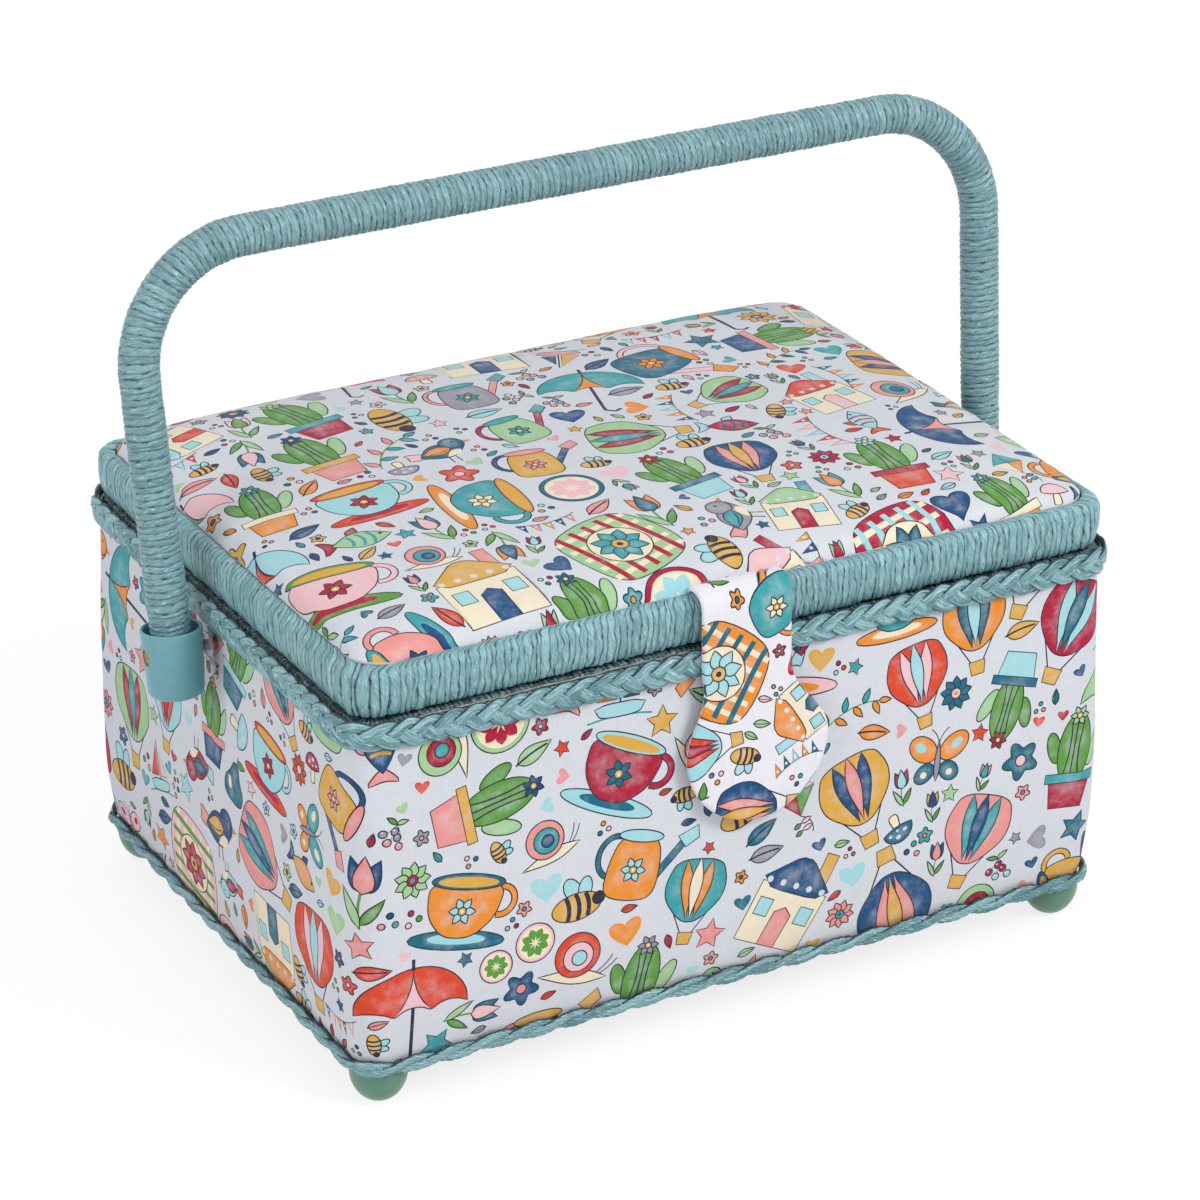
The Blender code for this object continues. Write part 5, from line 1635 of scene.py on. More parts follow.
@dataclass
class BoxBody:
    """The covered box: the printed cover over its wadding, the lining, the plaits and the feet."""

    rect: RoundedRect = RoundedRect()
    share_z: tuple[float, ...] = (0.0, 0.029, 0.12, 0.19, 0.30, 0.48, 0.66, 0.82, 1.0)
    share_out: tuple[float, ...] = (-0.875, -0.44, 0.42, 0.86, 1.00, 0.94, 0.70, 0.30, 0.0)
    hem: float = 0.0010
    top_plait_z: float = 0.1225
    low_cord_z: float = 0.0147
    foot_radius: float = 0.0088
    foot_height: float = 0.0126
    foot_inset: float = 0.0098
    foot_flat: float = 0.0032
    bead_radius: float = 0.0040
    bead_length: float = 0.0025
    ball_radius: float = 0.00285
    plait_repeat: float = 0.0212
    plait_half: float = 0.00222
    plait_deep: float = 0.00090
    cord_repeat: float = 0.0260
    cord_half: float = 0.00164
    cord_deep: float = 0.00106
    lining_low: float = 0.0173
    floor_in: float = -0.0300
    face_in: float = -0.0079
    back_in: float = -0.0071
    thread_z: float = 0.12675
    edge_z: float = 0.1257

    def wall_curve(self, inset: float = 0.0, steps: int = 60) -> Arrays:
        """The wall's profile: a smooth curve through the model's stations.

        Args:
            inset: How far under the cloth's face.
            steps: Points on it.

        Returns:
            Arc lengths, outsets and heights.
        """
        share = np.linspace(0, 1, steps)
        z = BOX.cover_low + (BOX.cover_top - BOX.cover_low) * share
        out = hermite(share, self.share_z, self.share_out) * BOX.bulge - inset
        run = np.concatenate([[0], np.cumsum(np.hypot(np.diff(z), np.diff(out)))])
        return run, out, z

    def cover(self) -> Piece:
        """The printed cloth: a strip of arc length by way round, turned in at both edges and joined at the
        back. Its outset is the wall's curve plus soft hollows and the folds under the pivots."""
        run, out, z = self.wall_curve()
        height, around = float(run[-1]), self.rect.length
        panel = PrintPanel((0.0, 0.0), (around, height), 41, blank_ends=SEAM_BLANK).fill()
        pivots = self.rect.breaks[2] + (self.rect.breaks[3] - self.rect.breaks[2]) / 2
        pivots = (pivots, around - pivots)
        columns = self.rect.columns(0.0042, 0.0016)
        dense = np.concatenate([pivot + np.linspace(-0.0150, 0.0150, 31) for pivot in pivots])
        clear = np.min(np.abs(columns[:, None] - dense[None, :]), axis=1) > 0.0006
        columns = np.sort(np.append(columns[clear], dense))
        rows = np.linspace(0, height, 30)
        low, high = np.stack([columns, 0 * columns], -1), np.stack([columns[::-1], 0 * columns + height], -1)
        up = np.stack([0 * rows + around, rows], -1)[1:-1]
        down = np.stack([0 * rows, rows[::-1]], -1)[1:-1]
        border = np.concatenate([low, up, high, down])
        inner = np.stack(np.meshgrid(columns[1:-1], rows[1:-1], indexing="ij"), -1).reshape(-1, 2)
        soft, fold = Wobble(5), Wobble(6)

        def lift(flat: Array) -> Array:
            """The cover's place for a flat place."""
            u, v = flat[:, 0], flat[:, 1]
            free = smooth(v, 0.004, 0.022) * smooth(height - v, 0.012, 0.030)
            outset = np.interp(v, run, out) + free * 0.00042 * soft.plane(u / 0.052, v / 0.044)
            outset = outset + free * 0.00018 * soft.plane(u / 0.017 + 90, v / 0.023)
            for pivot in pivots:
                away, drop = u - pivot, (BOX.pivot_z - 0.003) - np.interp(v, run, z)
                near = np.exp(-((away / 0.010) ** 2)) * smooth(drop, -0.004, 0.004)
                near = near * (1 - smooth(drop, 0.012, 0.055))
                spread = away / (1 + np.maximum(drop, 0) / 0.05)
                outset = outset + near * 0.00042 * np.cos(spread / 0.00095 + 0.6 * fold.line(drop / 0.014))
            x, y = self.rect.at(u, outset)
            return np.stack([x, y, np.interp(v, run, z)], -1)

        def close(points: Array, faces: Array, flat_places: Array) -> tuple[Array, list[Array], Array]:
            """The seam joined at the back, and a narrow hem turned in at both edges."""
            along, up_wall = flat_places.T
            start = np.flatnonzero(np.abs(along) < 1e-6)
            end = np.flatnonzero(np.abs(along - around) < 1e-6)
            relabel = np.arange(len(flat_places))
            relabel[end[np.argsort(up_wall[end])]] = start[np.argsort(up_wall[start])]
            faces = relabel[faces]
            edges = border_edges(faces)
            away = (points - (0, BOX.centre_y, 0))[:, :2]
            hem_points = points.copy()
            hem_points[:, :2] += -away / np.linalg.norm(away, axis=1)[:, None] * self.hem
            hem_points[:, 2] += np.where(points[:, 2] > 0.06, -0.0002, 0.0002)
            hems = skirt(edges, len(points))
            hem_uv = np.concatenate([flat_places, flat_places])[hems].reshape(-1, 2)
            return np.concatenate([points, hem_points]), [faces, hems], hem_uv

        piece = cloth_piece("printed_cover", panel, border, inner, lift, close)
        return finish_piece(piece, "cloth", Body.BOX, "outer_cover", fill=0.6)

    def wadding(self) -> list[Piece]:
        """Four sheets of wadding that swell with the wall: a closed slab on a grid, soft at its edges."""
        _, out, z = self.wall_curve(0.0012, 24)
        made = []
        walls = (("front", True, -1), ("back", True, 1), ("left", False, -1), ("right", False, 1))
        for side, along_x, sign in walls:
            length = (BOX.half_x if along_x else BOX.half_y) - BOX.corner
            face = BOX.half_y if along_x else BOX.half_x
            u = np.linspace(-length, length, 40)[:, None]
            lumps = Wobble(len(side)).plane(u / 0.012, z[None, :] / 0.012) * 0.00012
            edge = smooth(length - np.abs(u), 0, 0.003)
            edge = edge * smooth(np.minimum(z - z[0], z[-1] - z), 0, 0.003)[None, :]
            near = face - 0.0034
            thick = (out[None, :] + lumps + 0.0034 - 0.0003) * (0.25 + 0.75 * edge) + 0.0001
            outer = np.stack(np.broadcast_arrays(u, near + thick, z[None, :]), -1)
            inner = np.stack(np.broadcast_arrays(u, near + 0 * thick, z[None, :]), -1)
            both = np.concatenate([outer, inner[:, ::-1]], axis=1)
            quads, _ = grid(both.shape[0], both.shape[1], False, True)
            ends = self.slab_ends(both.shape[0], both.shape[1])
            points = both.reshape(-1, 3)
            points = points * (1, sign, 1) if along_x else points[:, [1, 0, 2]] * (sign, 1, 1)
            points = points + (0, BOX.centre_y, 0)
            piece = mesh_piece(f"{side}_padding", points, [quads, ends])
            face_out(piece)
            made.append(finish_piece(piece, "wadding", Body.BOX, f"{side}_wadding", fill=0.4))
        return made

    @staticmethod
    def slab_ends(n_u: int, n_v: int) -> Array:
        """Faces that close a slab's two ends, between its outer and inner halves."""
        half = n_v // 2
        near = [(j, j + 1, n_v - 2 - j, n_v - 1 - j) for j in range(half - 1)]
        base = (n_u - 1) * n_v
        far = [(base + n_v - 1 - j, base + n_v - 2 - j, base + j + 1, base + j) for j in range(half - 1)]
        return np.array(near + far)

    def lining(self) -> Piece:
        """The lining: a thin open box of cloth with a rolled top edge over the boards, slightly puckered.
        Each ring is a rounded rectangle at an inset and a height, and both floors close to a middle point."""
        low, top = self.lining_low, BOX.body_top
        floor = low + 0.0008
        rings = [(self.floor_in, floor), (-0.0110, floor), (-0.0085, low + 0.0010)]
        rings.append((self.face_in, low + 0.0022))
        rings += [(self.face_in, z) for z in np.linspace(low + 0.010, top - 0.004, 12)]
        rings += [(self.face_in, top - 0.0006), (-0.0077, top + 0.0001), (-0.0074, top + 0.0002)]
        rings += [(self.back_in, top), (self.back_in, top - 0.004), (self.back_in, low + 0.002)]
        rings += [(-0.0073, low), (self.floor_in, low)]
        out = np.array([ring[0] for ring in rings])
        z = np.array([ring[1] for ring in rings])
        columns = self.rect.columns(0.0050, 0.0020)[:-1]
        distance, outset = np.broadcast_arrays(columns[:, None], out[None, :])
        wall = smooth(z, low + 0.008, low + 0.03) * (1 - smooth(z, top - 0.01, top - 0.003))
        wall = wall * (outset < self.face_in + 0.0001)
        outset = outset - wall * 0.0004 * (1 + Wobble(21).loop(columns / self.rect.length, 70))[:, None]
        corner = np.full(outset.shape, 0.0029)
        x, y = self.rect.at(distance, outset, corner)
        points = np.stack([x, y, np.broadcast_to(z, x.shape)], -1)
        n_u, n_v = points.shape[:2]
        quads, spots = grid(n_u, n_v, True, False)
        run = np.append(np.cumsum(np.abs(np.gradient(z)) + 0.001), 0)
        flat_places = table(np.append(columns, self.rect.length), run)
        middles = np.array([(0, BOX.centre_y, floor), (0, BOX.centre_y, low)])
        base = n_u * n_v
        index = np.arange(n_u)
        ahead = (index + 1) % n_u
        over = np.stack([ahead * n_v, index * n_v, np.full(n_u, base)], -1)
        under = np.stack([index * n_v + n_v - 1, ahead * n_v + n_v - 1, np.full(n_u, base + 1)], -1)
        points = np.concatenate([points.reshape(-1, 3), middles])
        fans = np.concatenate([over, under])
        uv = np.concatenate([turned(flat_places[spots], 4), turned(points[fans].reshape(-1, 3)[:, :2])])
        piece = mesh_piece("lining_box", points, [quads[:, ::-1], fans[:, ::-1]], uv)
        return finish_piece(piece, "lining", Body.BOX, "inner_lining", fill=0.2)

    def top_plait(self) -> Piece:
        """The plait round the top: three flat strands, each a sine in height and a double sine in outset."""
        band = StrandBand(self.rect)
        repeats = round(self.rect.length / self.plait_repeat)
        noise = Wobble(31)

        def centre(share: Array, lag: float) -> tuple[Array, Array]:
            """Outset and height of a strand's middle, which lags behind the first by a share of a repeat."""
            phase = math.tau * (repeats * share + lag + 0.045 * noise.loop(share, 60))
            height = self.top_plait_z + 0.00250 * np.sin(phase) + 0.00032 * noise.loop(share + lag, 97)
            x, y = self.rect.at(share * self.rect.length)
            height = height - 0.0020 * band.hinges(share * self.rect.length)
            lift = smooth(x, -0.024, 0.014) * (1 - 0.45 * smooth(x, 0.07, 0.12)) * smooth(-y, 0.06, 0.09)
            height = height + 0.0019 * lift + 0.0009 * smooth(-x, 0.10, 0.12)
            return 0.00142 + 0.00055 * np.sin(2 * phase + 0.5), height

        half, deep = self.plait_half, self.plait_deep
        strands = [
            band.strand(1150, partial(centre, lag=k / 3), half, deep, 4, 26, 0.0, 51 + k) for k in range(3)
        ]
        return finish_piece(joined_strands("top_plait", strands), "braid cord", Body.BOX, "top_braid")

    def low_cord(self) -> Piece:
        """The loose two-ply cord round the bottom: each ply winds round the middle on an ellipse."""
        band = StrandBand(self.rect)
        turns = round(self.rect.length / self.cord_repeat)
        noise = Wobble(32)

        def centre(share: Array, lag: float) -> tuple[Array, Array]:
            """Outset and height of a ply's middle, which lags behind the first by a share of a turn."""
            phase = math.tau * (turns * share + lag + 0.05 * noise.loop(share, 45))
            height = self.low_cord_z + 0.00118 * np.sin(phase) + 0.00020 * noise.loop(share, 83)
            return 0.00052 + 0.00050 * np.cos(phase), height

        half, deep, twist = self.cord_half, self.cord_deep, turns * 1.6
        strands = [
            band.strand(1300, partial(centre, lag=k / 2), half, deep, 6, 32, twist, 61 + k) for k in range(2)
        ]
        return finish_piece(joined_strands("low_cord", strands), "braid cord", Body.BOX, "bottom_braid")

    def pale_thread(self) -> Piece:
        """The thin light thread that is laid along the plait's upper edge, in the gap under the rim."""
        band = StrandBand(self.rect)
        noise = Wobble(33)

        def centre(share: Array) -> Arrays:
            """Outset and height at a share of the way."""
            height = self.thread_z + 0.00026 * noise.loop(share, 150)
            height = height - 0.0010 * band.hinges(share * self.rect.length)
            return 0.00040 + 0.00030 * noise.loop(share, 170), height

        piece = joined_strands("pale_thread", [band.strand(1400, centre, 0.00030, 0.00026, 4, 10, 420.0, 71)])
        return finish_piece(piece, "thread", Body.BOX)

    def edge_cord(self) -> Piece:
        """A cord laid over the boards' top edge, from the plait to the lining, dark as painted shade for the
        gap
        under the rim: a low round section whose strands cross it side by side, with uneven ends, lowered
        under the hinges."""
        steps, sides = 1900, 11
        share = np.arange(steps) / steps
        noise = Wobble(34)
        phase = share * round(self.rect.length / 0.0016) + 0.3 * noise.loop(share, 300)
        ridge = np.abs(np.sin(math.pi * phase))[:, None]
        angle = math.pi * np.arange(sides - 1)[None, :] / (sides - 2)
        low = self.edge_z
        hinge = StrandBand(self.rect).hinges(share * self.rect.length)
        crest = (0.00072 + 0.00018 * noise.loop(share, 700) - 0.0005 * hinge)[:, None] * (0.62 + 0.38 * ridge)
        end = 0.00045 * noise.loop(share, 900)[:, None] * (np.cos(angle) > 0)
        outset = -0.0042 + (0.0036 + end) * np.cos(angle)
        height = low - 0.0018 * smooth(np.cos(angle), 0.75, 1.0) + 0.0004 + crest * np.sin(angle) ** 0.5
        middle = np.full((steps, 1), -0.0038)
        outset, height = np.append(outset, middle, 1), np.append(height, middle * 0 + low, 1)
        x, y = self.rect.at((share * self.rect.length)[:, None], outset)
        points = np.stack([x, y, height], -1)
        tint = np.broadcast_to(0.5 + 0.5 * noise.loop(share, 800)[:, None], height.shape)
        # The ridge, as the strand attribute's height, darkens the gaps between strands as painted shade.
        strand = strand_rows(ridge, tint, 1.0)
        across = np.append(np.append(angle[0] * 0.004, 0.014), 0.018)
        flat = table(np.append(share, 1.0) * self.rect.length, across)
        piece = joined_strands("edge_cord", [(points[:, ::-1], strand[:, ::-1], flat)])
        return finish_piece(piece, "shaded cord", Body.BOX)

    def feet(self) -> list[Piece]:
        """Four moulded dome feet: an arc from a small flat to the widest ring, then a short neck."""
        start = math.asin(self.foot_flat / self.foot_radius)
        dome = self.foot_height - 0.0030
        angles = np.linspace(start, math.pi / 2, 16)
        profile = [(0, 0.0002), (self.foot_flat * 0.7, 0.0002), (self.foot_flat * 0.92, 0.00006)]
        wide, top = self.foot_radius, self.foot_height
        profile += [(wide * math.sin(a), dome * (1 - math.cos(a) / math.cos(start))) for a in angles]
        profile += [(wide, top - 0.0006), (wide - 0.0006, top), (0.0016, top), (0.0016, top - 0.0080)]
        profile.append((0, top - 0.0080))
        made = []
        for end, sign_y in (("front", -1), ("back", 1)):
            for side, sign_x in (("left", -1), ("right", 1)):
                x = sign_x * (BOX.half_x - self.foot_inset)
                y = sign_y * (BOX.half_y - self.foot_inset) + BOX.centre_y
                points, faces = lathe(np.array(profile), (x, y, 0), (0, 0, 1), 56)
                piece = mesh_piece(f"{end}_{side}_dome_foot", points, faces, sharp=40)
                made.append(finish_piece(piece, "foot", Body.BOX, f"foot_{end}_{side}"))
        return made

    def beads(self) -> list[Piece]:
        """The clear beads between the wall and the cups: a barrel with a narrow bore."""
        made = []
        low = BOX.half_x + BOX.bulge + 0.0003
        length, radius = self.bead_length, self.ball_radius
        bead = [(0.0015, low)]
        for share in np.linspace(-1, 1, 15):
            wide = self.bead_radius * math.sqrt(1 - 0.616 * share * share)
            bead.append((wide, low + length * (share + 1) / 2))
        bead.append((0.0015, low + length))
        angles = np.linspace(0, math.pi, 17)
        ball = [(radius * math.sin(a), low + length / 2 * (1 - math.cos(a))) for a in angles]
        for side, sign in (("left", -1), ("right", 1)):
            points, faces = lathe(bead, (0, BOX.centre_y, BOX.pivot_z), (sign, 0, 0), 40, closed=True)
            piece = mesh_piece(f"{side}_clear_bead", points, faces, sharp=40)
            made.append(finish_piece(piece, "clear", Body.BOX, f"{side}_spacer"))
            points, faces = lathe(ball, (0, BOX.centre_y - 0.0018, BOX.pivot_z - 0.0064), (sign, 0, 0), 40)
            made.append(finish_piece(mesh_piece(f"{side}_clear_ball", points, faces), "clear", Body.BOX))
        return made

    def build(self) -> None:
        """Makes every piece that stays with the box."""
        for make in (
            self.cover, self.wadding, self.lining, self.top_plait, self.low_cord, self.pale_thread,
            self.edge_cord, self.feet, self.beads,
        ):
            make()


@dataclass
class Lid:
    """The padded lid: its whipped rim, the crowned pad, and the lined inside with a pocket and a pin
    cushion."""

    rect: RoundedRect = RoundedRect()
    round_top: float = 0.0040
    tuck: float = 0.0021
    tuck_height: float = 0.0066
    tuck_power: float = 1.8
    low_end: float = -0.0056
    top_end: float = -0.0042
    strand_width: float = 0.00208
    ridge: float = 0.00042
    hang: float = 0.0014
    crown: float = 0.0100
    side: float = 0.0009
    power_x: float = 5.5
    power_y: float = 4.0
    shoulder: float = 0.40

    def rim_curve(self, count: int) -> Arrays:
        """The rim's outer profile, from under its foot up its drawn-in side and over its round top to the
        pad, by arc length.

        Args:
            count: Points on it.

        Returns:
            Arc length, outset, height, and the outward direction's two parts.
        """
        low, high = BOX.rim_low, BOX.rim_top
        foot = [(self.low_end, low + 0.0003), (-0.0042, low + 0.0001), (-self.tuck - 0.0006, low + 0.0002)]
        share = np.linspace(0.05, 1, 10)
        side = [(-self.tuck * (1 - s) ** self.tuck_power, low + self.tuck_height * s) for s in share]
        top = arc(self.round_top, (-self.round_top, high - self.round_top), 0, 90, 10)
        back = [(-self.round_top - 0.0001, high), (self.top_end, high - 0.0001)]
        dense = np.array(foot + side + top + back)
        run = np.concatenate([[0], np.cumsum(np.hypot(*np.diff(dense, axis=0).T))])
        at = np.linspace(0, run[-1], count)
        out, z = np.interp(at, run, dense[:, 0]), np.interp(at, run, dense[:, 1])
        out, z = (np.convolve(np.pad(line, 1, mode="edge"), (0.25, 0.5, 0.25), "valid") for line in (out, z))
        step_out, step_z = np.gradient(out, at), np.gradient(z, at)
        size = np.hypot(step_out, step_z)
        return at, out, z, step_z / size, -step_out / size

    def whipping(self) -> Piece:
        """The cord whipped over the rim: strands side by side along the way round, each a ridge of half an
        ellipse carried over the rim's profile, spread on the corners with painted shade between them."""
        phases = np.array((0.0, 0.09, 0.22, 0.38, 0.54, 0.69, 0.83, 0.93))
        length = self.rect.length
        line = np.linspace(0, length, 4000)
        density = 1 / (self.strand_width * (1 + 0.62 * self.rect.cornering(line, 0.006)))
        total = np.concatenate([[0], np.cumsum((density[1:] + density[:-1]) / 2 * np.diff(line))])
        count = int(round(total[-1]))
        rng = np.random.default_rng(17)
        jitter = rng.normal(0, 0.16, count)
        jitter[0] = 0
        edges = np.interp((np.arange(count) + jitter) * total[-1] / count, total, line)
        edges = np.sort(edges)
        widths = np.diff(np.append(edges, length + edges[0]))
        distance = (edges[:, None] + widths[:, None] * phases[None, :]).reshape(-1)
        strand = np.repeat(np.arange(count), len(phases))
        phase = np.tile(phases, count)
        rows = 28
        at, out, z, out_n, z_n = self.rim_curve(rows)
        noise = Wobble(18)
        share = distance / length
        slant = (0.00055 + 0.00028 * noise.loop(share, 140))[:, None] * (at / at[-1] - 0.5)[None, :]
        slant = slant + 0.00016 * noise.plane(strand[:, None] * 0.37, at[None, :] / 0.004)
        slant = slant + 0.00050 * noise.plane((strand + phase)[:, None] + 300, at[None, :] / 0.0034)
        ridge = (1 - np.abs(2 * phase - 1) ** 2.3) ** 0.5
        ends = (smooth(at, 0, 0.001) * (1 - smooth(at, at[-1] - 0.0014, at[-1]) * 0.55))[None, :]
        lift = rng.normal(0, 0.00007, count)[strand][:, None]
        wave = 0.00005 * noise.plane(strand[:, None] * 3.1 + 50, at[None, :] / 0.0022)
        height = (ridge[:, None] * self.ridge + lift + wave) * ends - self.ridge * 0.86
        spread = self.rect.cornering(distance, 0.002)[:, None]
        height = height - spread * (1 - ridge[:, None]) * 0.0006 * ends
        outset = out[None, :] + height * out_n[None, :]
        top = smooth(at, at[-1] - 0.0030, at[-1])[None, :]
        corner = np.maximum(self.rect.radius + np.minimum(outset, 0.002), 0.0008)
        corner = corner + (BOX.pad_corner - corner) * top
        x, y = self.rect.at(distance[:, None] + slant, outset, corner)
        hang = self.hang + rng.uniform(-0.0004, 0.0002, count)[strand]
        hang = hang * (1 - StrandBand(self.rect).hinges(distance))
        fall = hang[:, None] * (1 - smooth(z, BOX.rim_low + 0.0004, BOX.rim_low + 0.0085))[None, :]
        points = np.stack([x, y, z[None, :] + height * z_n[None, :] - fall], -1)
        tint = np.clip(0.5 + 0.10 * rng.normal(0, 1, count)[strand], 0, 1)[:, None]
        near = 1 - np.abs(2 * phase - 1)
        # Painted shade: the strand attribute's height drops a little on the corners and, through under, near
        # the rim's foot, which darkens the cord there.
        depth = np.broadcast_to(near[:, None] * (0.90 + 0.1 * (1 - spread)), points.shape[:2])
        under = 0.55 + 0.45 * smooth(at, 0.0015, 0.0060)[None, :]
        ply = (phase + rng.uniform(0, 1, count)[strand])[:, None] / 2
        attribute = strand_rows(depth * under, tint, ply)
        quads, spots = grid(len(distance), rows, True, True)
        flat = table(np.append(at, at[-1] + 0.004), np.append(distance, length)).reshape(rows + 1, -1, 2)
        flat = flat.transpose(1, 0, 2).reshape(-1, 2)
        piece = mesh_piece("rim_cord", points, quads, flat[spots], None, attribute)
        return finish_piece(piece, "rim cord", Body.LID, "rim_whipping")

    def pad_height(self, x: Array, y: Array) -> Array:
        """The pad's height over its edge: the side, plus the crown times a rounded shoulder each way."""
        half_x, half_y = BOX.half_x - BOX.pad_inset, BOX.half_y - BOX.pad_inset
        rise_x = np.maximum(0, 1 - np.abs(x / half_x) ** self.power_x) ** self.shoulder
        rise_y = np.maximum(0, 1 - np.abs(y / half_y) ** self.power_y) ** self.shoulder
        return self.side + self.crown * rise_x * rise_y

    def run_table(self, half: float, height: Callable[[Array], Array]) -> Arrays:
        """Places across the pad and the cloth's arc lengths over its crown there."""
        place = half * np.sin(np.linspace(-math.pi / 2, math.pi / 2, 1201))
        steps = np.hypot(np.diff(place), np.diff(height(place)))
        run = np.concatenate([[0], np.cumsum(steps)])
        return place, run - run[-1] / 2

    def pad(self) -> Piece:
        """The padded top: the crown's height over a rounded rectangle, drawn in and puckered round its
        edge, with the print laid by arc length and the underside closed."""
        half_x, half_y = BOX.half_x - BOX.pad_inset, BOX.half_y - BOX.pad_inset
        place_x, run_x = self.run_table(half_x, lambda x: self.pad_height(x, 0 * x))
        place_y, run_y = self.run_table(half_y, lambda y: self.pad_height(0 * y, y))
        outline = RoundedRect(half_x, half_y, BOX.pad_corner, 0.0)

        def laid(ring: RoundedRect, step: float, corner_step: float) -> Array:
            """A ring's places on the flat cloth."""
            x, y = ring.at(ring.columns(step, corner_step)[:-1])
            return np.stack([np.interp(x, place_x, run_x), np.interp(y, place_y, run_y)], -1)

        border = laid(outline, 0.0020, 0.0009)
        inner = []
        for inset in (0.00008, 0.00030, 0.00075, 0.0014, 0.0023, 0.0035, 0.0050, 0.0070, 0.0095):
            ring = RoundedRect(half_x - inset, half_y - inset, max(BOX.pad_corner - inset, 0.001), 0.0)
            inner.append(laid(ring, 0.0026 + inset * 0.3, 0.0011 + inset * 0.2))
        span_x, span_y = run_x[-1] - 0.013, run_y[-1] - 0.013
        grid_x = np.linspace(-span_x, span_x, 58)
        grid_y = np.linspace(-span_y, span_y, 42)
        inner.append(np.stack(np.meshgrid(grid_x, grid_y, indexing="ij"), -1).reshape(-1, 2))
        reach = (run_x[-1], run_y[-1])
        panel = PrintPanel((-reach[0], -reach[1]), reach, 57, throws=(300, 1700, 4600, 6400)).fill()
        soft, pucker = Wobble(7), Wobble(8)

        def lift(flat: Array) -> Array:
            """The pad's place for a flat place."""
            x, y = np.interp(flat[:, 0], run_x, place_x), np.interp(flat[:, 1], run_y, place_y)
            room_x, room_y = half_x - BOX.pad_corner, half_y - BOX.pad_corner
            out_x, out_y = np.maximum(np.abs(x) - room_x, 0), np.maximum(np.abs(y) - room_y, 0)
            inset = np.maximum(BOX.pad_corner - np.hypot(out_x, out_y), 0)
            height = self.pad_height(x, y)
            height = self.side + (height - self.side) * smooth(inset, -0.0004, 0.0024) ** 0.5
            around = np.arctan2(y / half_y, x / half_x) / math.tau + 0.5
            gather = np.exp(-((inset - 0.0042) ** 2) / 0.0042**2)
            height = height + gather * 0.00022 * pucker.loop(around, 84) * smooth(inset, 0, 0.001)
            height = height + 0.00034 * soft.plane(x / 0.038 + 9, y / 0.034) * smooth(inset, 0.002, 0.02)
            return np.stack([x, y + BOX.centre_y, BOX.pad_z + height], -1)

        def close(points: Array, faces: Array, _: Array) -> tuple[Array, list[Array], Array]:
            """A short side down to the pad's foot and a fan to its middle."""
            edges = border_edges(faces)
            count = len(points)
            foot = points.copy()
            foot[:, 2] = BOX.pad_z
            sides = skirt(edges, count)
            fan = np.stack([edges[:, 1] + count, edges[:, 0] + count, np.full(len(edges), 2 * count)], -1)
            everything = np.concatenate([points, foot, [[0, BOX.centre_y, BOX.pad_z]]])
            places = np.concatenate([everything[group].reshape(-1, 3)[:, :2] for group in (sides, fan)])
            return everything, [faces, sides, fan], places

        piece = cloth_piece("top_pad", panel, border, np.concatenate(inner), lift, close)
        return finish_piece(piece, "cloth", Body.LID, "lid_pad", fill=0.7)

    def inside_lining(self) -> Piece:
        """The lid's lining: a thin crowned cushion facing down, gathered a little round its edge."""
        half_x, half_y, top, edge, crown = 0.1189, 0.0854, 0.1384, 0.0012, 0.0022
        u, v = (np.sin(np.linspace(-math.pi / 2, math.pi / 2, count)) for count in (90, 66))
        x, y = np.meshgrid(u * half_x, v * half_y, indexing="ij")
        rise = (1 - np.abs(x / half_x) ** 5.5).clip(0) ** 0.4 * (1 - np.abs(y / half_y) ** 4).clip(0) ** 0.4
        gather = Wobble(9).plane(x / 0.006, y / 0.006) * 0.0001 * smooth(rise, 0.2, 0.6)
        gather = gather * (1 - smooth(rise, 0.9, 1))
        low = np.stack([x, y + BOX.centre_y, top - edge - crown * rise + gather], -1)
        high = np.stack([x, y + BOX.centre_y, np.full_like(x, top)], -1)
        piece = slab("under_lining", low, high, (u * half_x, v * half_y), 50, True)
        return finish_piece(piece, "lining", Body.LID, "lid_lining", fill=0.3)

    def pocket(self) -> Piece:
        """The gathered pocket on the lid's lining: pleats along its elastic edge that die out towards its
        back seam, as a thin closed slab."""
        low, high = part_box("lid_pocket")
        u = np.linspace(0, 1, 160)[:, None]
        v = np.linspace(0, 1, 30)[None, :]
        pleat = np.abs(np.sin(math.pi * 17 * u + 0.9 * Wobble(12).line(u * 9))) ** 0.8
        free = (1 - v) ** 0.7 * smooth(u, 0, 0.03) * (1 - smooth(u, 0.97, 1))
        hem = np.exp(-(((v - 0.05) / 0.035) ** 2))
        room = high.z - low.z - 0.0007
        drop = 0.0002 + room * (0.14 + 0.86 * pleat * free * (1 - 0.35 * hem))
        x = low.x + (high.x - low.x) * u + 0 * v
        y = low.y + (high.y - low.y) * v + 0.0012 * np.sin(math.pi * 17 * u) * (1 - v)
        under = np.stack(np.broadcast_arrays(x, y, high.z - 0.0005 - drop), -1)
        over = np.stack(np.broadcast_arrays(x, y, high.z - drop), -1)
        spans = (u[:, 0] * float(high.x - low.x), v[0] * float(high.y - low.y))
        piece = slab("gathered_pocket", under, over, spans, 60, False)
        return finish_piece(piece, "lining", Body.LID, "lid_pocket", fill=0.1)

    def pin_pad(self) -> Piece:
        """The round pin cushion: a dome in the same print with a flat back, on a lathe's rings."""
        low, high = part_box("pin_cushion")
        centre = ((low.x + high.x) / 2, (low.y + high.y) / 2)
        radius, height = float(high.x - low.x) / 2, float(high.z - low.z)
        corner = (radius * 1.3, radius * 1.3)
        panel = PrintPanel((-corner[0], -corner[1]), corner, 63, throws=(0, 60, 300, 900)).fill()
        angle = math.tau * np.arange(96) / 96
        reach = radius * 1.18
        border = reach * np.stack([np.cos(angle), np.sin(angle)], -1)
        inner = np.concatenate([border * s for s in (0.99, 0.96, 0.9, 0.8, 0.66, 0.5, 0.33, 0.16)])

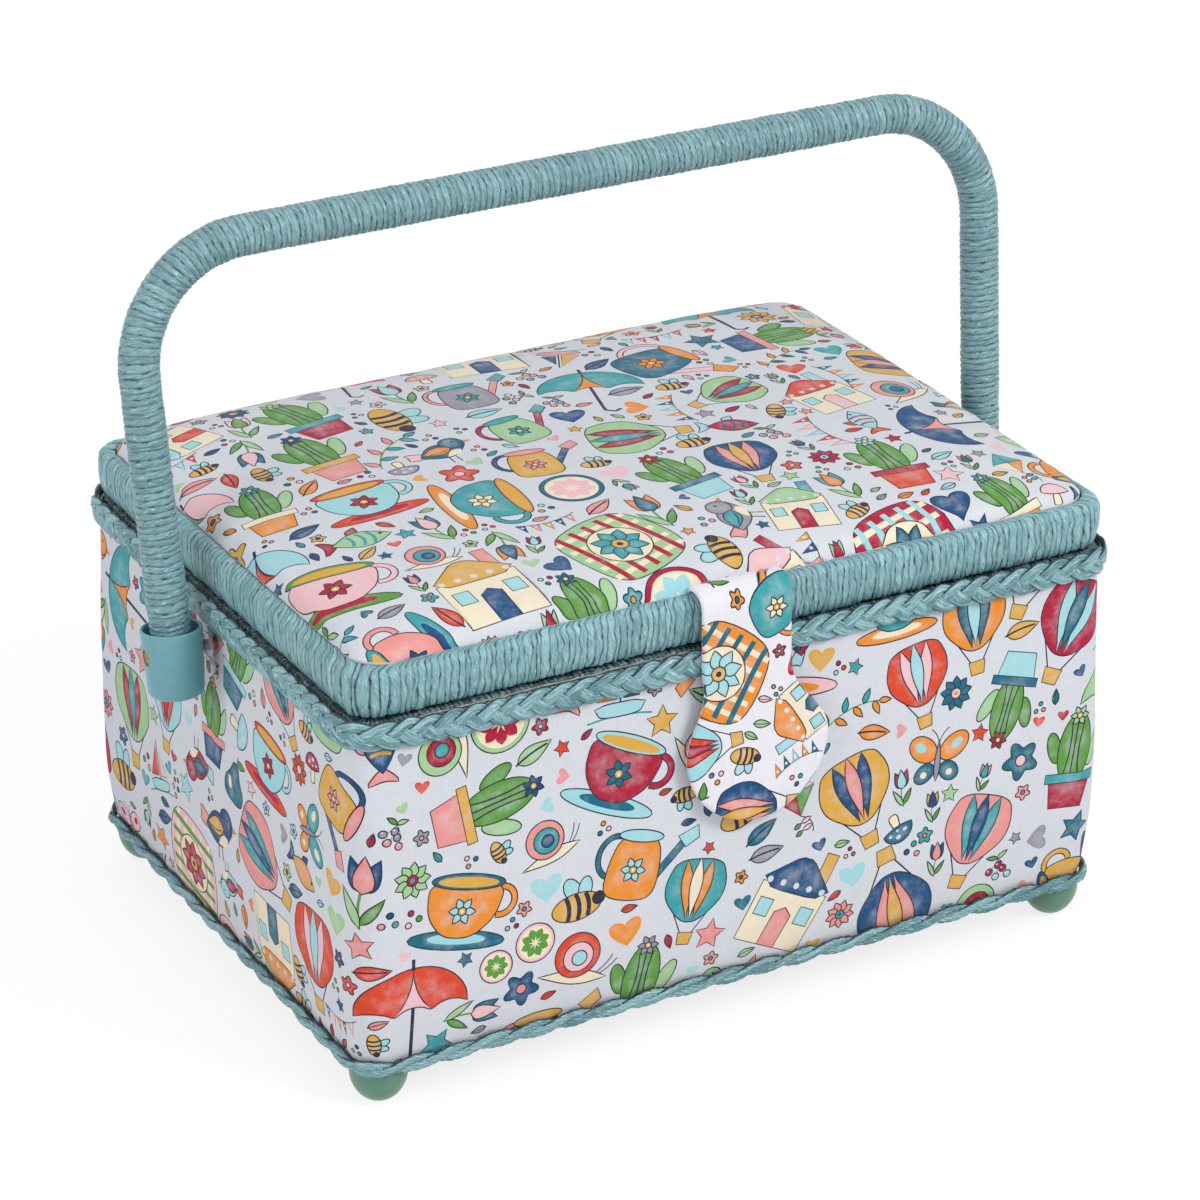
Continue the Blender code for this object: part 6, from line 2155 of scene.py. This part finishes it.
        def lift(flat: Array) -> Array:
            """The dome's place for a flat place."""
            share = np.hypot(flat[:, 0], flat[:, 1]) / reach
            turn = np.arctan2(flat[:, 1], flat[:, 0])
            out = radius * np.sin(np.clip(share, 0, 1) * math.pi / 2) ** 0.9
            drop = height * np.cos(np.clip(share, 0, 1) * math.pi / 2) ** 0.8
            gather = 0.0003 * np.cos(26 * turn) * smooth(share, 0.6, 0.9) * (1 - smooth(share, 0.96, 1))
            x, y = centre[0] + out * np.cos(turn), centre[1] - out * np.sin(turn)
            return np.stack([x, y, high.z - drop - gather], -1)

        def close(points: Array, faces: Array, _: Array) -> tuple[Array, list[Array], Array]:
            """A fan to the middle of the back."""
            edges = border_edges(faces)
            fan = np.stack([edges[:, 1], edges[:, 0], np.full(len(edges), len(points))], -1)
            everything = np.concatenate([points, [[*centre, high.z]]])
            return everything, [faces, fan], everything[fan].reshape(-1, 3)[:, :2]

        piece = cloth_piece("pin_pad", panel, border, inner, lift, close)
        return finish_piece(piece, "cloth", Body.LID, "pin_cushion", fill=0.9)

    def build(self) -> None:
        """Makes every piece of the lid."""
        for make in (self.whipping, self.pad, self.inside_lining, self.pocket, self.pin_pad):
            make()


@dataclass
class ClosingTab:
    """The cloth tab from inside the rim over its edge and down the front, thin and softly padded."""

    neck: float = 0.0150
    radius: float = 0.0240
    reach: float = 0.0740
    flare: float = 0.0225
    thickness: float = 0.0020
    lean_neck: float = -0.0030
    lean_paddle: float = 0.0012
    axis_y: float = -0.0921
    axis_z: float = 0.1438
    back_y: float = -0.0969
    foot_y: float = -0.0985
    bend: float = 0.0040

    def half_width(self, drop: Array) -> Array:
        """Half the tab's width below the rim's top: a straight neck, a cosine flare and a round end."""
        start = self.reach - self.radius
        share = np.clip((drop - (start - self.flare)) / self.flare, 0, 1)
        wide = self.neck + (self.radius - self.neck) * (1 - np.cos(math.pi * share)) / 2
        below = np.clip((drop - start) / self.radius, 0, 1)
        return np.where(drop <= start, wide, self.radius * np.sqrt(1 - below**2))

    def spine(self) -> Arrays:
        """The tab's back line by arc length, and its outward direction."""
        corner_y, corner_z = self.back_y + self.bend, self.axis_z - self.bend
        inside = [
            (self.axis_y + 0.0030, BOX.rim_top - 0.0012, 90.0),
            (self.axis_y + 0.0020, self.axis_z - 0.0001, 90.0),
            (self.axis_y, self.axis_z, 90.0),
        ]
        angle = np.linspace(90, 180, 13)
        round_y = corner_y + self.bend * np.cos(np.radians(angle))
        round_z = corner_z + self.bend * np.sin(np.radians(angle))
        share = np.linspace(0, 1, 40)[1:]
        down_y = self.back_y + (self.foot_y - self.back_y) * share
        down_z = corner_z + (BOX.rim_top - self.reach - corner_z) * share
        down = np.stack([down_y, down_z, np.full(len(share), 180.0)], -1)
        values = np.concatenate([inside, np.stack([round_y, round_z, angle], -1), down])
        run = np.concatenate([[0], np.cumsum(np.hypot(*np.diff(values[:, :2], axis=0).T))])
        angle = np.radians(values[:, 2])
        return run, values[:, 0], values[:, 1], np.cos(angle), np.sin(angle)

    def strap(self) -> Piece:
        """Both faces of the tab over one spine: the half-thickness is a rounded edge of the distance to the
        outline, plus a slight quilt."""
        run, y_line, z_line, y_out, z_out = self.spine()
        round_end = run[-1] - self.radius * (1 - np.sin(np.linspace(0, math.pi / 2, 34)))
        rows = np.concatenate([np.linspace(0, run[-1] - self.radius, 60), round_end])
        rows = np.unique(np.round(rows, 7))
        drop = BOX.rim_top - np.interp(rows, run, z_line)
        half = self.half_width(drop)
        right = np.stack([half[:-1], rows[:-1]], -1)
        left = np.stack([-half[:-1][::-1], rows[:-1][::-1]], -1)
        tip = np.array([[0.0, rows[-1]]])
        foot = np.stack([np.linspace(-self.neck, self.neck, 15)[1:-1], np.zeros(13)], -1)
        border = np.concatenate([foot, right, tip, left])
        inner = []
        for inset in (0.00015, 0.0005, 0.0011, 0.0019, 0.0032):
            inner.append(grown(border, -inset)[::1 if inset < 0.001 else 2])
        lines = np.arange(0.0022, rows[-1] - 0.0022, 0.0024)
        spots = np.stack(np.meshgrid(np.linspace(-1, 1, 21), lines), -1).reshape(-1, 2)
        width = np.interp(spots[:, 1], rows, half)
        spots[:, 0] *= np.maximum(width - 0.0045, 0.0002)
        inner.append(spots)
        panel = PrintPanel(
            (-self.radius, 0.0), (self.radius, rows[-1]), 77, throws=(14, 90, 320, 900),
            sizes=((0.026, 0.034), (0.016, 0.022), (0.0085, 0.013), (0.0045, 0.0065)),
        ).fill()
        flat, faces, colours = panel.cut(border, np.concatenate(inner))
        side = np.roll(border, -1, axis=0) - border
        offset = flat[:, None] - border[None]
        share = np.clip((offset * side[None]).sum(-1) / np.maximum((side**2).sum(-1), 1e-12), 0, 1)
        away = np.linalg.norm(flat[:, None] - (border[None] + share[..., None] * side[None]), axis=-1).min(1)
        edge = np.clip(away / 0.0012, 0, 1)
        thick = self.thickness / 2 * np.sqrt(1 - (1 - edge) ** 2)
        thick[away < 1e-6] = 0
        soft = Wobble(14)
        puff = 0.00016 * soft.plane(flat[:, 0] / 0.011, flat[:, 1] / 0.012) * smooth(away, 0.001, 0.005)
        stitch = -0.00012 * np.exp(-(((away - 0.0030) / 0.0005) ** 2))
        u, v = flat[:, 0], flat[:, 1]
        y, z = np.interp(v, run, y_line), np.interp(v, run, z_line)
        n_y, n_z = np.interp(v, run, y_out), np.interp(v, run, z_out)
        size = np.hypot(n_y, n_z)
        n_y, n_z = n_y / size, n_z / size
        curl = 0.0009 * (u / self.radius) ** 2 * smooth(v, 0.03, 0.06)
        lean = self.lean_neck + (self.lean_paddle - self.lean_neck) * smooth(v, 0.028, 0.058)
        made = []
        for sign, shaped in ((1, puff + stitch), (-1, 0 * puff)):
            off = self.thickness / 2 + sign * (thick + shaped) - curl * 0.6
            made.append(np.stack([u + lean, y + BOX.centre_y + n_y * off, z + n_z * off], -1))
        count = len(flat)
        back = faces[:, ::-1] + count
        joined = np.arange(2 * count)
        rim = np.unique(border_edges(faces))
        joined[rim + count] = rim
        back = joined[back]
        points = np.concatenate(made)
        used, inverse = np.unique(np.concatenate([faces, back]), return_inverse=True)
        uv = np.concatenate([flat[faces].reshape(-1, 2), flat[faces[:, ::-1]].reshape(-1, 2)])
        colours = np.concatenate([colours, unprinted(len(back) * 3)])
        triangles = inverse.reshape(-1, 3)[:, ::-1]
        piece = mesh_piece("closing_strap", points[used], triangles, turned(uv), turned(colours))
        face_out(piece)
        FINISHES.dress(piece, "tab cloth")
        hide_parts("tab_strap")
        start_y = self.axis_y + BOX.centre_y
        start, end = (0, start_y + 0.0024, self.axis_z), (0, start_y - 0.0030, self.axis_z)
        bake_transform(piece)
        LOG.info("closing_strap: %d points", len(used))
        return piece

    def build(self) -> None:
        """Makes the tab."""
        self.strap()


@dataclass
class Handle:
    """The swing handle: a tube of cord wound round a bent rod, and the two cups at its ends."""

    half_span: float = BOX.pivot_x
    splay: float = 0.0026
    rise: float = 0.1214
    corner: float = 0.0360
    lean: float = math.radians(7.1)
    radius: float = 0.0062
    start: float = 0.0040
    pitch: float = 0.00204
    groove: float = 0.00048
    mouth: float = 0.0094
    foot: float = 0.0085
    above: float = 0.0080
    below: float = 0.0134
    wall: float = 0.0011

    def leaned(self, points: Array) -> Array:
        """Turns upright points about the pivots' line, back by the lean, and puts them in the frame."""
        cos, sin = math.cos(self.lean), math.sin(self.lean)
        x, y, z = points[..., 0], points[..., 1], points[..., 2]
        return np.stack([x, y * cos + z * sin + BOX.centre_y, z * cos - y * sin + BOX.pivot_z], -1)

    def centre_line(self, run: Array) -> tuple[Array, Array, float]:
        """The rod's middle: two straight legs that splay, two quarter circles and a bar.

        Args:
            run: Distances from the left end.

        Returns:
            Places, outward directions, and the whole length.
        """
        half_top = self.half_span + self.splay
        leg_top = self.rise - self.corner
        leg, bend, bar = leg_top - self.start, self.corner * math.pi / 2, half_top - self.corner
        total = 2 * (leg + bend + bar)
        side = np.where(run > total / 2, 1.0, -1.0)
        near = np.where(run > total / 2, total - run, run)
        angle = np.clip((near - leg) / self.corner, 0, math.pi / 2)
        x = np.where(
            near <= leg,
            self.half_span + self.splay * (self.start + near) / leg_top,
            half_top - self.corner + self.corner * np.cos(angle) - np.maximum(near - leg - bend, 0),
        )
        z = np.where(near <= leg, self.start + near, leg_top + self.corner * np.sin(angle))
        places = np.stack([side * x, 0 * x, z], -1)
        outward = np.stack([side * np.cos(angle), 0 * x, np.sin(angle)], -1)
        return places, outward, total

    def winding(self) -> Piece:
        """The cord wound round the rod: the tube's radius falls into a groove between turns, and the turns
        climb by one pitch round the tube."""
        total = self.centre_line(np.zeros(1))[2]
        turns = round(total / self.pitch)
        steps, sides = turns * 12 + 1, 22
        rng = np.random.default_rng(23)
        marks = np.arange(turns + 1) + np.append(np.append(0, rng.normal(0, 0.13, turns - 1)), 0)
        run = np.linspace(0, total, steps)
        places, outward, _ = self.centre_line(run)
        angle = math.tau * np.arange(sides) / sides
        noise = Wobble(24)
        lay = run[:, None] / total * turns + angle[None, :] / math.tau
        lay = lay + 0.15 * noise.plane(run[:, None] / 0.004, angle[None, :] * 1.2)
        index = np.interp(lay, np.sort(marks), np.arange(turns + 1))
        phase = index - np.floor(index)
        turn = np.clip(np.floor(index).astype(int), 0, turns - 1)
        ridge = (1 - np.abs(2 * phase - 1) ** 2.4) ** 0.5
        uneven = rng.normal(0, 0.00006, turns)[turn]
        soft = 0.00007 * noise.plane(run[:, None] / 0.021 + 7, angle[None, :] * 1.1)
        reach = self.radius - self.groove + self.groove * ridge + uneven * ridge + soft
        across = np.array([0.0, 1.0, 0.0])
        spoke = outward[:, None, :] * np.cos(angle)[None, :, None] + across * np.sin(angle)[None, :, None]
        points = self.leaned(places[:, None, :] + spoke * reach[..., None])
        tint = np.clip(0.5 + 0.10 * rng.normal(0, 1, turns)[turn], 0, 1)
        near = 1 - np.abs(2 * phase - 1)
        ply = (phase + rng.uniform(0, 1, turns)[turn]) / 2
        # The strand attribute's height darkens the grooves between turns as painted shade.
        attribute = strand_rows(near, tint, ply)
        quads, spots = grid(steps, sides, False, True)
        flat = table(np.append(angle, math.tau) * self.radius, np.append(run, total))
        flat = flat.reshape(sides + 1, steps + 1, 2)
        flat = flat.transpose(1, 0, 2).reshape(-1, 2)
        piece = mesh_piece("wound_cord", points, quads, flat[spots], None, attribute)
        return finish_piece(piece, "handle cord", Body.HANDLE, "handle_winding")

    def cups(self) -> list[Piece]:
        """The plastic cups: a taper with a rounded foot and a thin mouth, turned on a lathe, with a sunk
        hole for the screw cut from outside."""
        wide = self.mouth - self.wall
        foot = arc(0.0026, (self.foot - 0.0026, -self.below + 0.0026), -90, 0, 10)
        lip = arc(0.00050, (self.mouth - 0.00055, self.above - 0.00055), 0, 90, 5)
        lip_in = arc(0.00050, (wide + 0.00050, self.above - 0.00055), 90, 180, 5)
        hollow = [(wide, 0.0037), (0.0044, 0.0037), (0.0044, -0.0103), (0, -0.0103)]
        profile = [(0, -self.below), *foot, *lip, *lip_in, *hollow]
        near, far = self.half_span - self.mouth, self.half_span + self.mouth
        sink = [(0, far - 0.0024), (0.0024, far - 0.0024), (0.0025, far - 0.0008), (0.0030, far + 0.0010)]
        sink.append((0, far + 0.0010))
        shaft = [(0, near - 0.001), (0.0014, near - 0.001), (0.0014, far - 0.002), (0, far - 0.002)]
        made = []
        for side, sign in (("left", -1), ("right", 1)):
            points, faces = lathe(profile, (sign * self.half_span, 0, 0), (0, 0, 1), 72)
            piece = mesh_piece(f"{side}_handle_cup", self.leaned(points), faces, sharp=35)
            for name, hole, steps in (("sink", sink, 32), ("shaft", shaft, 24)):
                points, faces = lathe(hole, (0, 0, 0), (sign, 0, 0), steps)
                self.cut(piece, mesh_piece(f"{side}_{name}", self.leaned(points), faces))
            baked(piece, 35)
            made.append(finish_piece(piece, "cup", Body.HANDLE, f"{side}_cup"))
        return made

    @staticmethod
    def cut(piece: Piece, cutter: Piece) -> None:
        """Takes the cutter's space out of the piece."""
        change = piece.modifiers.new(cutter.name, "BOOLEAN")
        change.solver = "EXACT"
        change.operation = "DIFFERENCE"
        change.object = cutter
        cutter.hide_render = True

    def build(self) -> None:
        """Makes the handle's pieces."""
        self.winding()
        self.cups()


@dataclass(frozen=True)
class KeptNodes:
    """The CAD nodes that keep their own shape and take a finish, by how their slot's name starts."""

    finishes: tuple[tuple[str, str], ...] = (
        ("board", "board"), ("base_sheet", "base"), ("lining_fabric", "tray"), ("brass", "brass"),
        ("steel", "steel"), ("magnet", "magnet"), ("tray_plastic", "tray"), ("paper_cord", "braid cord"),
        ("printed_fabric", "cloth"), ("wadding", "wadding"), ("cup_plastic", "cup"), ("foot_plastic", "foot"),
        ("clear_plastic", "clear"),
    )

    def dress(self) -> None:
        """Gives each node's object the finish of its record slot."""
        for name, node in sorted(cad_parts.items()):
            for material_slot in node.material_slots:
                slot = material_slot.material.name.split(".")[0] if material_slot.material else ""
                finish = next((finish for start, finish in self.finishes if slot.startswith(start)), "steel")
                material_slot.material = FINISHES.get(finish)
            LOG.info("%s keeps its shape", name)


@dataclass
class Studio:
    """The photograph's camera, a white floor that keeps a faint shadow, and soft lamps."""

    azimuth: float = -28.835
    elevation: float = 25.502
    roll: float = 0.179
    distance: float = 1.470576
    lens: float = 142.14
    shift_x: float = 0.002008
    shift_y: float = 0.006237
    base_z: float = 0.0172

    def camera(self) -> None:
        """Sets the camera at the photograph's angle: a point behind the aim along the view's direction."""
        azimuth, elevation, roll = (math.radians(a) for a in (self.azimuth, self.elevation, self.roll))
        level = math.cos(elevation)
        back = Vector((math.sin(azimuth) * level, -math.cos(azimuth) * level, math.sin(elevation)))
        right = Vector((math.cos(azimuth), math.sin(azimuth), 0))
        up = back.cross(right)
        turned_right = right * math.cos(roll) + up * math.sin(roll)
        turned_up = up * math.cos(roll) - right * math.sin(roll)
        aim = Vector((0, BOX.centre_y, 0.075 + self.base_z))
        eye = aim + back * self.distance + right * self.shift_x + up * self.shift_y
        turn = Matrix((turned_right, turned_up, back)).transposed().to_4x4()
        data = bpy.data.cameras.new("camera")
        data.lens, data.sensor_width, data.sensor_fit = self.lens, 36.0, "HORIZONTAL"
        made = bpy.data.objects.new("camera", data)
        made.matrix_world = Matrix.Translation(eye) @ turn
        bpy.context.scene.collection.objects.link(made)
        bpy.context.scene.camera = made

    def floor(self) -> None:
        """A wide white floor: plain for most rays. The camera's rays, and those off metal and through glass,
        see it glow, so that it reads white and still darkens in the basket's shadow."""
        tree = Tree("white floor")
        plain = tree.node("ShaderNodeBsdfDiffuse", {}, {"Color": (0.80, 0.80, 0.80, 1)})
        soft = tree.node("ShaderNodeBsdfDiffuse", {}, {"Color": (0.25, 0.25, 0.25, 1)})
        glow = tree.node("ShaderNodeEmission", {}, {"Color": (1, 1, 1, 1), "Strength": 0.81})
        both = tree.node("ShaderNodeAddShader", {}, {0: soft, 1: glow})
        material = tree.close(tree.node("ShaderNodeMixShader", {}, {0: tree.white_seen(), 1: plain, 2: both}))
        line = np.linspace(-14, 14, 9)
        x, y = np.meshgrid(line, line, indexing="ij")
        piece = mesh_piece("floor", np.stack([x, y, np.full_like(x, -0.0002)], -1), grid(9, 9)[0])
        piece.data.materials.append(material)

    def world(self) -> None:
        """White for the camera and for what shines or is clear, and an even sky for the rest."""
        tree = Tree("studio", world=True)
        sky = tree.node("ShaderNodeBackground", {}, {"Color": (0.97, 0.98, 1.0, 1), "Strength": 0.52})
        white = tree.node("ShaderNodeBackground", {}, {"Color": (1, 1, 1, 1), "Strength": 1.0})
        mixed = tree.node("ShaderNodeMixShader", {}, {0: tree.white_seen(), 1: sky, 2: white})
        bpy.context.scene.world = tree.close(mixed)

    def lamp(self, name: str, place: Floats, size: float, power: float) -> None:
        """A square soft lamp aimed at the basket's middle."""
        data = bpy.data.lights.new(name, "AREA")
        data.shape, data.size, data.energy = "SQUARE", size, power
        made = bpy.data.objects.new(name, data)
        made.location = place
        made.rotation_euler = (Vector((0, 0, 0.08)) - Vector(place)).to_track_quat("-Z", "Y").to_euler()
        bpy.context.scene.collection.objects.link(made)

    def build(self) -> None:
        """Sets the whole studio."""
        self.camera()
        self.floor()
        self.world()
        self.lamp("key", (0.9, -1.5, 1.5), 0.8, 24.0)
        self.lamp("left", (-1.7, -0.6, 0.9), 0.8, 10.0)
        self.lamp("top", (-0.3, 0.3, 2.2), 1.2, 4.0)
        bpy.context.scene.view_settings.view_transform = "Standard"


def main() -> None:
    """Builds the studio and the basket's groups in order."""
    logging.basicConfig(level=logging.INFO, format="%(name)s: %(message)s")
    Studio().build()
    KeptNodes().dress()
    for group in (BoxBody(), Lid(), ClosingTab(), Handle()):
        group.build()
        LOG.info("%s is made", type(group).__name__)


if __name__ == "__main__":
    main()
